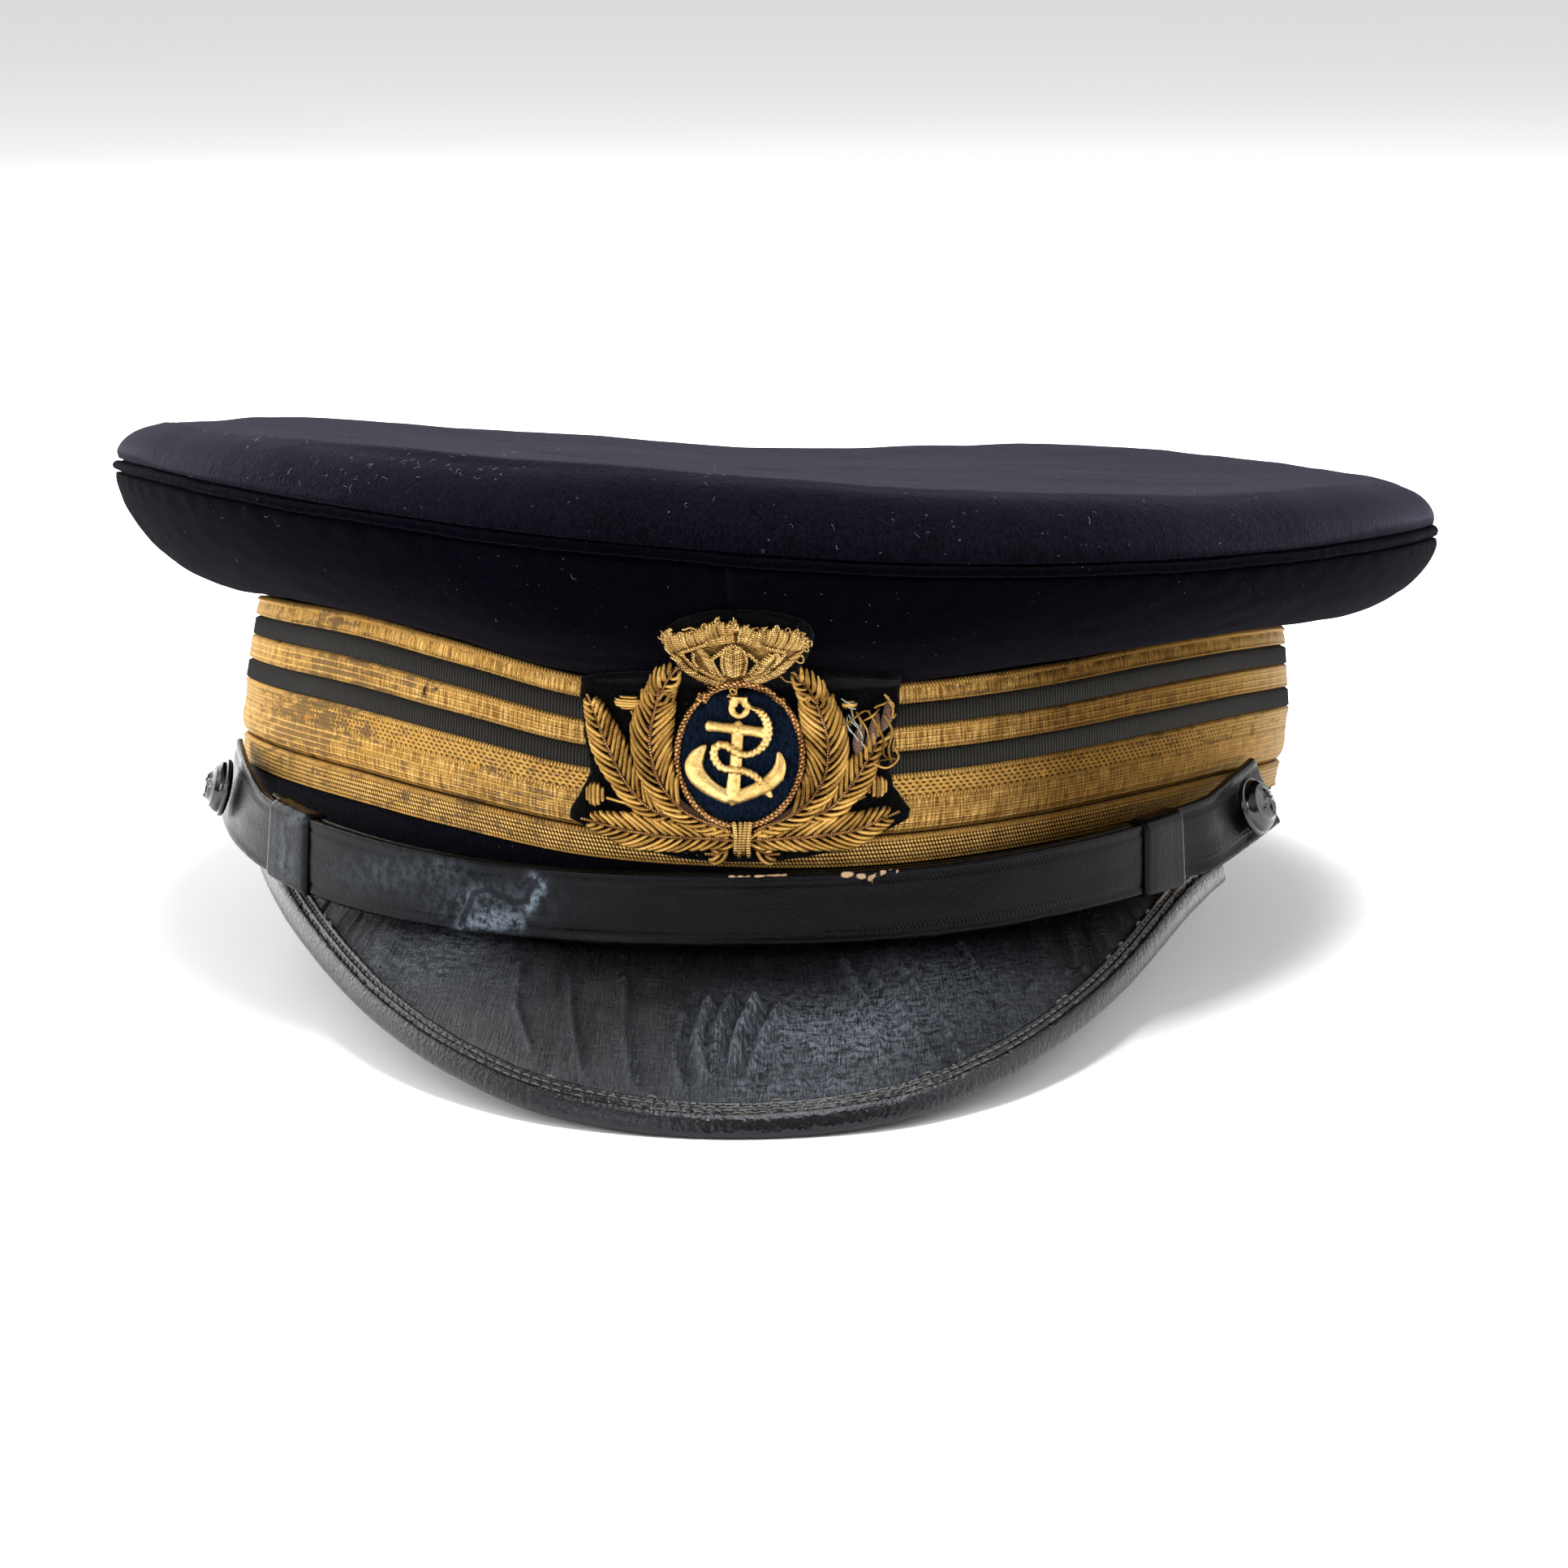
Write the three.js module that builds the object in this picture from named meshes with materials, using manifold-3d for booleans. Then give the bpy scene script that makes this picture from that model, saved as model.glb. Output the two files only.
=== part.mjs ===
// Peaked captain hat: soft wide crown, laced band, leather visor, two-part chin
// strap and an embroidered badge. Millimetres, +Z up, front of the hat to -Y,
// +X to the right of someone facing it. It lies as it does on a table: on the
// rear of its band and on the tip of its visor, tipped back about six degrees.
import * as THREE from 'three';
import { mergeVertices } from 'three/addons/utils/BufferGeometryUtils.js';
import Module from 'manifold-3d';

const wasm = await Module();
wasm.setup();

// ---------------------------------------------------------------- dimensions
const STEPS = 40;            // sections round the head
const GAP = 0.3;             // clearance between sewn pieces
const CLOTH = 2.0;           // crown cloth wall
const BAND_WALL = 2.3;       // stiffened band wall
const RIBBON = 1.0;          // grosgrain under the laces
const LACE = 1.0;            // woven gold laces
const PIPING = 0.85;         // radius of the welt cord
const SHOULDER = 7.5;        // how far the crown's rounded edge runs inwards
const DISH = 2.5;            // hollow of the crown's flat top
const VISOR_THICK = 2.0;
const VISOR_CAMBER = 1.2;    // arch of the visor along its length
const BINDING = 3.3;         // width of the visor's bound edge
const BINDING_THICK = 3.0;
const STRAP = 1.2;           // one layer of strap leather
const LOOP_WALL = 1.0;
const BUTTON_R = 4.5, BUTTON_H = 3.3;
const BADGE_X = 1.2, BADGE_Z = 44.2;   // middle of the badge's oval on the band
const ORIGIN = [2.4, -15.153];   // plan middle of the whole hat

// Heights round the hat, one row per turn angle in degrees: 0 is the front and
// positive turns go to +X. foot: lower edge of the band; lace_low, lace_top:
// edges of the laced part; welt: piping round the crown; brow: crown's top edge.
const SECTIONS = {
  columns: ['angle', 'foot', 'lace_low', 'lace_top', 'welt', 'brow'],
  rows: [
    [-150, 0.0, 11.5, 37.5, 54.0, 64.8],
    [-120, 5.6, 16.5, 42.5, 62.0, 71.4],
    [-90, 13.0, 23.2, 49.4, 70.8, 77.8],
    [-75, 15.2, 27.6, 53.8, 75.0, 81.0],
    [-60, 16.8, 30.2, 57.0, 77.6, 84.2],
    [-45, 17.6, 31.4, 58.8, 78.4, 86.2],
    [-30, 17.9, 30.8, 57.6, 77.9, 86.6],
    [-15, 18.5, 28.9, 54.4, 76.5, 85.8],
    [0, 18.8, 28.1, 53.6, 74.8, 84.9],
    [15, 18.5, 27.8, 53.6, 72.7, 83.0],
    [30, 17.9, 28.4, 54.3, 71.2, 80.6],
    [45, 17.6, 28.5, 54.8, 69.8, 78.4],
    [60, 16.8, 27.3, 53.3, 68.1, 75.8],
    [75, 15.2, 24.0, 50.0, 65.4, 72.8],
    [90, 13.0, 19.6, 45.6, 61.6, 68.6],
    [120, 5.6, 13.4, 39.4, 56.0, 65.2],
    [150, 0.0, 10.3, 36.3, 51.6, 62.2],
    [180, 0.0, 9.5, 35.5, 50.0, 59.9],
  ],
};

// Plan ovals: reach from the hat's axis to the left, right, front and back.
const OVALS = {
  foot: { left: 80.5, right: 80.0, front: 103.6, back: 102.0 },
  lace_low: { left: 84.0, right: 83.2, front: 106.4, back: 104.0 },
  lace_mid: { left: 83.4, right: 85.2, front: 106.4, back: 104.0 },
  lace_top: { left: 81.0, right: 84.2, front: 105.4, back: 103.0 },
  welt: { left: 102.6, right: 107.4, front: 126.0, back: 116.0 },
};

// Visor: how far its edge stands out from the band at each turn angle, and how
// far it falls from its root to that edge.
const VISOR = {
  columns: ['angle', 'length', 'fall'],
  rows: [[-74, 1.9, 0.8], [-66, 3.1, 1.3], [-58, 5.2, 2.2], [-50, 8.4, 3.4], [-42, 12.8, 4.8],
    [-34, 18.5, 6.8], [-26, 25.6, 9.4], [-18, 33.2, 12.5], [-10, 39.8, 15.3], [0, 43.2, 16.8],
    [10, 40.6, 15.6], [18, 33.6, 12.7], [26, 25.2, 9.3], [34, 17.4, 6.3], [42, 10.8, 3.9],
    [50, 5.8, 2.2], [58, 2.7, 1.2], [63, 1.7, 0.7]],
};

// Chin strap, outer face: height and stand-off of its two edges from the
// lace_low oval. The ends rise to the buttons and lean outwards at the bottom.
const STRAP_LINE = {
  columns: ['angle', 'high', 'off_high', 'low', 'off_low'],
  rows: [
    [-71, 32.4, 1.7, 20.2, 4.4],
    [-66, 32.2, 2.6, 20.8, 5.4],
    [-60, 31.3, 4.0, 20.0, 6.2],
    [-54, 29.4, 4.9, 18.7, 6.0],
    [-40, 28.2, 4.6, 16.9, 4.9],
    [-20, 27.5, 4.2, 17.2, 4.4],
    [0, 27.9, 4.0, 17.8, 4.2],
    [20, 28.3, 4.0, 18.0, 4.2],
    [40, 29.7, 4.8, 19.4, 5.0],
    [50, 30.7, 4.4, 20.0, 5.6],
    [58, 32.0, 2.8, 22.0, 6.2],
    [64, 32.9, 2.2, 23.2, 6.6],
  ],
};

// Laces on the ribbon: upper and lower edge as a share of the laced height.
const LACES = {
  lace_upper: { from: 1.00, to: 0.88 },
  lace_middle: { from: 0.77, to: 0.62 },
  lace_wide: { from: 0.51, to: 0.175 },
  lace_edge: { from: 0.16, to: 0.0 },
};

// Badge outlines in its own plane, u right and v up from the oval's middle:
// a row per height with the left and right edge.
const PATCH_ROWS = {
  columns: ['v', 'left', 'right'],
  rows: [[-15.6, -2.5, 3.0], [-14.6, -8.5, 8.0], [-13.3, -15.4, 14.6], [-11.2, -20.8, 20.2],
    [-8.4, -23.6, 23.4], [-6.0, -23.2, 22.4], [-3.2, -21.7, 21.2], [0, -21.4, 20.8],
    [5.8, -22.1, 21.6], [10.0, -22.5, 22.0], [10.6, -12.6, 11.0], [13.5, -11.0, 9.6],
    [16.4, -11.6, 10.4], [18.2, -9.6, 8.6], [19.8, -3.0, 2.6]],
};
const CROWN_ROWS = {
  columns: ['v', 'left', 'right'],
  rows: [[11.2, -6.2, 4.8], [11.9, -7.0, 5.6], [12.8, -8.0, 6.6], [15.3, -10.7, 9.5],
    [17.0, -10.4, 9.1], [18.1, -6.8, 5.0], [19.1, -1.6, 0.8]],
};
const FIELD = { u: 7.75, v: 9.1 };
const CORD = { u: 8.75, v: 10.15, r: 0.62 };
// Wreath leaves as arcs: root, bend and tip, with the widest half width.
const LEAVES = {
  columns: ['u0', 'v0', 'u1', 'v1', 'u2', 'v2', 'half'],
  left: [
    [-0.4, -11.4, -11.0, -11.0, -12.6, 1.0, 2.3],
    [-12.4, -2.0, -13.6, 6.6, -8.9, 10.4, 2.4],
    [-8.0, -8.2, -18.0, -3.0, -21.4, 8.8, 2.3],
    [-0.4, -12.2, -10.0, -14.4, -22.6, -8.8, 2.1],
    [-1.0, -13.2, -4.0, -15.0, -6.4, -13.8, 0.9],
  ],
  right: [
    [1.3, -11.4, 11.0, -11.0, 12.4, 1.0, 2.3],
    [12.2, -2.0, 13.4, 6.6, 8.2, 10.4, 2.4],
    [8.0, -8.2, 17.6, -4.0, 20.2, 8.4, 2.2],
    [1.3, -12.2, 10.0, -14.4, 22.2, -7.6, 2.1],
    [2.0, -13.2, 4.4, -15.0, 6.8, -13.8, 0.9],
  ],
};
const BERRIES = {
  columns: ['u', 'v', 'ru', 'rv', 'stem_u', 'stem_v'],
  left: [[-15.8, 7.3, 2.0, 1.2, -12.8, 0.5], [-20.4, -5.8, 1.3, 1.8, -11.6, -8.4]],
  right: [[15.0, 6.8, 1.6, 1.1, 12.4, 0.2], [19.3, -4.6, 1.2, 1.7, 11.6, -8.0]],
};

// --------------------------------------------------------------- table lookup
// Smooth curve through a column of a table, by angle. Round the whole hat it
// closes on itself, elsewhere it ends at the first and last row.
function reader(table, closed) {
  const { columns, rows } = table;
  const n = rows.length;
  const at = (i, j) => {
    if (closed) {
      const k = ((i % n) + n) % n;
      return j === 0 ? rows[k][0] + 360 * Math.floor(i / n) : rows[k][j];
    }
    return rows[Math.min(Math.max(i, 0), n - 1)][j];
  };
  return (name, angle) => {
    const j = columns.indexOf(name);
    let a = angle;
    if (closed) {
      while (a < rows[0][0]) a += 360;
      while (a >= rows[0][0] + 360) a -= 360;
    } else {
      a = Math.min(Math.max(a, rows[0][0]), rows[n - 1][0]);
    }
    let i = 0;
    while (i < n - 1 && at(i + 1, 0) <= a) i += 1;
    if (!closed) i = Math.min(i, n - 2);
    const slope = (k) => {
      const lo = closed ? k - 1 : Math.max(k - 1, 0);
      const hi = closed ? k + 1 : Math.min(k + 1, n - 1);
      return (at(hi, j) - at(lo, j)) / (at(hi, 0) - at(lo, 0));
    };
    const h = at(i + 1, 0) - at(i, 0);
    const t = (a - at(i, 0)) / h;
    const m0 = slope(i) * h, m1 = slope(i + 1) * h;
    const p0 = at(i, j), p1 = at(i + 1, j);
    return (2 * t ** 3 - 3 * t * t + 1) * p0 + (t ** 3 - 2 * t * t + t) * m0
      + (3 * t * t - 2 * t ** 3) * p1 + (t ** 3 - t * t) * m1;
  };
}
const section = reader(SECTIONS, true);
const visorRow = reader(VISOR, false);
const strapRow = reader(STRAP_LINE, false);
const rad = THREE.MathUtils.degToRad;
const lerp = THREE.MathUtils.lerp;
const smooth = (x, lo, hi) => THREE.MathUtils.smoothstep(x, lo, hi);

// Plan point of an oval at a turn angle, pushed out along its normal.
function onOval(oval, angle, off = 0) {
  const s = Math.sin(rad(angle)), c = Math.cos(rad(angle));
  const a = s > 0 ? oval.right : oval.left;
  const b = c > 0 ? oval.front : oval.back;
  const nx = s / a, ny = -c / b;
  const n = Math.hypot(nx, ny);
  return [a * s + (off * nx) / n, -b * c + (off * ny) / n];
}
const foot = (angle) => Math.max(section('foot', angle), 0);

// Band wall: level 0 is the foot, 1 the laces' lower edge, 3 their top.
function wall(angle, level, off, lift = 0) {
  const low = section('lace_low', angle), top = section('lace_top', angle);
  const stops = [
    [OVALS.foot, foot(angle)], [OVALS.lace_low, low],
    [OVALS.lace_mid, (low + top) / 2], [OVALS.lace_top, top],
  ];
  const i = Math.min(Math.floor(level), 2);
  const t = level - i;
  const p = onOval(stops[i][0], angle, off), q = onOval(stops[i + 1][0], angle, off);
  return [lerp(p[0], q[0], t), lerp(p[1], q[1], t), lerp(stops[i][1], stops[i + 1][1], t) + lift];
}
const laceLevel = (share) => 1 + 2 * share;

// Crown side: t = 0 where it leaves the band, t = 1 at the welt. It bellies out
// most at the sides and is straighter at the front, behind the badge.
function crownSide(angle, t, depth = 0) {
  const s = Math.sin(rad(angle));
  const belly = 0.25 + (s < 0 ? -0.58 : 0.75) * s;
  const z0 = section('lace_top', angle) + GAP + 0.2, z1 = section('welt', angle) - PIPING - GAP;
  const fx = (s) => (1 - belly) * s + belly * Math.sin((s * Math.PI) / 2);
  const fz = (s) => (1 - belly) * s + belly * (1 - Math.cos((s * Math.PI) / 2));
  const p = onOval(OVALS.lace_top, angle), q = onOval(OVALS.welt, angle);
  const run = Math.hypot(q[0] - p[0], q[1] - p[1]);
  const ux = (q[0] - p[0]) / run, uy = (q[1] - p[1]) / run;
  const e = 0.02;
  const a = Math.max(t - e, 0), b = Math.min(t + e, 1);
  const dr = (fx(b) - fx(a)) * run, dz = (fz(b) - fz(a)) * (z1 - z0);
  const n = Math.hypot(dr, dz);
  const reach = run * fx(t) - (depth * dz) / n;
  return [p[0] + ux * reach, p[1] + uy * reach, Math.min(lerp(z0, z1, fz(t)) + (depth * dr) / n, z1)];
}

// Crown top: s runs 0..1 over the rounded edge, then 1..2 across the dished top.
const BROW_MEAN = SECTIONS.rows.reduce((sum, r, i, all) => {
  const next = all[(i + 1) % all.length];
  const span = ((next[0] - r[0] + 360) % 360) / 360;
  return sum + span * (r[5] + next[5]) / 2;
}, 0);
function crownTop(angle, s, depth = 0) {
  const z0 = section('welt', angle) + PIPING + GAP, z1 = section('brow', angle) - depth;
  if (s <= 1) {
    const ph = (s * Math.PI) / 2;
    const [x, y] = onOval(OVALS.welt, angle, -0.2 - depth - (SHOULDER - depth) * (1 - Math.cos(ph)));
    return [x, y, lerp(z0, z1, Math.sin(ph))];
  }
  const r = 2 - s;
  const [x, y] = onOval(OVALS.welt, angle, -0.2 - SHOULDER);
  return [x * r, y * r, BROW_MEAN - depth - DISH + (z1 + depth - BROW_MEAN) * r + DISH * r * r];
}

// -------------------------------------------------------------- mesh building
function volume(pos, idx) {
  let v = 0;
  for (let i = 0; i < idx.length; i += 3) {
    const [a, b, c] = [0, 1, 2].map((k) => pos[idx[i + k]]);
    v += a[0] * (b[1] * c[2] - b[2] * c[1]) - a[1] * (b[0] * c[2] - b[2] * c[0])
      + a[2] * (b[0] * c[1] - b[1] * c[0]);
  }
  return v / 6;
}
function solid(pos, idx) {
  const order = volume(pos, idx) < 0 ? idx.map((_, i) => idx[i - (i % 3) + [0, 2, 1][i % 3]]) : idx;
  const geometry = new THREE.BufferGeometry();
  geometry.setAttribute('position', new THREE.Float32BufferAttribute(pos.flat(), 3));
  geometry.setIndex(order);
  return geometry;
}
// Closed loops of points, one per station, skinned into a ring or a bar.
function skin(loops, ring) {
  const m = loops[0].length, n = loops.length;
  const pos = loops.flat();
  const idx = [];
  for (let i = 0; i < (ring ? n : n - 1); i += 1) {
    const j = (i + 1) % n;
    for (let k = 0; k < m; k += 1) {
      const l = (k + 1) % m;
      idx.push(i * m + k, j * m + k, j * m + l, i * m + k, j * m + l, i * m + l);
    }
  }
  if (!ring) {
    for (const [base, flip] of [[0, false], [(n - 1) * m, true]]) {
      for (const [a, b, c] of capTriangles(loops[base / m])) {
        idx.push(base + a, base + (flip ? c : b), base + (flip ? b : c));
      }
    }
  }
  return solid(pos, idx);
}
// End cap of a bar: the loop is triangulated in its own plane.
function capTriangles(loop) {
  const pts = loop.map((p) => new THREE.Vector3(...p));
  const normal = new THREE.Vector3();
  for (let i = 0; i < pts.length; i += 1) {
    const a = pts[i], b = pts[(i + 1) % pts.length];
    normal.add(new THREE.Vector3().crossVectors(a.clone().sub(pts[0]), b.clone().sub(pts[0])));
  }
  normal.normalize();
  const u = pts[1].clone().sub(pts[0]).normalize();
  const v = new THREE.Vector3().crossVectors(normal, u);
  const flat = pts.map((p) => new THREE.Vector2(p.dot(u), p.dot(v)));
  return THREE.ShapeUtils.triangulateShape(flat, []);
}
const turn = Array.from({ length: STEPS }, (_, i) => -180 + (360 * i) / STEPS);
const span = (from, to, count) => Array.from({ length: count + 1 }, (_, i) => lerp(from, to, i / count));
const ringOf = (profile) => skin(turn.map(profile), true);
const barOf = (profile, from, to, count) => skin(span(from, to, count).map(profile), false);

const group = new THREE.Group();
function add(name, geometry, color, roughness, metalness = 0) {
  const mesh = new THREE.Mesh(geometry, new THREE.MeshStandardMaterial({ color, roughness, metalness }));
  mesh.name = name;
  group.add(mesh);
  return mesh;
}
const NAVY = 0x17161f, BLACK = 0x1d1c1e, LEATHER = 0x141416, GOLD = 0xb08a4c, GILT = 0xd0a860;

// ----------------------------------------------------------- band and laces
const UNDER = LACE + GAP + RIBBON + GAP;      // band wall behind the laces
add('band', ringOf((a) => [
  wall(a, 0, -0.7), wall(a, 1, -0.7, -GAP), wall(a, 1, -UNDER, -GAP), wall(a, 2, -UNDER), wall(a, 3, -UNDER, -GAP),
  wall(a, 3, -UNDER - BAND_WALL, -GAP), wall(a, 2, -UNDER - BAND_WALL), wall(a, 1, -UNDER - BAND_WALL, -GAP - 1),
  wall(a, 0, -0.7 - BAND_WALL),
]), NAVY, 0.95);
add('band_ribbon', ringOf((a) => [
  wall(a, 1, -LACE - GAP - RIBBON, 0.2), wall(a, 2, -LACE - GAP - RIBBON), wall(a, 3, -LACE - GAP - RIBBON, -0.2),
  wall(a, 3, -LACE - GAP, -0.2), wall(a, 2, -LACE - GAP), wall(a, 1, -LACE - GAP, 0.2),
]), BLACK, 0.85);
for (const [name, { from, to }] of Object.entries(LACES)) {
  const levels = [laceLevel(to), laceLevel(from)];
  if (levels[0] < 1.9 && levels[1] > 2) levels.splice(1, 0, 2);
  add(name, ringOf((a) => [
    ...levels.map((l) => wall(a, l, 0)), ...levels.slice().reverse().map((l) => wall(a, l, -LACE)),
  ]), GOLD, 0.5, 0.7);
}

// -------------------------------------------------------------------- crown
const SEAM = 0.2;                             // front seam
const SLIT = 0.09;                            // half the seam's gap, degrees
const sideProfile = (a) => {
  const ts = [0, 0.2, 0.44, 0.7, 1];
  return [...ts.map((t) => crownSide(a, t)), ...ts.reverse().map((t) => crownSide(a, t, CLOTH))];
};
add('crown_side_left', barOf(sideProfile, SEAM - 180 + SLIT, SEAM - SLIT, STEPS / 2), NAVY, 0.95);
add('crown_side_right', barOf(sideProfile, SEAM + SLIT, SEAM + 180 - SLIT, STEPS / 2), NAVY, 0.95);
add('crown_welt', ringOf((a) => Array.from({ length: 5 }, (_, k) => {
  const ph = (k * 2 * Math.PI) / 5;
  const [x, y] = onOval(OVALS.welt, a, -0.5 + PIPING * Math.cos(ph));
  return [x, y, section('welt', a) + PIPING * Math.sin(ph)];
})), NAVY, 0.9);
{
  const outer = [0, 0.34, 0.68, 1, 1.3, 1.7];
  const inner = [0, 0.5, 1, 1.5];
  const rings = [...outer.map((s) => (a) => crownTop(a, s)), (a) => crownTop(a, 2),
    (a) => crownTop(a, 2, CLOTH), ...inner.reverse().map((s) => (a) => crownTop(a, s, CLOTH))];
  const pos = [], idx = [], start = [], size = [];
  rings.forEach((ring, i) => {
    const pole = i === outer.length || i === outer.length + 1;
    start.push(pos.length);
    size.push(pole ? 1 : STEPS);
    if (pole) pos.push(ring(0)); else turn.forEach((a) => pos.push(ring(a)));
  });
  rings.forEach((_, i) => {
    const j = (i + 1) % rings.length;
    if (size[i] === 1 && size[j] === 1) return;
    for (let k = 0; k < STEPS; k += 1) {
      const l = (k + 1) % STEPS;
      const [a, b] = size[i] === 1 ? [start[i], start[i]] : [start[i] + k, start[i] + l];
      const [c, d] = size[j] === 1 ? [start[j], start[j]] : [start[j] + k, start[j] + l];
      if (c !== d) idx.push(a, c, d);
      if (a !== b) idx.push(a, d, b);
    }
  });
  add('crown_top', solid(pos, idx), NAVY, 0.95);
}

// -------------------------------------------------------------------- visor
const VISOR_FROM = VISOR.rows[0][0], VISOR_TO = VISOR.rows.at(-1)[0];
const ROOT_IN = 3.0;                          // tucked under the band
// Point of the visor: e out from the band's foot, h above its middle surface.
function visorPoint(angle, e, h) {
  const length = visorRow('length', angle);
  const [x, y] = onOval(OVALS.foot, angle, e);
  const drop = (visorRow('fall', angle) * e) / length;
  const arch = VISOR_CAMBER * (length / 43) * Math.sin(Math.PI * Math.min(Math.max(e / length, 0), 1));
  const root = section('foot', angle) - GAP - VISOR_THICK / 2;
  return [x, y, Math.max(root - Math.max(drop, 0) + arch + h, 0)];
}
const bodyEdge = (a) => Math.max(visorRow('length', a) - BINDING - GAP, 0);
add('visor', barOf((a) => {
  const edge = bodyEdge(a);
  const es = [-ROOT_IN, 0, edge * 0.35 + 0.1, edge * 0.7 + 0.2, edge + 0.3];
  return [...es.map((e) => visorPoint(a, e, VISOR_THICK / 2)),
    ...es.reverse().map((e) => visorPoint(a, e, -VISOR_THICK / 2))];
}, VISOR_FROM, VISOR_TO, 32), LEATHER, 0.4);
add('visor_binding', barOf((a) => {
  const inner = bodyEdge(a) + 0.3 + GAP, outer = Math.max(visorRow('length', a), inner + 0.9);
  const h = BINDING_THICK / 2, c = Math.min(1.1, (outer - inner) * 0.4);
  return [visorPoint(a, inner, h * 0.8), visorPoint(a, inner + c, h), visorPoint(a, outer - c, h * 0.9),
    visorPoint(a, outer, h * 0.3), visorPoint(a, outer, -h * 0.5), visorPoint(a, outer - c, -h),
    visorPoint(a, inner, -h)];
}, VISOR_FROM, VISOR_TO, 32), LEATHER, 0.5);

// --------------------------------------------------------------- chin strap
// One edge of the strap: share 0 at its lower edge, 1 at its upper; deep inwards.
function strapPoint(angle, share, deep, spread = 0) {
  const r = share + spread;
  const z = lerp(strapRow('low', angle), strapRow('high', angle), r);
  const off = lerp(strapRow('off_low', angle), strapRow('off_high', angle), r);
  const [x, y] = onOval(OVALS.lace_low, angle, off - deep);
  return [x, y, z];
}
const strapBar = (deep, from, to, count) => barOf((a) => {
  const d = deep(a);
  return [strapPoint(a, 1, d), strapPoint(a, 0, d), strapPoint(a, 0, d + STRAP), strapPoint(a, 1, d + STRAP)];
}, from, to, count);
const LOOPS = { strap_loop_left: [-52.2, -45.4], strap_loop_right: [41.4, 46.8] };
const LAYER = STRAP + GAP;
add('strap_left', strapBar(() => 0, -71, 45.5, 30), LEATHER, 0.45);
add('strap_right', strapBar((a) => LAYER * (1 - smooth(a, 46.5, 53)), -54.6, 64, 30), LEATHER, 0.45);
for (const [name, [from, to]] of Object.entries(LOOPS)) {
  const width = 11;                           // strap width, for the sleeve's clearance
  const g = GAP / width, w = (GAP + LOOP_WALL) / width;
  const corners = (a, k, deepOut, deepIn) => [
    strapPoint(a, 1, deepOut, k), strapPoint(a, 0, deepOut, -k),
    strapPoint(a, 0, deepIn, -k), strapPoint(a, 1, deepIn, k)];
  const inDeep = STRAP + LAYER + GAP;
  const loops = span(from, to, 3).map((a) => [
    corners(a, w, -GAP - LOOP_WALL, inDeep + LOOP_WALL), corners(a, g, -GAP, inDeep)]);
  const pos = loops.flat(2), idx = [];
  const quad = (a, b, c, d) => idx.push(a, b, c, a, c, d);
  for (let i = 0; i < 3; i += 1) {
    for (let k = 0; k < 4; k += 1) {
      const l = (k + 1) % 4, o = i * 8, p = o + 8;
      quad(o + k, p + k, p + l, o + l);
      quad(o + 4 + k, o + 4 + l, p + 4 + l, p + 4 + k);
    }
  }
  for (let k = 0; k < 4; k += 1) {
    const l = (k + 1) % 4;
    quad(k, l, 4 + l, 4 + k);
    quad(24 + k, 28 + k, 28 + l, 24 + l);
  }
  add(name, solid(pos, idx), LEATHER, 0.45);
}
// Buttons: domed, standing on the strap's outer face near each end.
const BUTTONS = { button_left: { angle: -65.5, share: 0.5 }, button_right: { angle: 59, share: 0.48 } };
for (const [name, { angle, share }] of Object.entries(BUTTONS)) {
  const at = (a, s, d) => new THREE.Vector3(...strapPoint(a, s, d));
  const centre = at(angle, share, 0);
  const along = at(angle + 2, share, 0).sub(at(angle - 2, share, 0));
  const across = at(angle, share + 0.2, 0).sub(at(angle, share - 0.2, 0));
  const axis = new THREE.Vector3().crossVectors(along, across).normalize();
  const profile = [[0, 0], [0.62, 0], [0.94, 0.1], [1, 0.24], [0.86, 0.42], [0.66, 0.66], [0.38, 0.9], [0, 1]]
    .map(([r, h]) => new THREE.Vector2(r * BUTTON_R, h * BUTTON_H));
  let geometry = new THREE.LatheGeometry(profile, 14);
  geometry.deleteAttribute('normal');
  geometry.deleteAttribute('uv');
  geometry = mergeVertices(geometry, 1e-4);
  geometry.applyQuaternion(new THREE.Quaternion().setFromUnitVectors(new THREE.Vector3(0, 1, 0), axis));
  const seat = centre.clone().addScaledVector(axis, 0.7);
  geometry.translate(seat.x, seat.y, seat.z);
  add(name, geometry, 0x0c0c0e, 0.25, 0.1);
}

// -------------------------------------------------------------------- badge
// The badge lies on the laces and, above them, leans out over the crown cloth.
function badgeBase(u, v) {
  const rise = Math.max(v - 9, 0);
  const z = BADGE_Z + Math.min(v, 9) + 1.28 * rise;
  const angle = THREE.MathUtils.radToDeg(Math.asin(Math.min(Math.max((BADGE_X + u) / 84, -0.98), 0.98)));
  const band = onOval(OVALS.lace_mid, angle, 0), crown = onOval(OVALS.welt, angle);
  const [nx, ny] = onOval(OVALS.lace_mid, angle, 1).map((c, i) => c - band[i]);
  // reach of the crown cloth at this height, past the laces
  let reach = 0;
  const zTop = section('lace_top', angle) + GAP;
  if (z > zTop) {
    let lo = 0, hi = 1;
    for (let i = 0; i < 20; i += 1) {
      const mid = (lo + hi) / 2;
      if (crownSide(angle, mid)[2] < z) lo = mid; else hi = mid;
    }
    const p = crownSide(angle, lo);
    reach = (p[0] - band[0]) * nx + (p[1] - band[1]) * ny;
  } else {
    reach = (z - zTop) * 1.1;
  }
  const soft = 0.9;
  const off = Math.log(1 + Math.exp(soft * reach)) / soft + 0.25;
  return new THREE.Vector3(band[0] + nx * off, band[1] + ny * off, z);
}
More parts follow.
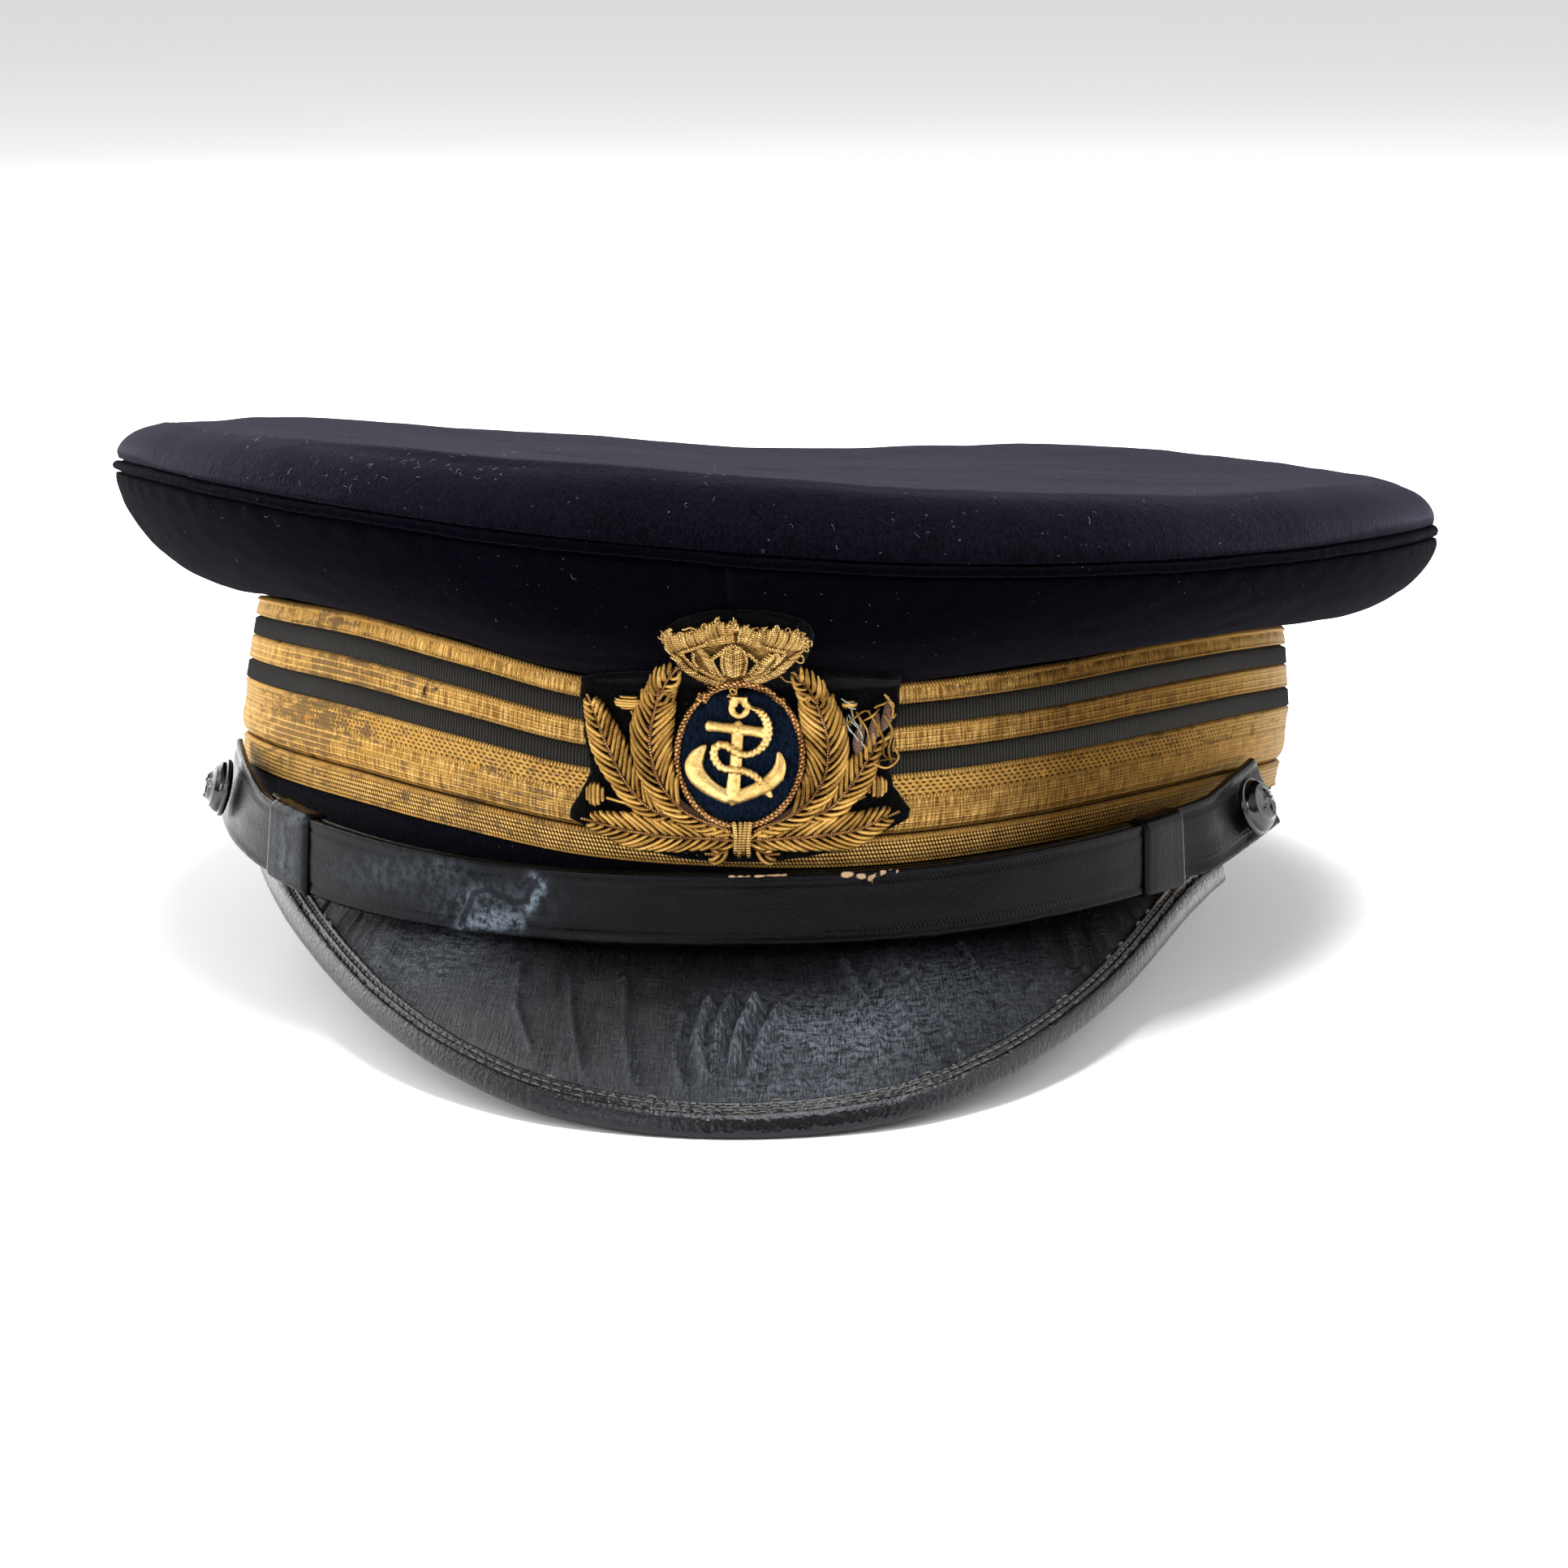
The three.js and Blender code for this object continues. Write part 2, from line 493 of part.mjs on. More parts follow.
function badgePoint(u, v, w) {
  const e = 0.4;
  const p = badgeBase(u, v);
  const du = badgeBase(u + e, v).sub(badgeBase(u - e, v));
  const dv = badgeBase(u, v + e).sub(badgeBase(u, v - e));
  const n = new THREE.Vector3().crossVectors(du, dv).normalize();
  return p.addScaledVector(n, w).toArray();
}
const W_PATCH = [0.1, 1.1], W_SEWN = 1.5;
// A plate given by rows: a grid on top, the same below, and its rim.
function rowPlate(table, across, w0, w1, crowned = 0) {
  const m = across + 1;
  const rows = table.rows;
  const grid = (w, top) => rows.flatMap(([v, left, right]) => span(left, right, across).map((u, k) => {
    const t = k / across;
    return badgePoint(u, v, w + (top ? crowned * 4 * t * (1 - t) : 0));
  }));
  const pos = [...grid(w1, true), ...grid(w0, false)];
  const n = rows.length, base = n * m;
  const idx = [];
  for (let i = 0; i < n - 1; i += 1) {
    for (let k = 0; k < across; k += 1) {
      const a = i * m + k, b = a + 1, c = a + m + 1, d = a + m;
      idx.push(a, b, c, a, c, d, base + a, base + c, base + b, base + a, base + d, base + c);
    }
  }
  const rim = [];
  for (let k = 0; k < across; k += 1) rim.push(k);
  for (let i = 0; i < n - 1; i += 1) rim.push(i * m + across);
  for (let k = across; k > 0; k -= 1) rim.push((n - 1) * m + k);
  for (let i = n - 1; i > 0; i -= 1) rim.push(i * m);
  rim.forEach((a, i) => {
    const b = rim[(i + 1) % rim.length];
    idx.push(a, base + a, base + b, a, base + b, b);
  });
  return solid(pos, idx);
}
add('badge_patch', rowPlate(PATCH_ROWS, 8, W_PATCH[0], W_PATCH[1]), 0x101014, 0.95);
add('badge_crown', rowPlate(CROWN_ROWS, 8, W_SEWN, W_SEWN + 1.2, 0.9), GOLD, 0.45, 0.8);
{
  const n = 28;
  const ring = (f, w) => Array.from({ length: n }, (_, k) => {
    const ph = (2 * Math.PI * k) / n;
    return badgePoint(FIELD.u * f * Math.cos(ph), FIELD.v * f * Math.sin(ph), w);
  });
  const pos = [...ring(1, W_SEWN), ...ring(1, W_SEWN + 0.9), ...ring(0.5, W_SEWN + 0.9), badgePoint(0, 0, W_SEWN + 0.9),
    ...ring(0.5, W_SEWN), badgePoint(0, 0, W_SEWN)];
  const idx = [];
  const top = 3 * n, bottom = 4 * n + 1, under = 3 * n + 1;
  for (let k = 0; k < n; k += 1) {
    const l = (k + 1) % n;
    idx.push(k, l, n + l, k, n + l, n + k, n + k, n + l, 2 * n + l, n + k, 2 * n + l, 2 * n + k, 2 * n + k, 2 * n + l, top,
      l, k, under + k, l, under + k, under + l, under + l, under + k, bottom);
  }
  add('badge_field', solid(pos, idx), 0x14202f, 0.95);
}
add('badge_cord', skin(Array.from({ length: 32 }, (_, i) => {
  const ph = (2 * Math.PI * i) / 32;
  return Array.from({ length: 5 }, (_, k) => {
    const q = (2 * Math.PI * k) / 5;
    const f = CORD.r * Math.cos(q);
    return badgePoint((CORD.u + f) * Math.cos(ph), (CORD.v + f) * Math.sin(ph), W_SEWN + CORD.r + CORD.r * Math.sin(q));
  });
}), true), 0x9c6f4a, 0.5, 0.7);

// Flat pieces are joined in the badge's plane, then bent onto it.
function toManifold(geometry) {
  const g = mergeVertices(geometry, 1e-5);
  return new wasm.Manifold(new wasm.Mesh({
    numProp: 3,
    vertProperties: new Float32Array(g.attributes.position.array),
    triVerts: new Uint32Array(g.index.array),
  }));
}
function bent(body) {
  const mesh = body.getMesh();
  const pos = [];
  for (let i = 0; i < mesh.vertProperties.length; i += mesh.numProp) {
    pos.push(badgePoint(mesh.vertProperties[i], mesh.vertProperties[i + 1], mesh.vertProperties[i + 2]));
  }
  return solid(pos, Array.from(mesh.triVerts));
}
const join = (parts) => parts.map(toManifold).reduce((a, b) => a.add(b));
function leaf([u0, v0, u1, v1, u2, v2, half], w0, w1) {
  const count = 7;
  const curve = new THREE.QuadraticBezierCurve(new THREE.Vector2(u0, v0), new THREE.Vector2(u1, v1), new THREE.Vector2(u2, v2));
  return skin(Array.from({ length: count + 1 }, (_, i) => {
    const t = i / count;
    const p = curve.getPoint(t), d = curve.getTangent(t);
    const h = half * Math.max(0.16, Math.sin(Math.PI * (0.12 + 0.85 * t)) ** 0.6) * (t > 0.97 ? 0.4 : 1);
    const rise = w0 + (w1 - w0) * (0.55 + 0.45 * Math.sin(Math.PI * t));
    return [[-h, w0], [h, w0], [h, lerp(w0, rise, 0.55)], [0, rise], [-h, lerp(w0, rise, 0.55)]]
      .map(([s, w]) => [p.x - d.y * s, p.y + d.x * s, w]);
  }), false);
}
function disc(u, v, ru, rv, w0, w1) {
  const n = 8;
  const ring = (f, w) => Array.from({ length: n }, (_, k) => {
    const ph = (2 * Math.PI * k) / n;
    return [u + ru * f * Math.cos(ph), v + rv * f * Math.sin(ph), w];
  });
  return skin([ring(1, w0), ring(1, lerp(w0, w1, 0.5)), ring(0.55, w1)], false);
}
function strip(points, half, w0, w1) {
  return skin(points.map(([x, y], i) => {
    const [ax, ay] = points[Math.max(i - 1, 0)], [bx, by] = points[Math.min(i + 1, points.length - 1)];
    const n = Math.hypot(bx - ax, by - ay);
    const h = Array.isArray(half) ? half[i] : half;
    const ox = (-(by - ay) / n) * h, oy = ((bx - ax) / n) * h;
    return [[x - ox, y - oy, w0], [x + ox, y + oy, w0], [x + ox, y + oy, w1], [x - ox, y - oy, w1]];
  }), false);
}
for (const side of ['left', 'right']) {
  const parts = LEAVES[side].map((row, i) => leaf(row, W_SEWN, W_SEWN + 2.2 - 0.13 * i));
  for (const [u, v, ru, rv, su, sv] of BERRIES[side]) {
    parts.push(disc(u, v, ru, rv, W_SEWN + 0.013, W_SEWN + 1.6));
    parts.push(strip([[u, v], [(u + su) / 2 + 0.3, (v + sv) / 2], [su, sv]], 0.4, W_SEWN + 0.02, W_SEWN + 0.9));
  }
  // the leaves stop short of the cord round the oval
  const n = 28;
  const keepOut = (ru, rv, w1) => {
    const ring = (w) => Array.from({ length: n }, (_, k) => {
      const ph = (2 * Math.PI * k) / n;
      return [ru * Math.cos(ph), rv * Math.sin(ph), w];
    });
    return toManifold(skin([ring(-1), ring(w1)], false));
  };
  const body = join(parts).subtract(keepOut(CORD.u + CORD.r + 0.35, CORD.v + CORD.r + 0.35, 9));
  add(`badge_wreath_${side}`, bent(body), GOLD, 0.45, 0.8);
}
add('badge_tie', (() => {
  const g = strip([[0.45, -15.0], [0.45, -13.4], [0.45, -11.6]], 1.2, W_SEWN + 2.6, W_SEWN + 3.4);
  return bent(toManifold(g));
})(), GOLD, 0.5, 0.7);
{
  const w0 = W_SEWN + 1.35, w1 = w0 + 1.2;
  const arc = (cu, cv, ru, rv, from, to, count) => span(from, to, count).map((d) => [cu + ru * Math.cos(rad(d)), cv + rv * Math.sin(rad(d))]);
  const arms = arc(-0.6, -1.0, 5.2, 4.6, 168, 378, 10);
  const parts = [
    strip([[0.0, 5.6], [-0.6, 0], [-1.2, -5.0]], [0.55, 0.7, 0.95], w0, w1),
    strip([[-4.9, 4.3], [4.3, 3.3]], 0.62, w0 + 0.011, w1 + 0.05),
    strip(arms, arms.map((_, i) => 0.55 + 0.75 * Math.sin((Math.PI * i) / 10)), w0 + 0.007, w1 - 0.1),
    strip([[-1.2, -4.6], [-1.4, -7.3]], [1.1, 0.2], w0 + 0.003, w1 - 0.2),
    strip([[-5.9, -1.4], [-5.0, 2.3]], [1.5, 0.25], w0 + 0.005, w1 - 0.15),
    strip([[4.5, -1.2], [5.2, 1.0]], [1.2, 0.25], w0 + 0.009, w1 - 0.15),
    strip([...arc(0.2, 2.0, 3.9, 4.2, 70, -80, 6), [-1.0, -1.8], [-3.3, -0.6], [-3.6, -2.2], [-1.6, -3.4], [1.2, -3.2], [3.4, -4.8]],
      0.5, w0 + 0.015, w1 + 0.15),
  ];
  const eye = skin(Array.from({ length: 10 }, (_, i) => {
    const ph = (2 * Math.PI * i) / 10;
    return [[-0.45, w0 + 0.017], [0.45, w0 + 0.017], [0.45, w1 - 0.05], [-0.45, w1 - 0.05]]
      .map(([s, w]) => [0.0 + (1.0 + s) * Math.cos(ph), 6.5 + (1.0 + s) * Math.sin(ph), w]);
  }), true);
  parts.push(eye);
  add('badge_anchor', bent(join(parts)), GILT, 0.35, 0.9);
}

// The hat's plan middle becomes the origin; it already stands on z = 0.
group.position.set(-ORIGIN[0], -ORIGIN[1], 0);
group.updateMatrixWorld(true);

export default group;
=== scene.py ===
import math
import bpy
import numpy as np
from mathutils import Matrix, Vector


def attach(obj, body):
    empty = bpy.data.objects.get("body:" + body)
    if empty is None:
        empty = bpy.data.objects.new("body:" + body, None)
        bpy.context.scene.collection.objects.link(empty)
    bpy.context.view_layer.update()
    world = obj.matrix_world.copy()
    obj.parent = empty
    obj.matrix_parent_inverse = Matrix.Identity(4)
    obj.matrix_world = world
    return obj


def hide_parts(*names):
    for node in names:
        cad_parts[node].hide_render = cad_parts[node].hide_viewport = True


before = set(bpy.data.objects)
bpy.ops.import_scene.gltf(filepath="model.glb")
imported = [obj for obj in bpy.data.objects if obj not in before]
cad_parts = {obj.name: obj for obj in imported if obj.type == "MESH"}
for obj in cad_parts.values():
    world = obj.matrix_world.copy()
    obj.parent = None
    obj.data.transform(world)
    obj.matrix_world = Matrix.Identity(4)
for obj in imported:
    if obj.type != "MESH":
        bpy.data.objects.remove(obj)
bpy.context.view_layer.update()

scene = bpy.context.scene
rng = np.random.default_rng(41)

# ----------------------------------------------------------------- the shape
# Lengths in millimetres about the hat's own axis, front to -Y. Points go to
# the row frame, in metres, only when a mesh is made.
ORIGIN = np.array([2.4, -15.153, 0.0])
GAP, CLOTH, BAND_WALL, RIBBON, LACE, PIPING = 0.3, 2.0, 2.3, 1.0, 1.0, 0.85
SHOULDER, DISH = 7.5, 2.5
VISOR_THICK, VISOR_CAMBER = 2.0, 1.2
STRAP, LOOP_WALL = 1.2, 1.0
BUTTON_R, BUTTON_H = 4.5, 3.3
BADGE_X, BADGE_Z = 1.2, 44.2
UNDER = LACE + GAP + RIBBON + GAP

SECTIONS = (['angle', 'foot', 'lace_low', 'lace_top', 'welt', 'brow'], [
    [-150, 0.0, 11.5, 37.5, 54.0, 64.8], [-120, 5.6, 16.5, 42.5, 62.0, 71.4],
    [-90, 13.0, 23.2, 49.4, 70.8, 77.8], [-75, 15.2, 27.6, 53.8, 75.0, 81.0],
    [-60, 16.8, 30.2, 57.0, 77.6, 84.2], [-45, 17.6, 31.4, 58.8, 78.4, 86.2],
    [-30, 17.9, 30.8, 57.6, 77.9, 86.6], [-15, 18.5, 28.9, 54.4, 76.5, 85.8],
    [0, 18.8, 28.1, 53.6, 74.8, 84.9], [15, 18.5, 27.8, 53.6, 72.7, 83.0],
    [30, 17.9, 28.4, 54.3, 71.2, 80.6], [45, 17.6, 28.5, 54.8, 69.8, 78.4],
    [60, 16.8, 27.3, 53.3, 68.1, 75.8], [75, 15.2, 24.0, 50.0, 65.4, 72.8],
    [90, 13.0, 19.6, 45.6, 61.6, 68.6], [120, 5.6, 13.4, 39.4, 56.0, 65.2],
    [150, 0.0, 10.3, 36.3, 51.6, 62.2], [180, 0.0, 9.5, 35.5, 50.0, 59.9]])
OVALS = {'foot': (80.5, 80.0, 103.6, 102.0), 'lace_low': (84.0, 83.2, 106.4, 104.0),
         'lace_mid': (83.4, 85.2, 106.4, 104.0), 'lace_top': (81.0, 84.2, 105.4, 103.0),
         'welt': (102.6, 107.4, 126.0, 116.0)}
VISOR = (['angle', 'length', 'fall'], [
    [-74, 1.9, 0.8], [-66, 3.1, 1.3], [-58, 5.2, 2.2], [-50, 8.4, 3.4], [-42, 12.8, 4.8], [-34, 18.5, 6.8],
    [-26, 25.6, 9.4], [-18, 33.2, 12.5], [-10, 39.8, 15.3], [0, 43.2, 16.8], [10, 40.6, 15.6], [18, 33.6, 12.7],
    [26, 25.2, 9.3], [34, 17.4, 6.3], [42, 10.8, 3.9], [50, 5.8, 2.2], [58, 2.7, 1.2], [63, 1.7, 0.7]])
STRAP_LINE = (['angle', 'high', 'off_high', 'low', 'off_low'], [
    [-71, 32.4, 1.7, 20.2, 4.4], [-66, 32.2, 2.6, 20.8, 5.4], [-60, 31.3, 4.0, 20.0, 6.2],
    [-54, 29.4, 4.9, 18.7, 6.0], [-40, 28.2, 4.6, 16.9, 4.9], [-20, 27.5, 4.2, 17.2, 4.4],
    [0, 27.9, 4.0, 17.8, 4.2], [20, 28.3, 4.0, 18.0, 4.2], [40, 29.7, 4.8, 19.4, 5.0],
    [50, 30.7, 4.4, 20.0, 5.6], [58, 32.0, 2.8, 22.0, 6.2], [64, 32.9, 2.2, 23.2, 6.6]])


class Rows:
    """Smooth curves through the columns of a table, by turn angle in degrees."""

    def __init__(self, table, closed):
        self.names, rows = table
        R = np.array(rows, float)
        if closed:
            a, b = R[-2:].copy(), R[:3].copy()
            a[:, 0] -= 360
            b[:, 0] += 360
            R = np.vstack([a, R, b])
        m = np.zeros_like(R)
        m[1:-1] = (R[2:] - R[:-2]) / (R[2:, :1] - R[:-2, :1])
        m[0] = (R[1] - R[0]) / (R[1, 0] - R[0, 0])
        m[-1] = (R[-1] - R[-2]) / (R[-1, 0] - R[-2, 0])
        self.R, self.m, self.closed = R, m, closed

    def __call__(self, name, a):
        R, x = self.R, self.R[:, 0]
        a = np.asarray(a, float)
        a = (a - x[2]) % 360 + x[2] if self.closed else np.clip(a, x[0], x[-1])
        i = np.clip(np.searchsorted(x, a, side='right') - 1, 0, len(x) - 2)
        j = self.names.index(name)
        h = x[i + 1] - x[i]
        t = (a - x[i]) / h
        return ((2 * t**3 - 3 * t * t + 1) * R[i, j] + (t**3 - 2 * t * t + t) * h * self.m[i, j]
                + (3 * t * t - 2 * t**3) * R[i + 1, j] + (t**3 - t * t) * h * self.m[i + 1, j])


section, visor_row, strap_row = Rows(SECTIONS, True), Rows(VISOR, False), Rows(STRAP_LINE, False)


def lerp(a, b, t):
    return a + (b - a) * t


def smooth(x, lo, hi):
    t = np.clip((np.asarray(x, float) - lo) / (hi - lo), 0, 1)
    return t * t * (3 - 2 * t)


def stack(x, y, z):
    return np.stack(np.broadcast_arrays(x, y, z), -1).astype(float)


def on_oval(name, angle, off=0.0):
    left, right, front, back = OVALS[name]
    a = np.radians(angle)
    s, c = np.sin(a), np.cos(a)
    A = np.where(s > 0, right, left)
    B = np.where(c > 0, front, back)
    nx, ny = s / A, -c / B
    n = np.hypot(nx, ny)
    return A * s + off * nx / n, -B * c + off * ny / n


def oval_normal(name, angle):
    x0, y0 = on_oval(name, angle, 0.0)
    x1, y1 = on_oval(name, angle, 1.0)
    return stack(x1 - x0, y1 - y0, 0.0)


def foot(angle):
    return np.maximum(section('foot', angle), 0)


def wall(angle, level, off, lift=0.0):
    """Band wall: level 0 is the foot, 1 the laces' lower edge, 3 their top."""
    angle, level, off, lift = np.broadcast_arrays(*[np.asarray(v, float) for v in (angle, level, off, lift)])
    low, top = section('lace_low', angle), section('lace_top', angle)
    zs = [foot(angle), low, (low + top) / 2, top]
    xy = [on_oval(n, angle, off) for n in ('foot', 'lace_low', 'lace_mid', 'lace_top')]
    i = np.clip(np.floor(level).astype(int), 0, 2)
    t = level - i
    pick = lambda arrs, k: np.choose(k, arrs)
    x = lerp(pick([p[0] for p in xy], i), pick([p[0] for p in xy], i + 1), t)
    y = lerp(pick([p[1] for p in xy], i), pick([p[1] for p in xy], i + 1), t)
    z = lerp(pick(zs, i), pick(zs, i + 1), t) + lift
    return np.stack([x, y, z], -1)


def crown_side(angle, t, depth=0.0):
    angle, t, depth = np.broadcast_arrays(*[np.asarray(v, float) for v in (angle, t, depth)])
    s = np.sin(np.radians(angle))
    belly = 0.25 + np.where(s < 0, -0.58, 0.75) * s
    z0, z1 = section('lace_top', angle) + GAP + 0.2, section('welt', angle) - PIPING - GAP
    fx = lambda q: (1 - belly) * q + belly * np.sin(q * np.pi / 2)
    fz = lambda q: (1 - belly) * q + belly * (1 - np.cos(q * np.pi / 2))
    px_, py_ = on_oval('lace_top', angle)
    qx, qy = on_oval('welt', angle)
    run = np.hypot(qx - px_, qy - py_)
    ux, uy = (qx - px_) / run, (qy - py_) / run
    a, b = np.clip(t - 0.02, 0, 1), np.clip(t + 0.02, 0, 1)
    dr, dz = (fx(b) - fx(a)) * run, (fz(b) - fz(a)) * (z1 - z0)
    n = np.hypot(dr, dz)
    reach = run * fx(t) - depth * dz / n
    return np.stack([px_ + ux * reach, py_ + uy * reach, np.minimum(lerp(z0, z1, fz(t)) + depth * dr / n, z1)], -1)


_turns = np.arange(-180, 180, 1.0)
BROW_MEAN = float(section('brow', _turns).mean())


def crown_top(angle, s, depth=0.0):
    angle, s, depth = np.broadcast_arrays(*[np.asarray(v, float) for v in (angle, s, depth)])
    z0, z1 = section('welt', angle) + PIPING + GAP, section('brow', angle) - depth
    ph = np.clip(s, 0, 1) * np.pi / 2
    ex, ey = on_oval('welt', angle, -0.2 - depth - (SHOULDER - depth) * (1 - np.cos(ph)))
    ez = lerp(z0, z1, np.sin(ph))
    r = 2 - np.clip(s, 1, 2)
    tx, ty = on_oval('welt', angle, -0.2 - SHOULDER)
    tz = BROW_MEAN - depth - DISH + (z1 + depth - BROW_MEAN) * r + DISH * r * r
    edge = s <= 1
    return np.stack([np.where(edge, ex, tx * r), np.where(edge, ey, ty * r), np.where(edge, ez, tz)], -1)


def visor_point(angle, e, h):
    angle, e, h = np.broadcast_arrays(*[np.asarray(v, float) for v in (angle, e, h)])
    length = visor_row('length', angle)
    x, y = on_oval('foot', angle, e)
    drop = visor_row('fall', angle) * e / length
    arch = VISOR_CAMBER * (length / 43) * np.sin(np.pi * np.clip(e / length, 0, 1))
    root = section('foot', angle) - GAP - VISOR_THICK / 2
    return np.stack([x, y, np.maximum(root - np.maximum(drop, 0) + arch + h, 0)], -1)


def strap_point(angle, share, deep):
    angle, share, deep = np.broadcast_arrays(*[np.asarray(v, float) for v in (angle, share, deep)])
    z = lerp(strap_row('low', angle), strap_row('high', angle), share)
    off = lerp(strap_row('off_low', angle), strap_row('off_high', angle), share)
    x, y = on_oval('lace_low', angle, off - deep)
    return np.stack([x, y, z], -1)


# Where a point of the hat falls in the 1932 px square frame, seen from the
# Worn places, painted shade and highlights, and lint are put on the hat by it.
CAM_D, CAM_H, CAM_F = 740.0, 168.0, 5680.0
CAM_AZ, CAM_HEAD, CAM_PITCH = math.radians(2.5), math.radians(2.25), math.radians(11.4058)
CAM_AT = np.array([CAM_D * math.sin(CAM_AZ), -CAM_D * math.cos(CAM_AZ), CAM_H])


def px(P):
    r = np.array([math.cos(CAM_HEAD), math.sin(CAM_HEAD), 0])
    h = np.array([-math.sin(CAM_HEAD), math.cos(CAM_HEAD), 0])
    z = np.array([0, 0, 1.0])
    fw = h * math.cos(CAM_PITCH) - z * math.sin(CAM_PITCH)
    up = h * math.sin(CAM_PITCH) + z * math.cos(CAM_PITCH)
    d = np.asarray(P) - CAM_AT
    w = d @ fw
    return 966 + CAM_F * (d @ r) / w, 966 - CAM_F * (d @ up) / w


def near_line(x, y, line, width):
    """1 on a polyline given in pixels, falling to 0 over width."""
    best = np.full(np.shape(x), 1e9)
    L = np.array(line, float)
    for (ax, ay), (bx, by) in zip(L[:-1], L[1:]):
        dx, dy = bx - ax, by - ay
        t = np.clip(((x - ax) * dx + (y - ay) * dy) / (dx * dx + dy * dy + 1e-9), 0, 1)
        best = np.minimum(best, np.hypot(x - ax - t * dx, y - ay - t * dy))
    return np.exp(-(best / width) ** 2)


def blob(x, y, cx, cy, rx, ry):
    return np.exp(-(((x - cx) / rx) ** 2 + ((y - cy) / ry) ** 2))


# ------------------------------------------------------------ seeded noise
_lattice = np.random.default_rng(5).random((256, 256))


def noise(x, y, seed=0):
    x, y = np.asarray(x, float) + 17.3 * seed, np.asarray(y, float) - 9.1 * seed
    xi, yi = np.floor(x).astype(int), np.floor(y).astype(int)
    fx, fy = x - xi, y - yi
    fx, fy = fx * fx * (3 - 2 * fx), fy * fy * (3 - 2 * fy)
    g = lambda i, j: _lattice[i % 256, j % 256]
    return lerp(lerp(g(xi, yi), g(xi + 1, yi), fx), lerp(g(xi, yi + 1), g(xi + 1, yi + 1), fx), fy) * 2 - 1


def fbm(x, y, seed=0, octaves=3):
    total, amp = 0, 1.0
    for k in range(octaves):
        total = total + amp * noise(np.asarray(x) * 2**k, np.asarray(y) * 2**k, seed + k)
        amp *= 0.5
    return total


# ------------------------------------------------------------- mesh making
def make(name, verts, faces, material, attrs=None, replaces=(), smooth_faces=True):
    me = bpy.data.meshes.new(name)
    P = (np.asarray(verts, float).reshape(-1, 3) - ORIGIN) / 1000
    if isinstance(faces, np.ndarray):
        faces = faces.tolist()
    me.from_pydata(P.tolist(), [], faces)
    me.validate()
    for key, values in (attrs or {}).items():
        values = np.asarray(values, np.float32)
        if values.ndim > 1 and values.shape[-1] == 3:
            me.attributes.new(key, 'FLOAT_VECTOR', 'POINT').data.foreach_set('vector', values.reshape(-1))
        else:
            me.attributes.new(key, 'FLOAT', 'POINT').data.foreach_set('value', values.reshape(-1))
    if smooth_faces:
        me.polygons.foreach_set('use_smooth', np.ones(len(me.polygons), bool))
    me.materials.append(material)
    me.update()
    ob = bpy.data.objects.new(name, me)
    scene.collection.objects.link(ob)
    fix_out(me)
    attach(ob, 'root')
    if replaces:
        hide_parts(*replaces)
    return ob


def fix_out(me):
    """Faces point out of a closed mesh."""
    import bmesh
    bm = bmesh.new()
    bm.from_mesh(me)
    bmesh.ops.recalc_face_normals(bm, faces=bm.faces)
    bm.to_mesh(me)
    bm.free()


def grid_faces(n, m, wrap_n, wrap_m, base=0):
    i = np.arange(n if wrap_n else n - 1)
    j = np.arange(m if wrap_m else m - 1)
    I, J = np.meshgrid(i, j, indexing='ij')
    I2, J2 = (I + 1) % n, (J + 1) % m
    f = np.stack([I * m + J, I2 * m + J, I2 * m + J2, I * m + J2], -1).reshape(-1, 4) + base
    return f


def ring_piece(name, P, material, attrs, replaces):
    """Closed loops of points P[n, m, 3] joined round the head."""
    n, m = P.shape[:2]
    return make(name, P, grid_faces(n, m, True, True), material, attrs, replaces)


def bar_piece(name, P, material, attrs=None, replaces=()):
    """Closed loops of points P[n, m, 3] joined along a bar, with both ends shut."""
    n, m = P.shape[:2]
    faces = grid_faces(n, m, False, True).tolist()
    faces.append(list(range(m)))
    faces.append([(n - 1) * m + k for k in range(m)][::-1])
    return make(name, P, faces, material, attrs, replaces)


def arc_turns(count, oval='lace_mid'):
    """Turn angles with equal steps of arc round an oval, and the whole length."""
    a = np.linspace(-180, 180, 7201)
    x, y = on_oval(oval, a)
    s = np.concatenate([[0], np.cumsum(np.hypot(np.diff(x), np.diff(y)))])
    at = np.arange(count) / count * s[-1]
    return np.interp(at, s, a), at, float(s[-1])


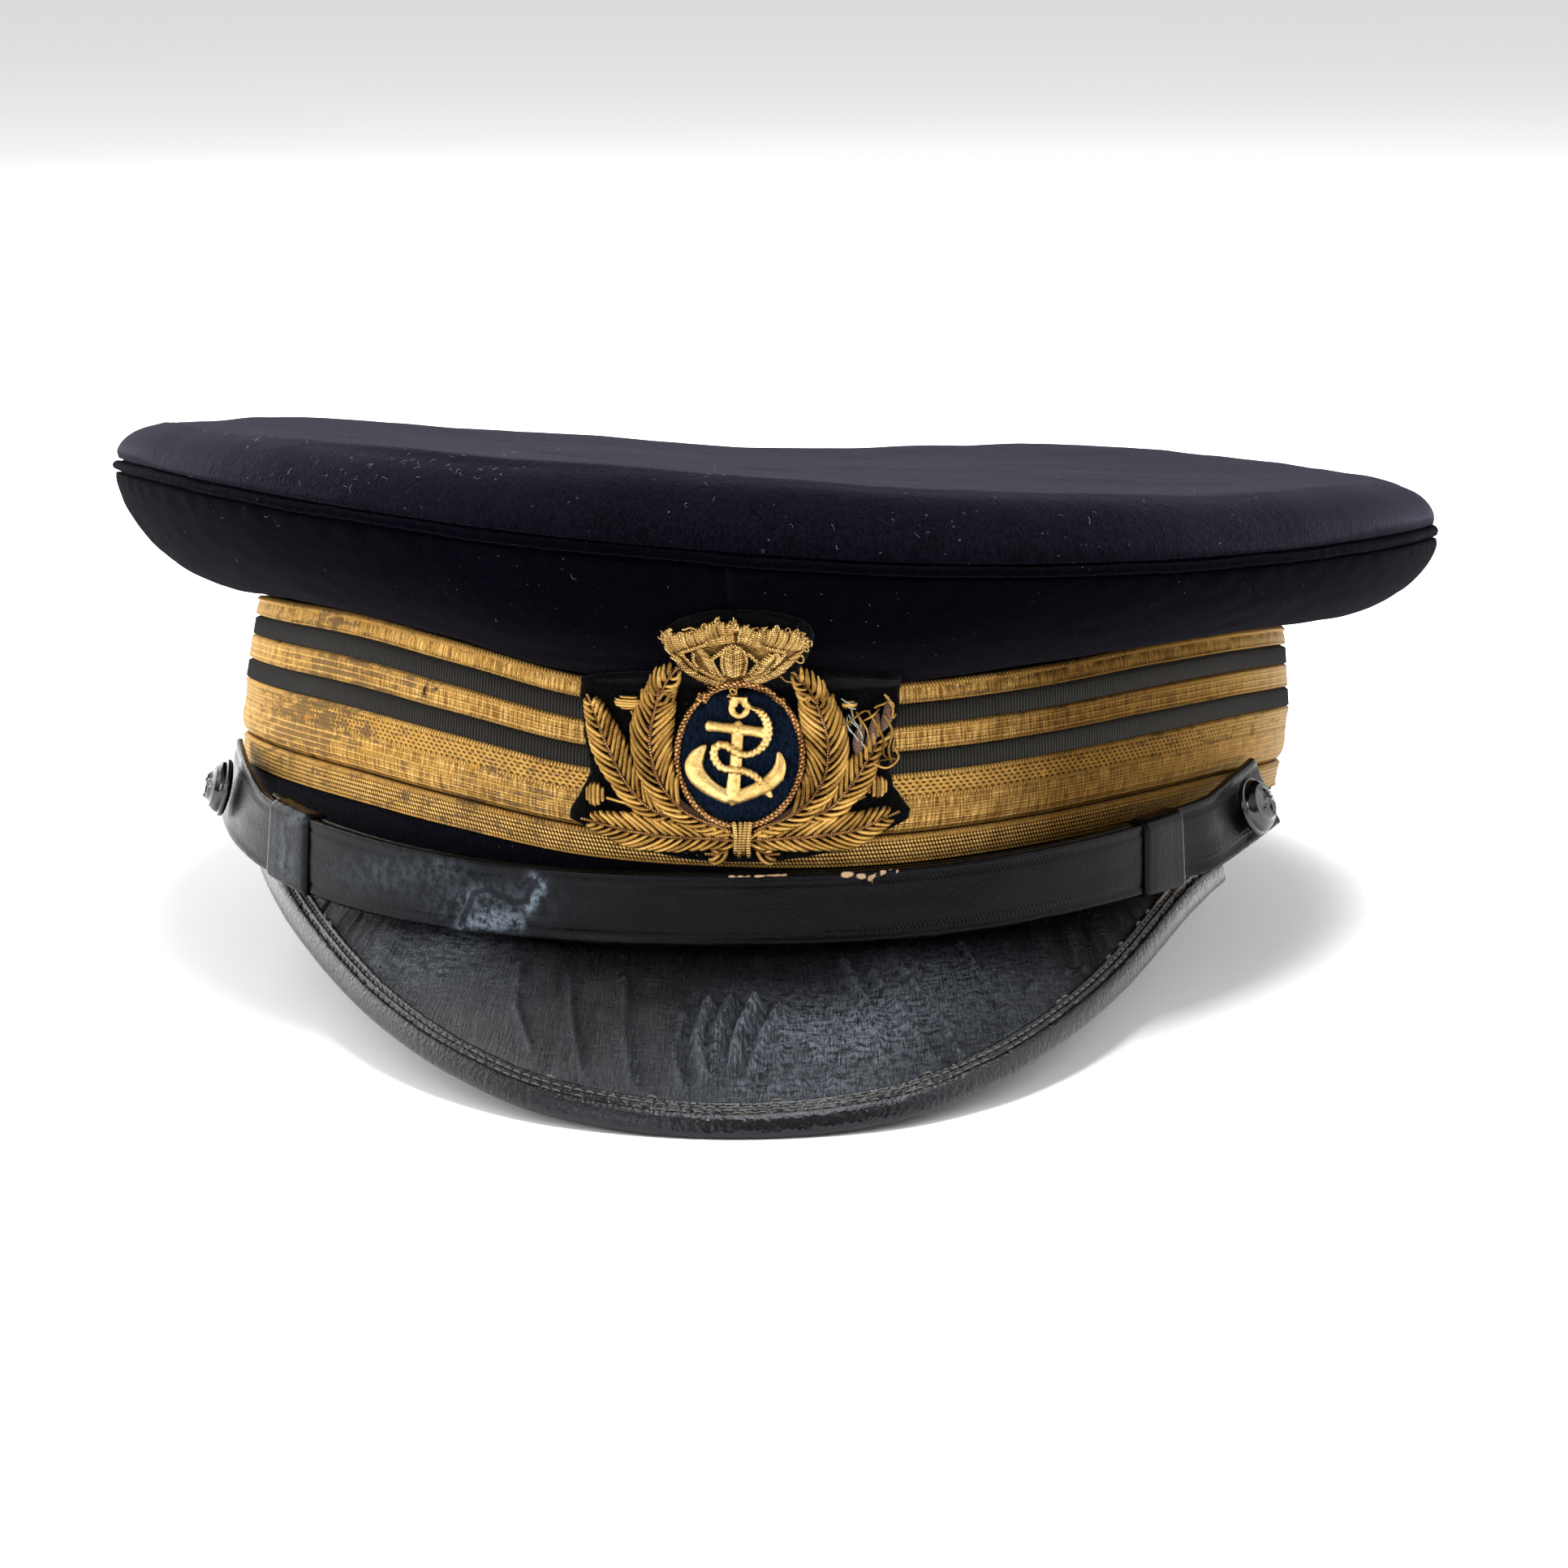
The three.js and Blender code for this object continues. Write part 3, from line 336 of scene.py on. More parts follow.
def tubes(paths, radii, sides, bulge=None, cap=True):
    """Joined tubes along paths of shape (k, n, 3). Returns vertices, faces and
    the along/round attribute. radii has shape (k, n)."""
    P = np.asarray(paths, float)
    k, n = P.shape[:2]
    T = np.gradient(P, axis=1)
    T /= np.linalg.norm(T, axis=2, keepdims=True) + 1e-12
    ref = np.tile(np.array([0.13, -1.0, 0.31]), (k, n, 1))
    A = np.cross(T, ref)
    A /= np.linalg.norm(A, axis=2, keepdims=True) + 1e-12
    B = np.cross(T, A)
    ph = np.arange(sides) / sides * 2 * np.pi
    R = np.asarray(radii, float)[:, :, None, None]
    V = P[:, :, None, :] + R * (np.cos(ph)[None, None, :, None] * A[:, :, None, :]
                                + np.sin(ph)[None, None, :, None] * B[:, :, None, :])
    seg = np.linalg.norm(np.diff(P, axis=1), axis=2)
    along = np.concatenate([np.zeros((k, 1)), np.cumsum(seg, 1)], 1)
    wv = np.zeros((k, n, sides, 3))
    wv[..., 0] = along[:, :, None]
    wv[..., 1] = ph[None, None, :]
    wv[..., 2] = (np.arange(k) * 0.618 % 1.0)[:, None, None]
    faces = []
    one = grid_faces(n, sides, False, True)
    for t in range(k):
        base = t * n * sides
        faces.extend((one + base).tolist())
        if cap:
            faces.append([base + q for q in range(sides)])
            faces.append([base + (n - 1) * sides + q for q in range(sides)][::-1])
    return V.reshape(-1, 3), faces, wv.reshape(-1, 3)


# ---------------------------------------------------------------- materials
class Tree:
    """Short hand for building a node material."""

    def __init__(self, name):
        self.mat = bpy.data.materials.new(name)
        self.mat.use_nodes = True
        self.nt = self.mat.node_tree
        self.nt.nodes.clear()
        self.out = self.nt.nodes.new('ShaderNodeOutputMaterial')
        self.bsdf = self.nt.nodes.new('ShaderNodeBsdfPrincipled')
        self.nt.links.new(self.bsdf.outputs[0], self.out.inputs[0])
        self.obj = self.nt.nodes.new('ShaderNodeTexCoord').outputs['Object']

    def put(self, value, socket):
        if hasattr(value, 'is_output'):
            self.nt.links.new(value, socket)
        elif isinstance(value, (tuple, list)) and len(value) == 3 and len(getattr(socket, 'default_value', (0,))) == 4:
            socket.default_value = (*value, 1.0)
        else:
            socket.default_value = value

    def m(self, op, a, b=None, c=None, clamp=False):
        n = self.nt.nodes.new('ShaderNodeMath')
        n.operation, n.use_clamp = op, clamp
        for v, s in zip((a, b, c), n.inputs):
            if v is not None:
                self.put(v, s)
        return n.outputs[0]

    def add(self, a, b): return self.m('ADD', a, b)
    def sub(self, a, b): return self.m('SUBTRACT', a, b)
    def mul(self, a, b): return self.m('MULTIPLY', a, b)
    def step(self, a, lo, hi): return self.map(a, lo, hi, 0.0, 1.0)

    def map(self, v, a, b, c, d, soft=True):
        n = self.nt.nodes.new('ShaderNodeMapRange')
        n.interpolation_type = 'SMOOTHSTEP' if soft else 'LINEAR'
        for x, s in zip((v, a, b, c, d), n.inputs):
            self.put(x, s)
        return n.outputs[0]

    def mix(self, f, a, b, blend='MIX'):
        n = self.nt.nodes.new('ShaderNodeMix')
        n.data_type, n.blend_type, n.clamp_factor = 'RGBA', blend, True
        self.put(f, n.inputs[0])
        self.put(a, n.inputs[6])
        self.put(b, n.inputs[7])
        return n.outputs[2]

    def scale(self, v, s):
        n = self.nt.nodes.new('ShaderNodeVectorMath')
        n.operation = 'MULTIPLY'
        self.put(v, n.inputs[0])
        n.inputs[1].default_value = s
        return n.outputs[0]

    def shift(self, v, s):
        n = self.nt.nodes.new('ShaderNodeVectorMath')
        n.operation = 'ADD'
        self.put(v, n.inputs[0])
        self.put(s, n.inputs[1])
        return n.outputs[0]

    def noise(self, v, scale, detail=2.0, rough=0.5, dist=0.0, out=0):
        n = self.nt.nodes.new('ShaderNodeTexNoise')
        self.put(v, n.inputs['Vector'])
        n.inputs['Scale'].default_value = scale
        n.inputs['Detail'].default_value = detail
        n.inputs['Roughness'].default_value = rough
        n.inputs['Distortion'].default_value = dist
        return n.outputs[out]

    def cells(self, v, scale, feature='F1', out='Distance', rand=1.0):
        n = self.nt.nodes.new('ShaderNodeTexVoronoi')
        n.feature = feature
        self.put(v, n.inputs['Vector'])
        n.inputs['Scale'].default_value = scale
        n.inputs['Randomness'].default_value = rand
        return n.outputs[out]

    def ramp(self, f, stops):
        n = self.nt.nodes.new('ShaderNodeValToRGB')
        r = n.color_ramp
        while len(r.elements) < len(stops):
            r.elements.new(0.5)
        for e, (p, c) in zip(r.elements, stops):
            e.position, e.color = p, (*c, 1.0)
        self.put(f, n.inputs[0])
        return n.outputs[0]

    def attr(self, name):
        n = self.nt.nodes.new('ShaderNodeAttribute')
        n.attribute_name = name
        s = self.nt.nodes.new('ShaderNodeSeparateXYZ')
        self.nt.links.new(n.outputs['Vector'], s.inputs[0])
        return n.outputs['Vector'], s.outputs[0], s.outputs[1], s.outputs[2]

    def value(self, name):
        n = self.nt.nodes.new('ShaderNodeAttribute')
        n.attribute_name = name
        return n.outputs['Fac']

    def bump(self, h, strength, dist, normal=None):
        n = self.nt.nodes.new('ShaderNodeBump')
        n.inputs['Strength'].default_value = strength
        n.inputs['Distance'].default_value = dist
        self.put(h, n.inputs['Height'])
        if normal is not None:
            self.put(normal, n.inputs['Normal'])
        return n.outputs[0]

    def done(self, color, rough, normal=None, **const):
        b = self.bsdf
        self.put(color, b.inputs['Base Color'])
        self.put(rough, b.inputs['Roughness'])
        if normal is not None:
            self.put(normal, b.inputs['Normal'])
        for k, v in const.items():
            b.inputs[k.replace('_', ' ')].default_value = v
        return self.mat


def felt_material(name, dark, light, sheen=0.55, tint=(0.55, 0.55, 0.72), lint=0.5, nap=1.0, spec=0.04):
    T = Tree(name)
    broad = T.noise(T.obj, 38, 3, 0.55)
    soft = T.noise(T.obj, 420, 3, 0.6)
    fibre = T.noise(T.scale(T.obj, (1.0, 1.0, 0.32)), 3600, 3, 0.7, 0.6)
    f = T.add(T.mul(broad, 0.40), T.add(T.mul(soft, 0.30), T.mul(T.map(fibre, 0.3, 0.7, 0.0, 1.0), 0.50)))
    col = T.ramp(f, [(0.42, dark), (0.74, light)])
    dots = T.cells(T.obj, 620)
    keep = T.step(T.noise(T.obj, 90, 2, 0.5), 0.44, 0.62)
    spot = T.mul(T.map(dots, 0.03, 0.10, 1.0, 0.0), keep)
    col = T.mix(T.mul(spot, lint), col, (0.16, 0.155, 0.17))
    h = T.add(T.mul(fibre, 0.7), T.mul(T.noise(T.obj, 1500, 2, 0.5), 0.5))
    n = T.bump(h, 0.85 * nap, 0.00026)
    n = T.bump(soft, 0.25 * nap, 0.0006, n)
    return T.done(col, 1.0, n, Sheen_Weight=sheen, Sheen_Roughness=0.32, Sheen_Tint=(*tint, 1.0), Specular_IOR_Level=spec)


SEEDS = 1128
SEED_P = arc_turns(4)[2] / SEEDS
SEED_Q, MESH_Q = 0.60, 0.56

# Laces: zones across the lace from its lower edge, v in mm, and their weave.
GOLD_STOPS = [(0.06, (0.014, 0.005, 0.001)), (0.38, (0.135, 0.063, 0.013)), (0.68, (0.40, 0.228, 0.060)), (1.0, (0.80, 0.54, 0.21))]


def lace_material(name, zones):
    T = Tree(name)
    vec, u, v, tarn = T.attr('wv')
    weft = T.noise(T.scale(vec, (3.9, 0.30, 0.0)), 1.0, 3, 0.66)
    grain = T.noise(T.scale(vec, (8.5, 4.5, 0.0)), 1.0, 2, 0.6)
    slub = T.noise(T.scale(vec, (0.42, 0.16, 0.0)), 1.0, 3, 0.6)
    block = T.noise(T.scale(vec, (0.24, 0.95, 0.0)), 1.0, 3, 0.6)

    def brick(p, q, v0, slant=0.0):
        vv = T.m('DIVIDE', T.sub(v, v0), q)
        row = T.m('FLOOR', vv)
        odd = T.mul(T.m('MODULO', T.add(row, 64.0), 2.0), 0.5)
        cy = T.sub(T.m('FRACT', T.add(vv, 64.0)), 0.5)
        cu = T.add(T.add(T.m('DIVIDE', u, p), odd), T.mul(cy, slant))
        cx = T.sub(T.m('FRACT', cu), 0.5)
        return cx, cy

    bright, height, bare = None, None, None
    for lo, hi, kind in zones:
        here = T.mul(T.step(v, lo - 0.05, lo + 0.05), T.map(v, hi - 0.05, hi + 0.05, 1.0, 0.0))
        keep = 0.0
        if kind == 'plain' or kind == 'lines':
            b = T.add(-0.60, T.add(T.mul(weft, 1.50), T.mul(grain, 0.86)))
            h = T.mul(weft, 0.5)
            if kind == 'lines':
                lv = T.m('FRACT', T.m('DIVIDE', T.sub(v, lo), 0.92))
                line = T.map(T.m('ABSOLUTE', T.sub(lv, 0.5)), 0.05, 0.24, 1.0, 0.0)
                keep = line
                b = T.add(b, T.mul(T.sub(line, 0.3), 0.17))
                h = T.add(h, T.mul(line, 0.6))
        elif kind == 'bead':
            cx, cy = brick(SEED_P, 4.0, lo)
            ridge = T.map(T.m('ABSOLUTE', cx), 0.08, 0.5, 1.0, 0.0)
            b = T.add(0.20, T.add(T.mul(ridge, 0.32), T.mul(grain, 0.44)))
            h = ridge
        elif kind == 'cord':
            ph = T.add(T.mul(u, 2 * math.pi / SEED_P), T.mul(v, 5.0))
            tw = T.add(0.5, T.mul(T.m('SINE', ph), 0.5))
            b = T.add(0.26, T.add(T.mul(tw, 0.26), T.mul(grain, 0.42)))
            h = tw
        elif kind == 'mesh':
            cx, cy = brick(2 * SEED_P, MESH_Q, lo, 0.25)
            r = T.m('SQRT', T.add(T.m('POWER', T.mul(cx, 2.1), 2.0), T.m('POWER', T.mul(cy, 2.3), 2.0)))
            r = T.add(r, T.mul(T.sub(grain, 0.5), 0.7))
            hole = T.map(r, 0.10, 0.85, 1.0, 0.0)
            b = T.sub(T.add(0.24, T.add(T.mul(grain, 0.46), T.mul(weft, 0.30))), T.mul(hole, 0.36))
            h = T.sub(1.0, hole)
        else:
            cx, cy = brick(SEED_P, SEED_Q, lo, 0.45)
            r = T.m('SQRT', T.add(T.m('POWER', T.mul(cx, 2.2), 2.0), T.m('POWER', T.mul(cy, 1.8), 2.0)))
            seed = T.map(r, 0.45, 1.25, 1.0, 0.0)
            b = T.add(-0.02, T.add(T.mul(seed, 0.70), T.mul(grain, 0.26)))
            h = seed
        b, h = T.mul(b, here), T.mul(h, here)
        bright = b if bright is None else T.add(bright, b)
        height = h if height is None else T.add(height, h)
        k = T.mul(keep, here)
        bare = k if bare is None else T.add(bare, k)
    bright = T.add(bright, T.mul(T.sub(slub, 0.5), 0.30))
    col = T.ramp(bright, GOLD_STOPS)
    # tarnish: grey-brown, in upright streaks and blocks, less on the raised lines
    streak = T.noise(T.scale(vec, (1.6, 0.25, 0.0)), 1.0, 4, 0.7)
    patchy = T.add(T.mul(T.map(streak, 0.30, 0.70, -0.5, 0.5), 0.42), T.mul(T.map(block, 0.32, 0.68, -0.5, 0.5), 0.62))
    dirt = T.mul(T.map(T.add(T.mul(tarn, 0.62), patchy), 0.22, 0.58, 0.0, 1.0), T.sub(1.0, T.mul(bare, 0.75)))
    grey = T.mix(T.add(T.mul(weft, 0.8), T.mul(grain, 0.5)), (0.020, 0.011, 0.005), (0.150, 0.092, 0.050))
    col = T.mix(T.mul(dirt, 0.90), col, grey)
    # painted shade: the gold is multiplied darker where the mask from lace_piece says, towards the right and at the
    # back
    col = T.mix(T.value('painted_shade'), col, (0.22, 0.185, 0.135), 'MULTIPLY')
    spot = T.value('spot')
    col = T.mix(T.map(T.mul(spot, T.add(0.5, grain)), 0.30, 0.9, 0.0, 0.62), col, (0.46, 0.20, 0.020))
    hole = T.value('hole')
    col = T.mix(T.map(hole, 0.25, 0.6, 0.0, 1.0), col, (0.012, 0.009, 0.007))
    n = T.bump(height, 0.9, 0.00022)
    n = T.bump(T.add(weft, grain), 0.45, 0.00014, n)
    T.put(T.map(dirt, 0.0, 1.0, 0.72, 0.74), T.bsdf.inputs['Metallic'])
    return T.done(col, T.map(dirt, 0.0, 1.0, 0.40, 0.50), n, Specular_IOR_Level=0.12, Specular_Tint=(0.80, 0.62, 0.36, 1.0))


def ribbon_material():
    T = Tree('grosgrain')
    vec, u, v, w = T.attr('wv')
    ph = T.m('ABSOLUTE', T.sub(T.m('FRACT', T.m('DIVIDE', u, w)), 0.5))
    rib = T.map(ph, 0.05, 0.5, 1.0, 0.0)
    th = T.noise(T.scale(vec, (3.0, 9.0, 0.0)), 1.0, 3, 0.6)
    col = T.mix(T.add(T.mul(rib, 0.75), T.mul(th, 0.35)), (0.0006, 0.0005, 0.0005), (0.034, 0.031, 0.027))
    n = T.bump(rib, 1.0, 0.00028)
    n = T.bump(th, 0.3, 0.0001, n)
    return T.done(col, 0.80, n, Specular_IOR_Level=0.07, Sheen_Weight=0.01)


def wire_material(name, stops, rough, coil=0.30, gaps=0.35):
    """Coiled wire: wv is along the strand in mm, round it, and a number per strand."""
    T = Tree(name)
    vec, u, ph, pick = T.attr('wv')
    turn = T.add(0.5, T.mul(T.m('SINE', T.add(T.mul(u, 2 * math.pi / coil), ph)), 0.5))
    age = T.noise(T.obj, 260, 3, 0.6)
    fine = T.noise(T.obj, 3800, 2, 0.6)
    b = T.add(T.add(T.mul(turn, gaps), T.mul(T.sub(pick, 0.5), 0.22)), T.add(T.mul(age, 0.55), T.mul(fine, 0.28)))
    col = T.ramp(b, stops)
    n = T.bump(turn, 0.6, 0.00008)
    n = T.bump(fine, 0.35, 0.00008, n)
    return T.done(col, T.map(age, 0.3, 0.7, rough - 0.08, rough + 0.12), n, Metallic=0.92)


def leather_visor():
    T = Tree('visor_leather')
    vec, u, v, scuff_and_highlight = T.attr('wv')
    crack = T.noise(T.scale(vec, (2.6, 0.22, 0.0)), 1.0, 5, 0.68, 0.35)
    cross = T.noise(T.scale(vec, (0.45, 1.6, 0.0)), 1.0, 4, 0.65, 0.6)
    grain = T.cells(T.obj, 1300)
    soft = T.noise(T.obj, 55, 3, 0.6)
    lines = T.map(T.m('ABSOLUTE', T.sub(crack, 0.5)), 0.0, 0.035, 1.0, 0.0)
    col = T.mix(T.map(soft, 0.35, 0.7, 0.0, 1.0), (0.0004, 0.0004, 0.0006), (0.0018, 0.0018, 0.0024))
    col = T.mix(T.mul(lines, 0.16), col, (0.030, 0.031, 0.036))
    fleck = T.add(T.mul(cross, 0.5), T.mul(T.noise(T.scale(vec, (3.6, 0.5, 0.0)), 1.0, 4, 0.7), 0.5))
    # scuffing and painted highlight: the mask lightens the skin to a pale blue grey where it is worn and where light
    # catches the gloss
    col = T.mix(T.mul(scuff_and_highlight, T.map(fleck, 0.42, 0.58, 0.0, 1.0)), col, (0.125, 0.137, 0.164))
    dust = T.mul(T.map(T.cells(T.obj, 520), 0.02, 0.07, 1.0, 0.0), T.step(T.noise(T.obj, 70, 2, 0.5), 0.48, 0.62))
    col = T.mix(T.mul(dust, 0.35), col, (0.20, 0.17, 0.13))
    n = T.bump(crack, 1.0, 0.0011)
    n = T.bump(lines, 0.45, 0.0002, n)
    n = T.bump(T.mul(cross, T.add(0.35, scuff_and_highlight)), 0.8, 0.0006, n)
    n = T.bump(grain, 0.22, 0.00016, n)
    rough = T.add(T.map(soft, 0.3, 0.7, 0.20, 0.29), T.add(T.mul(crack, 0.07), T.mul(scuff_and_highlight, 0.05)))
    return T.done(col, rough, n, Specular_IOR_Level=0.30, Specular_Tint=(0.80, 0.90, 1.0, 1.0))


def leather_bound():
    T = Tree('bound_leather')
    vec, u, v, w = T.attr('wv')            # along, across, tan scuffs
    fine = T.noise(T.scale(vec, (1.1, 2.4, 0.0)), 1.0, 4, 0.7)
    grain = T.cells(T.obj, 1500)
    col = T.mix(T.map(fine, 0.35, 0.7, 0.0, 1.0), (0.0005, 0.0005, 0.0007), (0.0022, 0.0021, 0.0024))
    speck = T.map(T.add(T.noise(T.obj, 1900, 3, 0.7), T.mul(w, 0.22)), 0.70, 0.80, 0.0, 1.0)
    col = T.mix(T.mul(speck, 0.30), col, (0.10, 0.085, 0.070))
    tan = T.map(T.add(T.mul(w, 0.75), T.mul(fine, 0.6)), 0.72, 0.92, 0.0, 1.0)
    col = T.mix(T.mul(tan, 0.85), col, (0.20, 0.155, 0.105))
    n = T.bump(fine, 0.5, 0.0004)
    n = T.bump(grain, 0.4, 0.0002, n)
    return T.done(col, T.map(fine, 0.3, 0.7, 0.15, 0.28), n, Specular_IOR_Level=0.24, Specular_Tint=(0.90, 0.94, 1.0, 1.0))


def leather_strap(name='strap_leather'):
    T = Tree(name)
    vec, u, v, w = T.attr('wv')            # along, up from the lower edge, hatch mask
    soft = T.noise(T.obj, 75, 3, 0.6)
    fine = T.noise(T.scale(vec, (1.2, 6.0, 0.0)), 1.0, 3, 0.65)
    grain = T.cells(T.obj, 1700)
    col = T.mix(T.map(soft, 0.35, 0.7, 0.0, 1.0), (0.0010, 0.0010, 0.0013), (0.0034, 0.0032, 0.0038))
    # slanted dents in a row near each edge
    hatch = None
    for at in (2.0, 9.0):
        band = T.map(T.m('ABSOLUTE', T.sub(v, at)), 0.40, 0.60, 1.0, 0.0)
        cut = T.m('ABSOLUTE', T.sub(T.m('FRACT', T.add(T.mul(u, 1.5), T.mul(v, 0.7))), 0.5))
        d = T.mul(T.mul(band, T.map(cut, 0.10, 0.26, 1.0, 0.0)), w)
        hatch = d if hatch is None else T.add(hatch, d)
    col = T.mix(T.mul(hatch, 0.85), col, (0.003, 0.003, 0.003))
    scuff = T.value('scuff')
    col = T.mix(T.mul(scuff, T.map(T.noise(T.obj, 700, 5, 0.75), 0.38, 0.62, 0.05, 1.0)), col, (0.150, 0.185, 0.225))
    torn = T.value('torn')
    col = T.mix(T.map(torn, 0.35, 0.6, 0.0, 1.0), col, (0.42, 0.28, 0.17))
    inked = T.value('inked')
    col = T.mix(T.map(inked, 0.2, 0.7, 0.0, 0.9), col, (0.006, 0.007, 0.010))
    n = T.bump(T.m('SUBTRACT', 1.0, hatch), 0.8, 0.00035)
    n = T.bump(grain, 0.22, 0.00012, n)
    n = T.bump(fine, 0.18, 0.00020, n)
    rough = T.add(T.map(soft, 0.3, 0.7, 0.20, 0.32), T.mul(scuff, 0.2))
    return T.done(col, rough, n, Specular_IOR_Level=0.07, Specular_Tint=(0.90, 0.93, 1.0, 1.0))


def button_material():
    T = Tree('button_black')
    f = T.noise(T.obj, 900, 3, 0.6)
    col = T.mix(f, (0.0010, 0.0010, 0.0013), (0.0035, 0.0035, 0.0042))
    n = T.bump(f, 0.12, 0.0001)
    return T.done(col, T.map(f, 0.3, 0.7, 0.08, 0.16), n, Specular_IOR_Level=0.55)


def gilt_material():
    T = Tree('gilt')
    a = T.noise(T.obj, 300, 4, 0.65)
    b = T.noise(T.obj, 2600, 3, 0.65)
    f = T.add(T.mul(a, 0.6), T.mul(b, 0.45))
    col = T.ramp(f, [(0.30, (0.20, 0.105, 0.025)), (0.50, (0.56, 0.365, 0.120)), (0.75, (0.88, 0.66, 0.30))])
    pits = T.map(T.cells(T.obj, 1500), 0.05, 0.20, 1.0, 0.0)
    col = T.mix(T.mul(pits, T.step(a, 0.5, 0.62)), col, (0.16, 0.09, 0.03))
    n = T.bump(b, 0.5, 0.00012)
    n = T.bump(a, 0.35, 0.0003, n)
    return T.done(col, T.map(f, 0.3, 0.8, 0.50, 0.30), n, Metallic=0.9)


def thread_material(name, a, b):
    T = Tree(name)
    vec, u, ph, pick = T.attr('wv')
    tw = T.add(0.5, T.mul(T.m('SINE', T.add(T.mul(u, 14.0), T.mul(ph, 2.0))), 0.5))
    f = T.add(T.mul(tw, 0.5), T.mul(T.noise(T.obj, 900, 3, 0.6), 0.5))
    n = T.bump(tw, 0.5, 0.0001)
    return T.done(T.mix(f, a, b), 0.7, n, Sheen_Weight=0.2)


NAVY = felt_material('navy_felt', (0.0001, 0.0001, 0.0004), (0.0026, 0.0020, 0.0056), sheen=0.078, tint=(0.76, 0.71, 1.0))
# a darker, less sheeny copy of the felt above: painted shade for the crown's sides and welt, which face down and away
# from the lamps
SHADED_SIDE_NAVY = felt_material('navy_felt_shaded_side', (0.0001, 0.0001, 0.0004), (0.0007, 0.0005, 0.0020), sheen=0.017, tint=(0.80, 0.76, 1.0), lint=0.35, spec=0.015)
BAND_NAVY = felt_material('band_felt', (0.0005, 0.0004, 0.0012), (0.0034, 0.0028, 0.0064), sheen=0.05, tint=(0.8, 0.76, 1.0))
PATCH_FELT = felt_material('patch_felt', (0.0004, 0.0004, 0.0005), (0.0026, 0.0026, 0.0030), sheen=0.04, tint=(0.8, 0.8, 0.8), lint=0.3)
FIELD_FELT = felt_material('field_felt', (0.0008, 0.0020, 0.0050), (0.0040, 0.0088, 0.0200), sheen=0.07, tint=(0.5, 0.65, 1.0), lint=0.2, nap=1.3)
VISOR_SKIN = leather_visor()
BOUND_SKIN = leather_bound()
STRAP_SKIN = leather_strap()
BUTTON = button_material()
GILT = gilt_material()
BULLION = wire_material('gold_bullion', [(0.16, (0.035, 0.014, 0.003)), (0.42, (0.24, 0.125, 0.026)), (0.68, (0.64, 0.385, 0.100)), (0.95, (0.97, 0.72, 0.30))], 0.32, coil=0.15, gaps=0.20)
CROWN_WIRE = wire_material('crown_bullion', [(0.20, (0.028, 0.012, 0.004)), (0.50, (0.22, 0.122, 0.032)), (0.80, (0.60, 0.375, 0.120)), (1.0, (0.95, 0.72, 0.34))], 0.36, coil=0.36, gaps=0.45)
COPPER = wire_material('copper_wire', [(0.20, (0.026, 0.009, 0.003)), (0.52, (0.165, 0.072, 0.022)), (0.80, (0.50, 0.275, 0.105)), (1.0, (0.90, 0.62, 0.30))], 0.36, coil=0.55, gaps=0.4)
BROWN_THREAD = thread_material('brown_thread', (0.008, 0.006, 0.004), (0.062, 0.046, 0.029))
LINT_HAIR = thread_material('lint', (0.10, 0.098, 0.105), (0.28, 0.275, 0.285))
GREEN_THREAD = thread_material('pale_thread', (0.20, 0.26, 0.22), (0.55, 0.60, 0.50))
RUST_PAD = thread_material('padding', (0.030, 0.012, 0.005), (0.150, 0.068, 0.032))

# -------------------------------------------------------------------- camera
cam_data = bpy.data.cameras.new('camera')
cam_data.sensor_width = 36.0
cam_data.lens = CAM_F / 1932 * 36.0
cam_data.clip_start, cam_data.clip_end = 0.05, 20.0
camera = bpy.data.objects.new('camera', cam_data)
camera.location = Vector(((CAM_AT - ORIGIN) / 1000).tolist())
camera.rotation_euler = (math.pi / 2 - CAM_PITCH, 0.0, CAM_HEAD)
scene.collection.objects.link(camera)
scene.camera = camera

# --------------------------------------------------------------- the crown
def side_piece(name, lo, hi, flip):
    n, seam_in = 361, 1.4
    a = np.linspace(lo, hi, n)[:, None]
    rows = 46
    t = (1 - np.cos(np.linspace(0, 1, rows) * np.pi * 0.5)) * 0.35 + np.linspace(0, 1, rows) * 0.65
    t = t[None, :]
    base = crown_side(a, t, 0.0)
    inner = crown_side(a, t, CLOTH)
    out = base - inner
    out /= np.linalg.norm(out, axis=2, keepdims=True)
    A = np.broadcast_to(a, (n, rows))
    arc = A * 1.95
    d = 0.30 * fbm(arc / 34, t * 2.2 + 3, 1, 3) + 0.09 * fbm(arc / 7, t * 7, 4, 2)
    # edges at the front and back seams and at the welt turn in
    from_end = np.minimum(A - lo, hi - A) * 1.75
    d = d * smooth(from_end, 0, 6) - 0.95 * np.exp(-(from_end / 0.75) ** 2) + 0.20 * np.exp(-((from_end - 2.6) / 1.4) ** 2)
    d = d - 0.15 * smooth(t, 0.965, 1.0)
    pucker = 0.10 * np.sin(arc * 0.9 + 2.2 * noise(arc / 9, 0 * arc, 8)) * np.exp(-((t - 0.95) / 0.05) ** 2)
    P = base + out * (d + pucker)[..., None]
    back = inner[:, ::4][:, ::-1]
    Q = np.concatenate([P, back], 1)
    u = np.concatenate([arc, arc[:, ::4][:, ::-1]], 1)
    v = np.concatenate([np.broadcast_to(t, (n, rows)), np.broadcast_to(t, (n, rows))[:, ::4][:, ::-1]], 1) * 30
    # the sides take the darker copy of the felt, as painted shade
    return bar_piece(name, Q, SHADED_SIDE_NAVY, {'wv': np.stack([u, v, 0 * u], -1)}, (name[5:] if name.startswith('felt_') else name,))


SEAM, SLIT = 0.2, 0.0
side_piece('felt_crown_side_left', SEAM - 180 + SLIT, SEAM - SLIT, False)
side_piece('felt_crown_side_right', SEAM + SLIT, SEAM + 180 - SLIT, True)


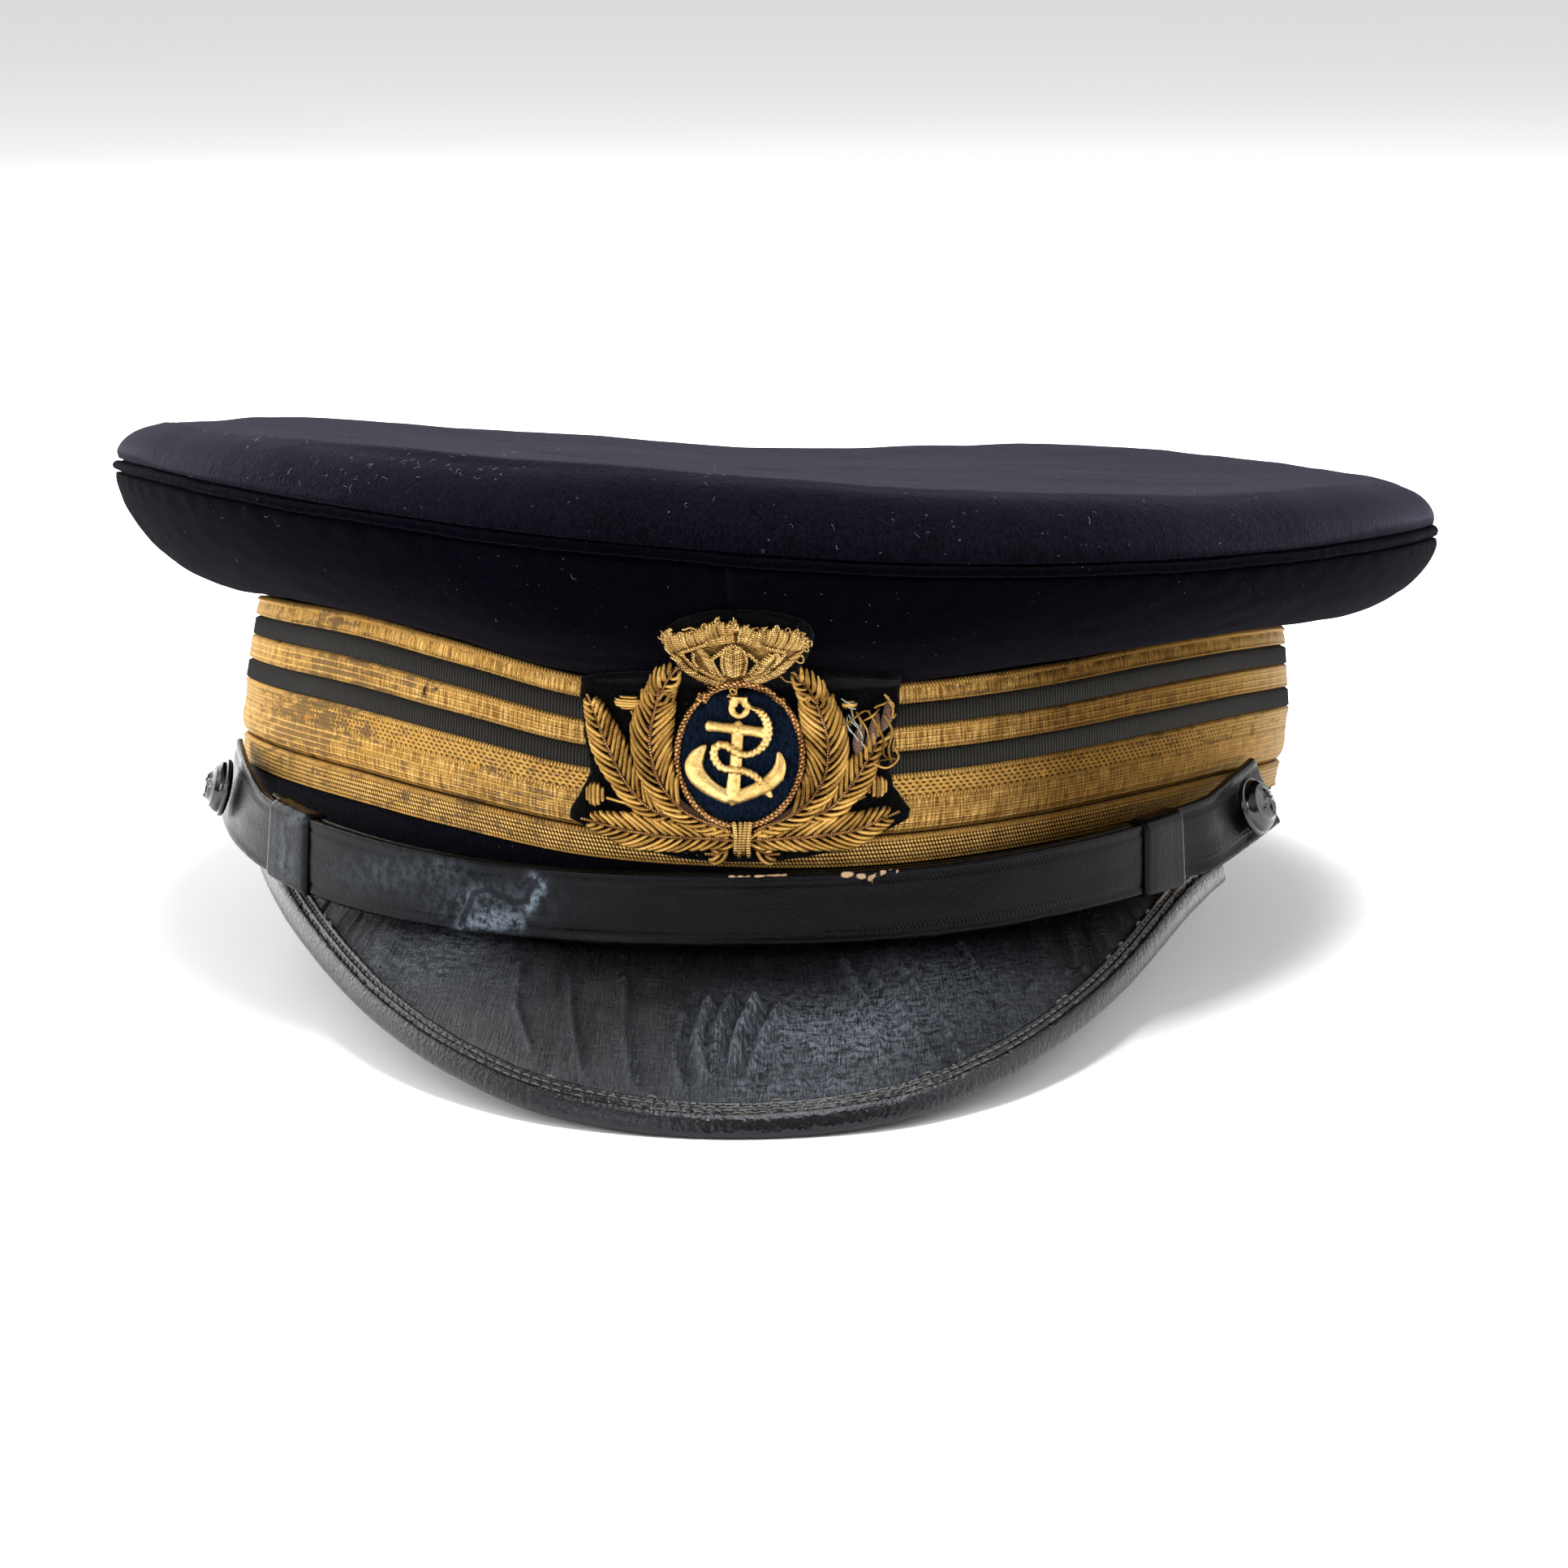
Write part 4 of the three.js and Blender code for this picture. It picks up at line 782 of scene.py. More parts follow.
def welt_piece():
    a, at, L = arc_turns(960, 'welt')
    k = 10
    ph = (np.arange(k) / k * 2 * np.pi)[None, :]
    A = a[:, None]
    r = PIPING * (1.0 + 0.07 * noise(at / 3.1, 0 * at, 3)[:, None] + 0.05 * np.sin(at * 2.1)[:, None]) + 0.02
    x, y = on_oval('welt', A, -0.30 + 1.0 * r * np.cos(ph) + 0.12 * noise(at / 11, 0 * at, 9)[:, None])
    z = section('welt', A) + r * 0.80 * np.sin(ph) + 0.14 * noise(at / 8, 0 * at, 12)[:, None]
    P = np.stack(np.broadcast_arrays(x, y, z), -1)
    wv = np.stack(np.broadcast_arrays(at[:, None], ph, 0 * ph), -1)
    # the welt takes the darker copy of the felt too, as painted shade
    ring_piece('felt_welt', P, SHADED_SIDE_NAVY, {'wv': wv}, ('crown_welt',))
    # the seam allowance inside, which shuts the joint between side and top
    x, y = on_oval('welt', A, -1.75 + 0.55 * np.cos(ph))
    Q = np.stack(np.broadcast_arrays(x, y, section('welt', A) + 1.9 * np.sin(ph)), -1)
    ring_piece('felt_welt_inside', Q[::6], NAVY, {'wv': wv[::6]}, ())


welt_piece()


def top_piece():
    n = 560
    a = -180 + 360 * np.arange(n) / n
    edge = np.linspace(0, 1, 30)
    flat = 1 + np.linspace(0, 1, 46)[1:-1] ** 0.9
    s = np.concatenate([edge, flat])[None, :]
    A = a[:, None]
    P0 = crown_top(A, s)
    E = 1e-2
    du = crown_top(A + 0.25, s) - crown_top(A - 0.25, s)
    ds = crown_top(A, np.clip(s + E, 0, 1.999)) - crown_top(A, np.clip(s - E, 0, 1.999))
    N = np.cross(du, ds)
    N /= np.linalg.norm(N, axis=2, keepdims=True) + 1e-12
    if N[0, 40, 2] < 0:
        N = -N
    X, Y = P0[..., 0], P0[..., 1]
    fade = smooth(2 - s, 0.0, 0.10)
    d = 0.55 * fbm(X / 46 + 2, Y / 46, 21, 3) + 0.10 * fbm(X / 9, Y / 9, 25, 2)
    # the front of the rounded edge stands a little proud and the top sinks in behind it
    ridge = np.exp(-((s - 1.04) / 0.12) ** 2)
    d = d + 0.35 * ridge - 0.5 * np.exp(-((s - 1.30) / 0.16) ** 2) * (0.6 + 0.4 * noise(X / 40, Y / 40, 31))
    # dents of the front edge and folds that run back over the top
    d = d - 0.5 * np.exp(-((A - 14) / 16) ** 2 - ((s - 1.0) / 0.24) ** 2)
    d = d - 0.5 * np.exp(-((A + 48) / 12) ** 2 - ((s - 1.14) / 0.14) ** 2)
    d = d + 0.5 * np.exp(-((A + 24) / 14) ** 2 - ((s - 1.0) / 0.12) ** 2)
    d = d * smooth(s, 0.02, 0.16) * fade - 0.12 * np.exp(-(s / 0.035) ** 2)
    P = P0 + N * d[..., None]
    inner_s = np.array([1.9, 1.6, 1.3, 1.0, 0.7, 0.35, 0.0])[None, :]
    I = crown_top(A, inner_s, CLOTH)
    Q = np.concatenate([P, I], 1)
    m = P.shape[1]
    verts = Q.reshape(-1, 3)
    M = Q.shape[1]
    f = grid_faces(n, m, True, False).reshape(-1, 4)
    # indices are by row of M, so faces are rebuilt for the two sheets
    def sheet(lo, hi):
        i = np.arange(n)
        j = np.arange(lo, hi)
        I_, J_ = np.meshgrid(i, j, indexing='ij')
        I2 = (I_ + 1) % n
        return np.stack([I_ * M + J_, I2 * M + J_, I2 * M + J_ + 1, I_ * M + J_ + 1], -1).reshape(-1, 4)
    faces = sheet(0, m - 1).tolist() + sheet(m, M - 1).tolist()
    i = np.arange(n)
    faces += np.stack([i * M + M - 1, ((i + 1) % n) * M + M - 1, ((i + 1) % n) * M, i * M], -1).tolist()
    pole = crown_top(0.0, 2.0) + np.array([0, 0, 0.0])
    pole_in = crown_top(0.0, 2.0, CLOTH)
    verts = np.vstack([verts, pole[None], pole_in[None]])
    a0, b0 = n * M, n * M + 1
    faces += [[int(k * M + m - 1), int(((k + 1) % n) * M + m - 1), a0] for k in range(n)]
    faces += [[int(((k + 1) % n) * M + m), int(k * M + m), b0] for k in range(n)]
    wv = np.zeros((len(verts), 3))
    make('felt_crown_top', verts, faces, NAVY, {'wv': wv}, ('crown_top',))


top_piece()

# ------------------------------------------------------- band, ribbon, laces
def front_px(P):
    x, y = px(P)
    seen = smooth(-P[..., 1], -20, 10)
    return x, y, seen


def band_piece():
    a, at, L = arc_turns(320)
    A = a[:, None]
    levels = np.concatenate([np.linspace(0, 1, 16), [1, 1, 2, 3, 3, 2, 1, 0.5, 0.0]])
    offs = np.concatenate([np.full(16, -0.7), [-0.7 - 0.9, -UNDER, -UNDER, -UNDER, -UNDER - BAND_WALL, -UNDER - BAND_WALL,
                                              -UNDER - BAND_WALL, -2.2 - BAND_WALL, -0.7 - BAND_WALL]])
    lifts = np.concatenate([np.zeros(15), [-GAP], [-GAP, -GAP, 0, -GAP, -GAP, 0, -GAP - 1, 0, 0]])
    d = np.zeros((len(a), len(levels)))
    j = np.arange(16)[None, :]
    d[:, :16] = 0.10 * fbm(at[:, None] / 8, j / 3.0, 3, 2) - 0.45 * np.exp(-((j - 0) / 0.8) ** 2)
    P = wall(A, levels[None, :], offs[None, :] + d, lifts[None, :])
    P[..., 2] = np.maximum(P[..., 2], 0)
    wv = np.stack(np.broadcast_arrays(at[:, None], levels[None, :] * 10, 0.0), -1)
    ring_piece('felt_band', P, BAND_NAVY, {'wv': wv}, ('band',))


band_piece()

RIBS = SEEDS


def ribbon_piece():
    a, at, L = arc_turns(RIBS * 2)
    A = a[:, None]
    shares = np.array([0.0, 0.50, 0.512, 0.56, 0.608, 0.622, 0.76, 0.772, 0.82, 0.868, 0.882, 1.0])
    lv = 1 + 2 * shares
    rib = 0.06 * np.cos(at / L * RIBS * 2 * np.pi)[:, None]
    off = -LACE - GAP + rib + 0.06
    out = wall(A, lv[None, :], off)
    # the ribbon comes up level with the laces where it shows between them
    bump = np.isin(np.round(shares, 3), (0.512, 0.56, 0.608, 0.772, 0.82, 0.868))
    lift = np.where(bump, 0.98, 0.0)[None, :]
    out = wall(A, lv[None, :], off + lift)
    inn = wall(A, np.array([[3.0, 2.0, 1.0]]), -LACE - GAP - RIBBON, np.array([[-0.2, 0, 0.2]]))
    P = np.concatenate([out, inn], 1)
    u = np.broadcast_to(at[:, None], P.shape[:2])
    v = np.concatenate([np.broadcast_to(shares[None, :], out.shape[:2]), np.zeros(inn.shape[:2])], 1) * 26
    w = np.full(P.shape[:2], L / RIBS)
    ring_piece('grosgrain_ribbon', P, ribbon_material(), {'wv': np.stack([u, v, w], -1)}, ('band_ribbon',))


ribbon_piece()

# share of the laced height, weave columns, and zones across each lace (mm from its lower edge)
LACE_PLAN = {
    'lace_upper': (1.00, 0.885, SEEDS, [(0.0, 0.40, 'bead'), (0.40, 2.10, 'plain'), (2.10, 3.2, 'cord')]),
    'lace_middle': (0.765, 0.625, SEEDS, [(0.0, 0.40, 'bead'), (0.40, 3.20, 'lines'), (3.20, 3.8, 'bead')]),
    'lace_wide': (0.505, 0.168, SEEDS, [(0.0, 0.30, 'plain'), (0.30, 4.95, 'lines'), (4.95, 5.35, 'bead'), (5.35, 8.15, 'mesh'), (8.15, 8.9, 'bead')]),
    'lace_edge': (0.162, 0.0, 2 * SEEDS, [(0.0, 0.50, 'cord'), (0.50, 3.50, 'basket'), (3.50, 4.3, 'cord')]),
}


def lace_piece(name, top, low, columns, zones):
    a, at, L = arc_turns(columns)
    A = a[:, None]
    height = 26.0 * (top - low)
    # rows fall on the edges of the zones and between them
    marks = [0.0]
    for lo, hi, kind in zones:
        hi = min(hi, height)
        count = max(2, int(round((hi - lo) / 0.52)))
        marks += list(np.linspace(lo + 0.02, hi - 0.02, count + 1))
    marks = np.unique(np.round(np.clip(marks + [height], 0, height), 3))
    rows = len(marks)
    k = (marks / height)[None, :]
    V = k * height
    U = np.broadcast_to(at[:, None], (len(a), rows))
    V = np.broadcast_to(V, U.shape)
    h = np.zeros(U.shape)
    for lo, hi, kind in zones:
        here = (V >= lo) & (V < hi)
        if kind == 'bead':
            g = 0.10 + 0 * U
        elif kind == 'cord':
            mid = (lo + hi) / 2
            g = 0.24 * np.cos(np.clip((V - mid) / (hi - lo), -0.5, 0.5) * np.pi)
        elif kind == 'mesh':
            g = 0.03 + 0.03 * noise(U * 1.3, V * 1.3, 8)
        elif kind == 'basket':
            g = 0.06 + 0.03 * noise(U * 1.1, V * 1.1, 8)
        elif kind == 'lines':
            g = 0.05 + 0.04 * noise(U * 0.8, V * 0.4, 5)
        else:
            g = 0.05 + 0.04 * noise(U * 0.8, V * 0.4, 5)
        h = np.where(here, g, h)
    # slow waves of the woven edge, and a soft hollow where the wide lace meets the edge lace
    h = h + 0.10 * fbm(U / 22, V / 5, 14, 2)
    if name == 'lace_wide':
        h = h - 0.45 * np.exp(-((V - 0.15) / 0.55) ** 2) + 0.35 * np.exp(-((V - 2.6) / 1.7) ** 2)
    if name == 'lace_upper':
        h = h - 0.30 * np.exp(-((V - 1.9) / 0.35) ** 2)
    end = np.minimum(k, 1 - k) * height
    h = h - 0.35 * np.exp(-(end / 0.16) ** 2)
    wave = 0.10 * noise(U / 14, 0 * U + 3.3, 17)
    lv = 1 + 2 * lerp(low, top, k)
    out = wall(A, np.broadcast_to(lv, U.shape), h - 0.22, wave * (1 if name != 'lace_edge' else 0.6))
    inn = wall(A, np.array([[1 + 2 * top, 1 + 2 * low]]), -LACE + 0.02)
    P = np.concatenate([out, inn], 1)
    x, y, seen = front_px(out)
    tarn = (0.85 * blob(x, y, 400, 880, 80, 60) + 0.80 * blob(x, y, 420, 822, 70, 24) + 0.75 * blob(x, y, 395, 768, 70, 18) + 0.55 * blob(x, y, 520, 850, 30, 16)
            + 0.55 * blob(x, y, 360, 905, 40, 30)
            + 0.55 * blob(x, y, 600, 985, 140, 50) + 0.38 * blob(x, y, 1450, 890, 190, 60) + 0.22 * blob(x, y, 1250, 850, 120, 40)) * seen
    tarn = np.clip(tarn + (1 - seen) * 0.45, 0, 1)
    spot = sum(blob(x, y, cx, cy, r, r) for cx, cy, r in
               ((378, 884, 5), (463, 893, 4), (583, 945, 5), (668, 948, 3.5), (1286, 952, 4), (330, 838, 4), (1130, 905, 3), (512, 1006, 3))) * seen
    # painted shade: the gold is darkened towards the right of the front, where it catches less light, and by half along
    # the far side
    painted_shade = (0.95 * smooth(x, 1090, 1330) * (1 - 0.25 * smooth(x, 1420, 1560))) * seen + 0.5 * (1 - seen)
    hole = (blob(x, y, 537, 850, 3.4, 2.6) + near_line(x, y, [(525, 844), (523, 852), (524, 858)], 1.8) + near_line(x, y, [(350, 780), (346, 787), (345, 791)], 2.2)
            + near_line(x, y, [(386, 930), (387, 934)], 1.8)) * seen
    pad = inn.shape[:2]
    wv = np.stack([np.concatenate([U, np.broadcast_to(at[:, None], pad)], 1), np.concatenate([V, np.zeros(pad)], 1),
                   np.concatenate([tarn, np.zeros(pad)], 1)], -1)
    att = {'wv': wv, 'spot': np.concatenate([spot, np.zeros(pad)], 1), 'hole': np.concatenate([hole, np.zeros(pad)], 1),
           'painted_shade': np.concatenate([painted_shade, np.zeros(pad)], 1)}
    ring_piece('gold_' + name, P, lace_material('gold_' + name, zones), att, (name,))


for key, (top, low, columns, zones) in LACE_PLAN.items():
    lace_piece(key, top, low, columns, zones)

# --------------------------------------------------------------------- visor
BINDING = 4.1


def visor_piece():
    n, rows = 421, 70
    a = np.linspace(-74, 63, n)[:, None]
    length = visor_row('length', a)
    edge = np.maximum(length - BINDING + 0.7, 0.25)
    k = np.linspace(0, 1, rows)[None, :]
    e = -3.0 + (edge + 3.0) * k
    P0 = visor_point(a, e, VISOR_THICK / 2)
    x, y = px(P0)
    arc = np.broadcast_to(a * 1.62, P0.shape[:2])
    E = np.broadcast_to(e, P0.shape[:2])
    spread = arc * (1 + E / 95)
    d = 0.20 * noise(spread * 0.30, E * 0.035, 3) + 0.13 * noise(spread * 0.75, E * 0.06, 6) + 0.07 * noise(spread * 1.6, E * 0.10, 9)
    d = d + 0.55 * fbm(arc / 17, E / 13, 12, 2) * smooth(E, 2, 12)
    # raised wrinkles near the middle, and smaller ones about it, with a painted highlight along their tops
    ridge_highlight = 0.0 * E
    for line, w, h in (
            ([(872, 1240), (858, 1286), (866, 1330)], 5.5, 0.80),
            ([(900, 1234), (884, 1268), (880, 1312)], 5.0, 0.55),
            ([(930, 1238), (914, 1270), (902, 1316)], 6.5, 1.00),
            ([(958, 1244), (940, 1280), (922, 1330)], 4.5, 0.60),
            ([(915, 1236), (898, 1274), (892, 1318)], 3.0, -0.55),
            ([(946, 1242), (926, 1284), (914, 1326)], 3.0, -0.45),
            ([(968, 1236), (962, 1290), (952, 1345)], 3.5, 0.35),
            ([(842, 1255), (830, 1300), (838, 1340)], 5.0, 0.25),
            ([(1040, 1185), (1072, 1250), (1085, 1305)], 5.0, 0.40),
            ([(1075, 1200), (1120, 1265), (1150, 1310)], 4.0, 0.35),
            ([(1110, 1195), (1160, 1260), (1180, 1300)], 4.0, 0.30),
            ([(1000, 1290), (1018, 1320), (1030, 1345)], 5.0, 0.30),
            ([(1180, 1160), (1215, 1215), (1245, 1250)], 3.5, 0.25),
            ([(700, 1205), (705, 1270), (715, 1320)], 4.0, 0.18),
            ([(770, 1210), (768, 1270), (776, 1330)], 4.0, 0.20),
            ([(640, 1190), (634, 1240), (650, 1290)], 4.0, 0.18)):
        here = near_line(x, y, line, w)
        d = d + 2.3 * h * here
        ridge_highlight = ridge_highlight + np.clip(h, -0.5, 1.0) * near_line(x, y, line, 0.7 * w)
    for cx, cy, r, h in ((1271, 1217, 7, 0.5), (1314, 1196, 4, 0.4), (1336, 1192, 4, 0.4), (1026, 1236, 8, 0.35), (738, 1246, 9, 0.25),
                         (995, 1292, 8, 0.3), (802, 1212, 10, 0.22), (1158, 1282, 8, 0.3)):
        d = d + h * blob(x, y, cx, cy, r, r)
    # crazed, scuffed skin and painted highlight: the pale patches at the left, in the middle and on the right are
    # partly scuffing and partly light caught by the glossy skin
    scuff_and_highlight = np.clip(0.66 * blob(x, y, 500, 1180, 75, 38) + 0.50 * blob(x, y, 560, 1165, 55, 30) + 0.22 * blob(x, y, 620, 1215, 50, 30)
                   + 0.20 * blob(x, y, 1240, 1220, 90, 60) + 0.50 * blob(x, y, 915, 1280, 60, 50) + 0.95 * blob(x, y, 1045, 1272, 95, 48)
                   + 0.40 * blob(x, y, 1010, 1345, 120, 18) + 0.35 * blob(x, y, 1140, 1215, 70, 40), 0, 1)
    d = d + scuff_and_highlight * 0.20 * fbm(arc * 0.8, E * 0.8, 31, 3)
    scuff_and_highlight = np.clip(scuff_and_highlight + 0.75 * ridge_highlight, 0, 1)
    d = d - 0.25 * np.exp(-((edge - E) / 0.5) ** 2)
    d = d * smooth(E, -1.0, 2.0)
    top = P0.copy()
    top[..., 2] += d
    under_e = -3.0 + (edge + 3.0) * np.linspace(1, 0, 12)[None, :]
    bot = visor_point(a, under_e, -VISOR_THICK / 2)
    P = np.concatenate([top, bot], 1)
    u = np.concatenate([spread, np.broadcast_to(a * 1.62, bot.shape[:2])], 1)
    v = np.concatenate([E, np.broadcast_to(under_e, bot.shape[:2])], 1)
    w = np.concatenate([scuff_and_highlight, np.zeros(bot.shape[:2])], 1)
    bar_piece('leather_visor', P, VISOR_SKIN, {'wv': np.stack([u, v, w], -1)}, ('visor',))


visor_piece()


def binding_frame(a, across):
    """Point of the bound edge: across 0 at its inner side, BINDING at its rim."""
    length = visor_row('length', a)
    inner = np.maximum(length - BINDING, -0.6)
    full = np.maximum(length, inner + 1.2)
    return inner + (full - inner) * across / BINDING, (full - inner) / BINDING


def binding_piece():
    n = 760
    a = np.linspace(-74, 63, n)[:, None]
    s = np.arange(n)[:, None] * 0.355
    # across, height above the middle of the visor's thickness
    prof = [(0.00, 0.55), (0.02, 1.00), (0.18, 1.42), (0.48, 1.55), (0.72, 1.38), (0.92, 1.08), (1.12, 1.08), (1.30, 1.42), (1.55, 1.62),
            (1.80, 1.50), (2.00, 1.18), (2.16, 1.15), (2.36, 1.48), (2.66, 1.72), (3.05, 1.74), (3.45, 1.50), (3.78, 1.02), (3.98, 0.38),
            (4.05, -0.25), (3.95, -0.80), (3.65, -1.20), (3.20, -1.42), (2.4, -1.50), (1.2, -1.50), (0.2, -1.45), (0.0, -0.9)]
    across = np.array([p[0] for p in prof])[None, :]
    high = np.array([p[1] for p in prof])[None, :]
    e, k = binding_frame(a, across)
    rough = 0.05 * noise(s * 0.5, across * 2, 3) + 0.035 * noise(s * 1.9, across * 5, 7)
    stitch = 0.10 * np.cos(s / 1.75 * 2 * np.pi) * np.exp(-((across - 1.02) / 0.35) ** 2)
    stitch2 = 0.08 * np.cos(s / 1.75 * 2 * np.pi + 2) * np.exp(-((across - 2.08) / 0.3) ** 2)
    h = high * (0.65 + 0.35 * k) + (rough + stitch + stitch2) * (high > -1)
    # the underside keeps off the table by lying on it
    P = visor_point(a, np.broadcast_to(e, (n, len(prof))), h)
    X, Y = px(P)
    tan = (near_line(X, Y, [(1300, 1205), (1360, 1150), (1420, 1110), (1470, 1078)], 9) * (np.abs(across - 1.4) < 1.1)
           + 0.55 * near_line(X, Y, [(1040, 1350), (1120, 1325), (1200, 1292)], 7) * (np.abs(across - 1.4) < 1.0))
    wv = np.stack(np.broadcast_arrays(s * 1.0, across * 1.0, np.clip(tan, 0, 1)), -1)
    bar_piece('leather_visor_binding', P, BOUND_SKIN, {'wv': wv}, ('visor_binding',))
    # two rows of stitches lying in the grooves
    paths, radii = [], []
    x0, y0 = on_oval('foot', np.linspace(-70, 60, 2000), visor_row('length', np.linspace(-70, 60, 2000)))
    arc = np.concatenate([[0], np.cumsum(np.hypot(np.diff(x0), np.diff(y0)))])
    turns = np.linspace(-70, 60, 2000)
    pitch = 1.75
    count = int(arc[-1] / pitch)
    for row, (ac, hh, ph) in enumerate(((1.02, 1.20, 0.0), (0.30, 1.52, 0.5), (2.08, 1.24, 0.3))):
        for i in range(count - 1):
            if row == 1 and rng.random() < 0.86:
                continue
            if row == 2 and rng.random() < 0.35:
                continue
            c = (i + 0.5 + ph * 0.5) * pitch
            tt = np.linspace(-0.5, 0.5, 7)
            ang = np.interp(c + tt * pitch * 0.82, arc, turns)
            e, k = binding_frame(ang, ac + 0.10 * tt)
            lift = hh * (0.65 + 0.35 * k) + 0.16 * (1 - (2 * tt) ** 2) + rng.normal(0, 0.015)
            paths.append(visor_point(ang, e, lift))
            radii.append(0.17 * np.sqrt(np.clip(1 - (2 * tt) ** 6, 0.15, 1)))
    V, F, wv = tubes(paths, radii, 6)
    make('visor_stitches', V, F, BROWN_THREAD, {'wv': wv})


binding_piece()

# --------------------------------------------------------------- chin strap
LAYER = STRAP + GAP


def strap_loop_profile():
    """Share across, depth in mm and whether it is the outer face."""
    face = np.concatenate([[0.0, 0.004, 0.02], np.linspace(0.045, 0.955, 22), [0.98, 0.996, 1.0]])
    deep = np.concatenate([[0.42, 0.18, 0.05], np.zeros(22), [0.05, 0.18, 0.42]])
    back = np.array([1.0, 0.985, 0.95, 0.5, 0.05, 0.015, 0.0])
    bdeep = np.array([0.78, 1.05, STRAP, STRAP, STRAP, 1.05, 0.78])
    return np.concatenate([face, back]), np.concatenate([deep, bdeep]), len(face)


def strap_piece(name, lo, hi, n, deep_of, node, hatch_of):
    a = np.linspace(lo, hi, n)[:, None]
    share, deep, nf = strap_loop_profile()
    base = strap_point(a, share[None, :], deep[None, :] + deep_of(a))
    face = np.arange(len(share)) < nf
    x0, y0 = on_oval('lace_low', a[:, 0], 5.0)
    s = np.concatenate([[0], np.cumsum(np.hypot(np.diff(x0), np.diff(y0)))])[:, None]
    width = 10.6
    v = np.broadcast_to(share[None, :] * width, (n, len(share)))
    S = np.broadcast_to(s, v.shape)
    X, Y = px(base)
    d = 0.10 * fbm(S / 26, v / 5, 7, 3)
    # shallow pressed lines along both edges
    d = d - 0.16 * (np.exp(-((v - 1.35) / 0.22) ** 2) + np.exp(-((v - 9.25) / 0.22) ** 2))
    edge = np.minimum(v, width - v)
    d = d + 0.06 * np.exp(-(edge / 0.6) ** 2) + 0.05 * noise(S * 0.9, v * 0.2, 17) * np.exp(-(edge / 0.5) ** 2)
    torn = np.clip(near_line(X, Y, [(1040, 1077), (1062, 1080), (1104, 1073)], 4.2) * 1.25 + near_line(X, Y, [(898, 1080), (932, 1080), (968, 1078)], 2.0) * 0.9
                   + blob(X, Y, 788, 1078, 3.5, 2.0) + near_line(X, Y, [(1068, 1078), (1076, 1088)], 3.0), 0, 1)
    torn = torn * (0.6 + 0.55 * noise(S * 1.7, v * 1.7, 23)) * (node == 'strap_left')
    d = d - 0.35 * smooth(torn, 0.4, 0.8)
    N = oval_normal('lace_low', np.broadcast_to(a, v.shape))
    P = base + N * (d * face[None, :])[..., None]
    scuff = np.zeros(v.shape)
    inked = np.zeros(v.shape)
    if node == 'strap_left':
        scuff = np.clip(0.30 * blob(X, Y, 600, 1112, 60, 24) + 0.8 * near_line(X, Y, [(572, 1140), (590, 1134), (612, 1130), (640, 1136)], 9)
                        + 0.9 * near_line(X, Y, [(655, 1082), (668, 1090), (664, 1100), (652, 1118)], 6)
                        + 0.16 * blob(X, Y, 480, 1075, 60, 22) + 0.20 * blob(X, Y, 545, 1070, 24, 12) + 0.55 * near_line(X, Y, [(596, 1142), (622, 1140)], 6) + 0.35 * near_line(X, Y, [(575, 1110), (590, 1100)], 8), 0, 1)
        inked = near_line(X, Y, [(568, 1138), (578, 1118), (584, 1100), (600, 1096), (618, 1104), (634, 1112), (648, 1110), (652, 1098), (660, 1088), (650, 1084)], 4.2)
    pad = hatch_of(a) * np.ones(v.shape)
    wv = np.stack([S, v, pad], -1)
    att = {'wv': wv, 'scuff': scuff, 'torn': torn, 'inked': inked}
    bar_piece(name, P, STRAP_SKIN, att, (node,))


def hatch_left(a):
    return np.where(a < -52, 1.0, np.where((a > 12) & (a < 33), 0.55, 0.0))


def hatch_right(a):
    return smooth(a, 47, 48.5) * 1.0


strap_piece('leather_strap_left', -71, 45.5, 500, lambda a: 0 * a, 'strap_left', hatch_left)
strap_piece('leather_strap_right', -54.6, 64, 460, lambda a: LAYER * (1 - smooth(a, 46.5, 53)), 'strap_right', hatch_right)


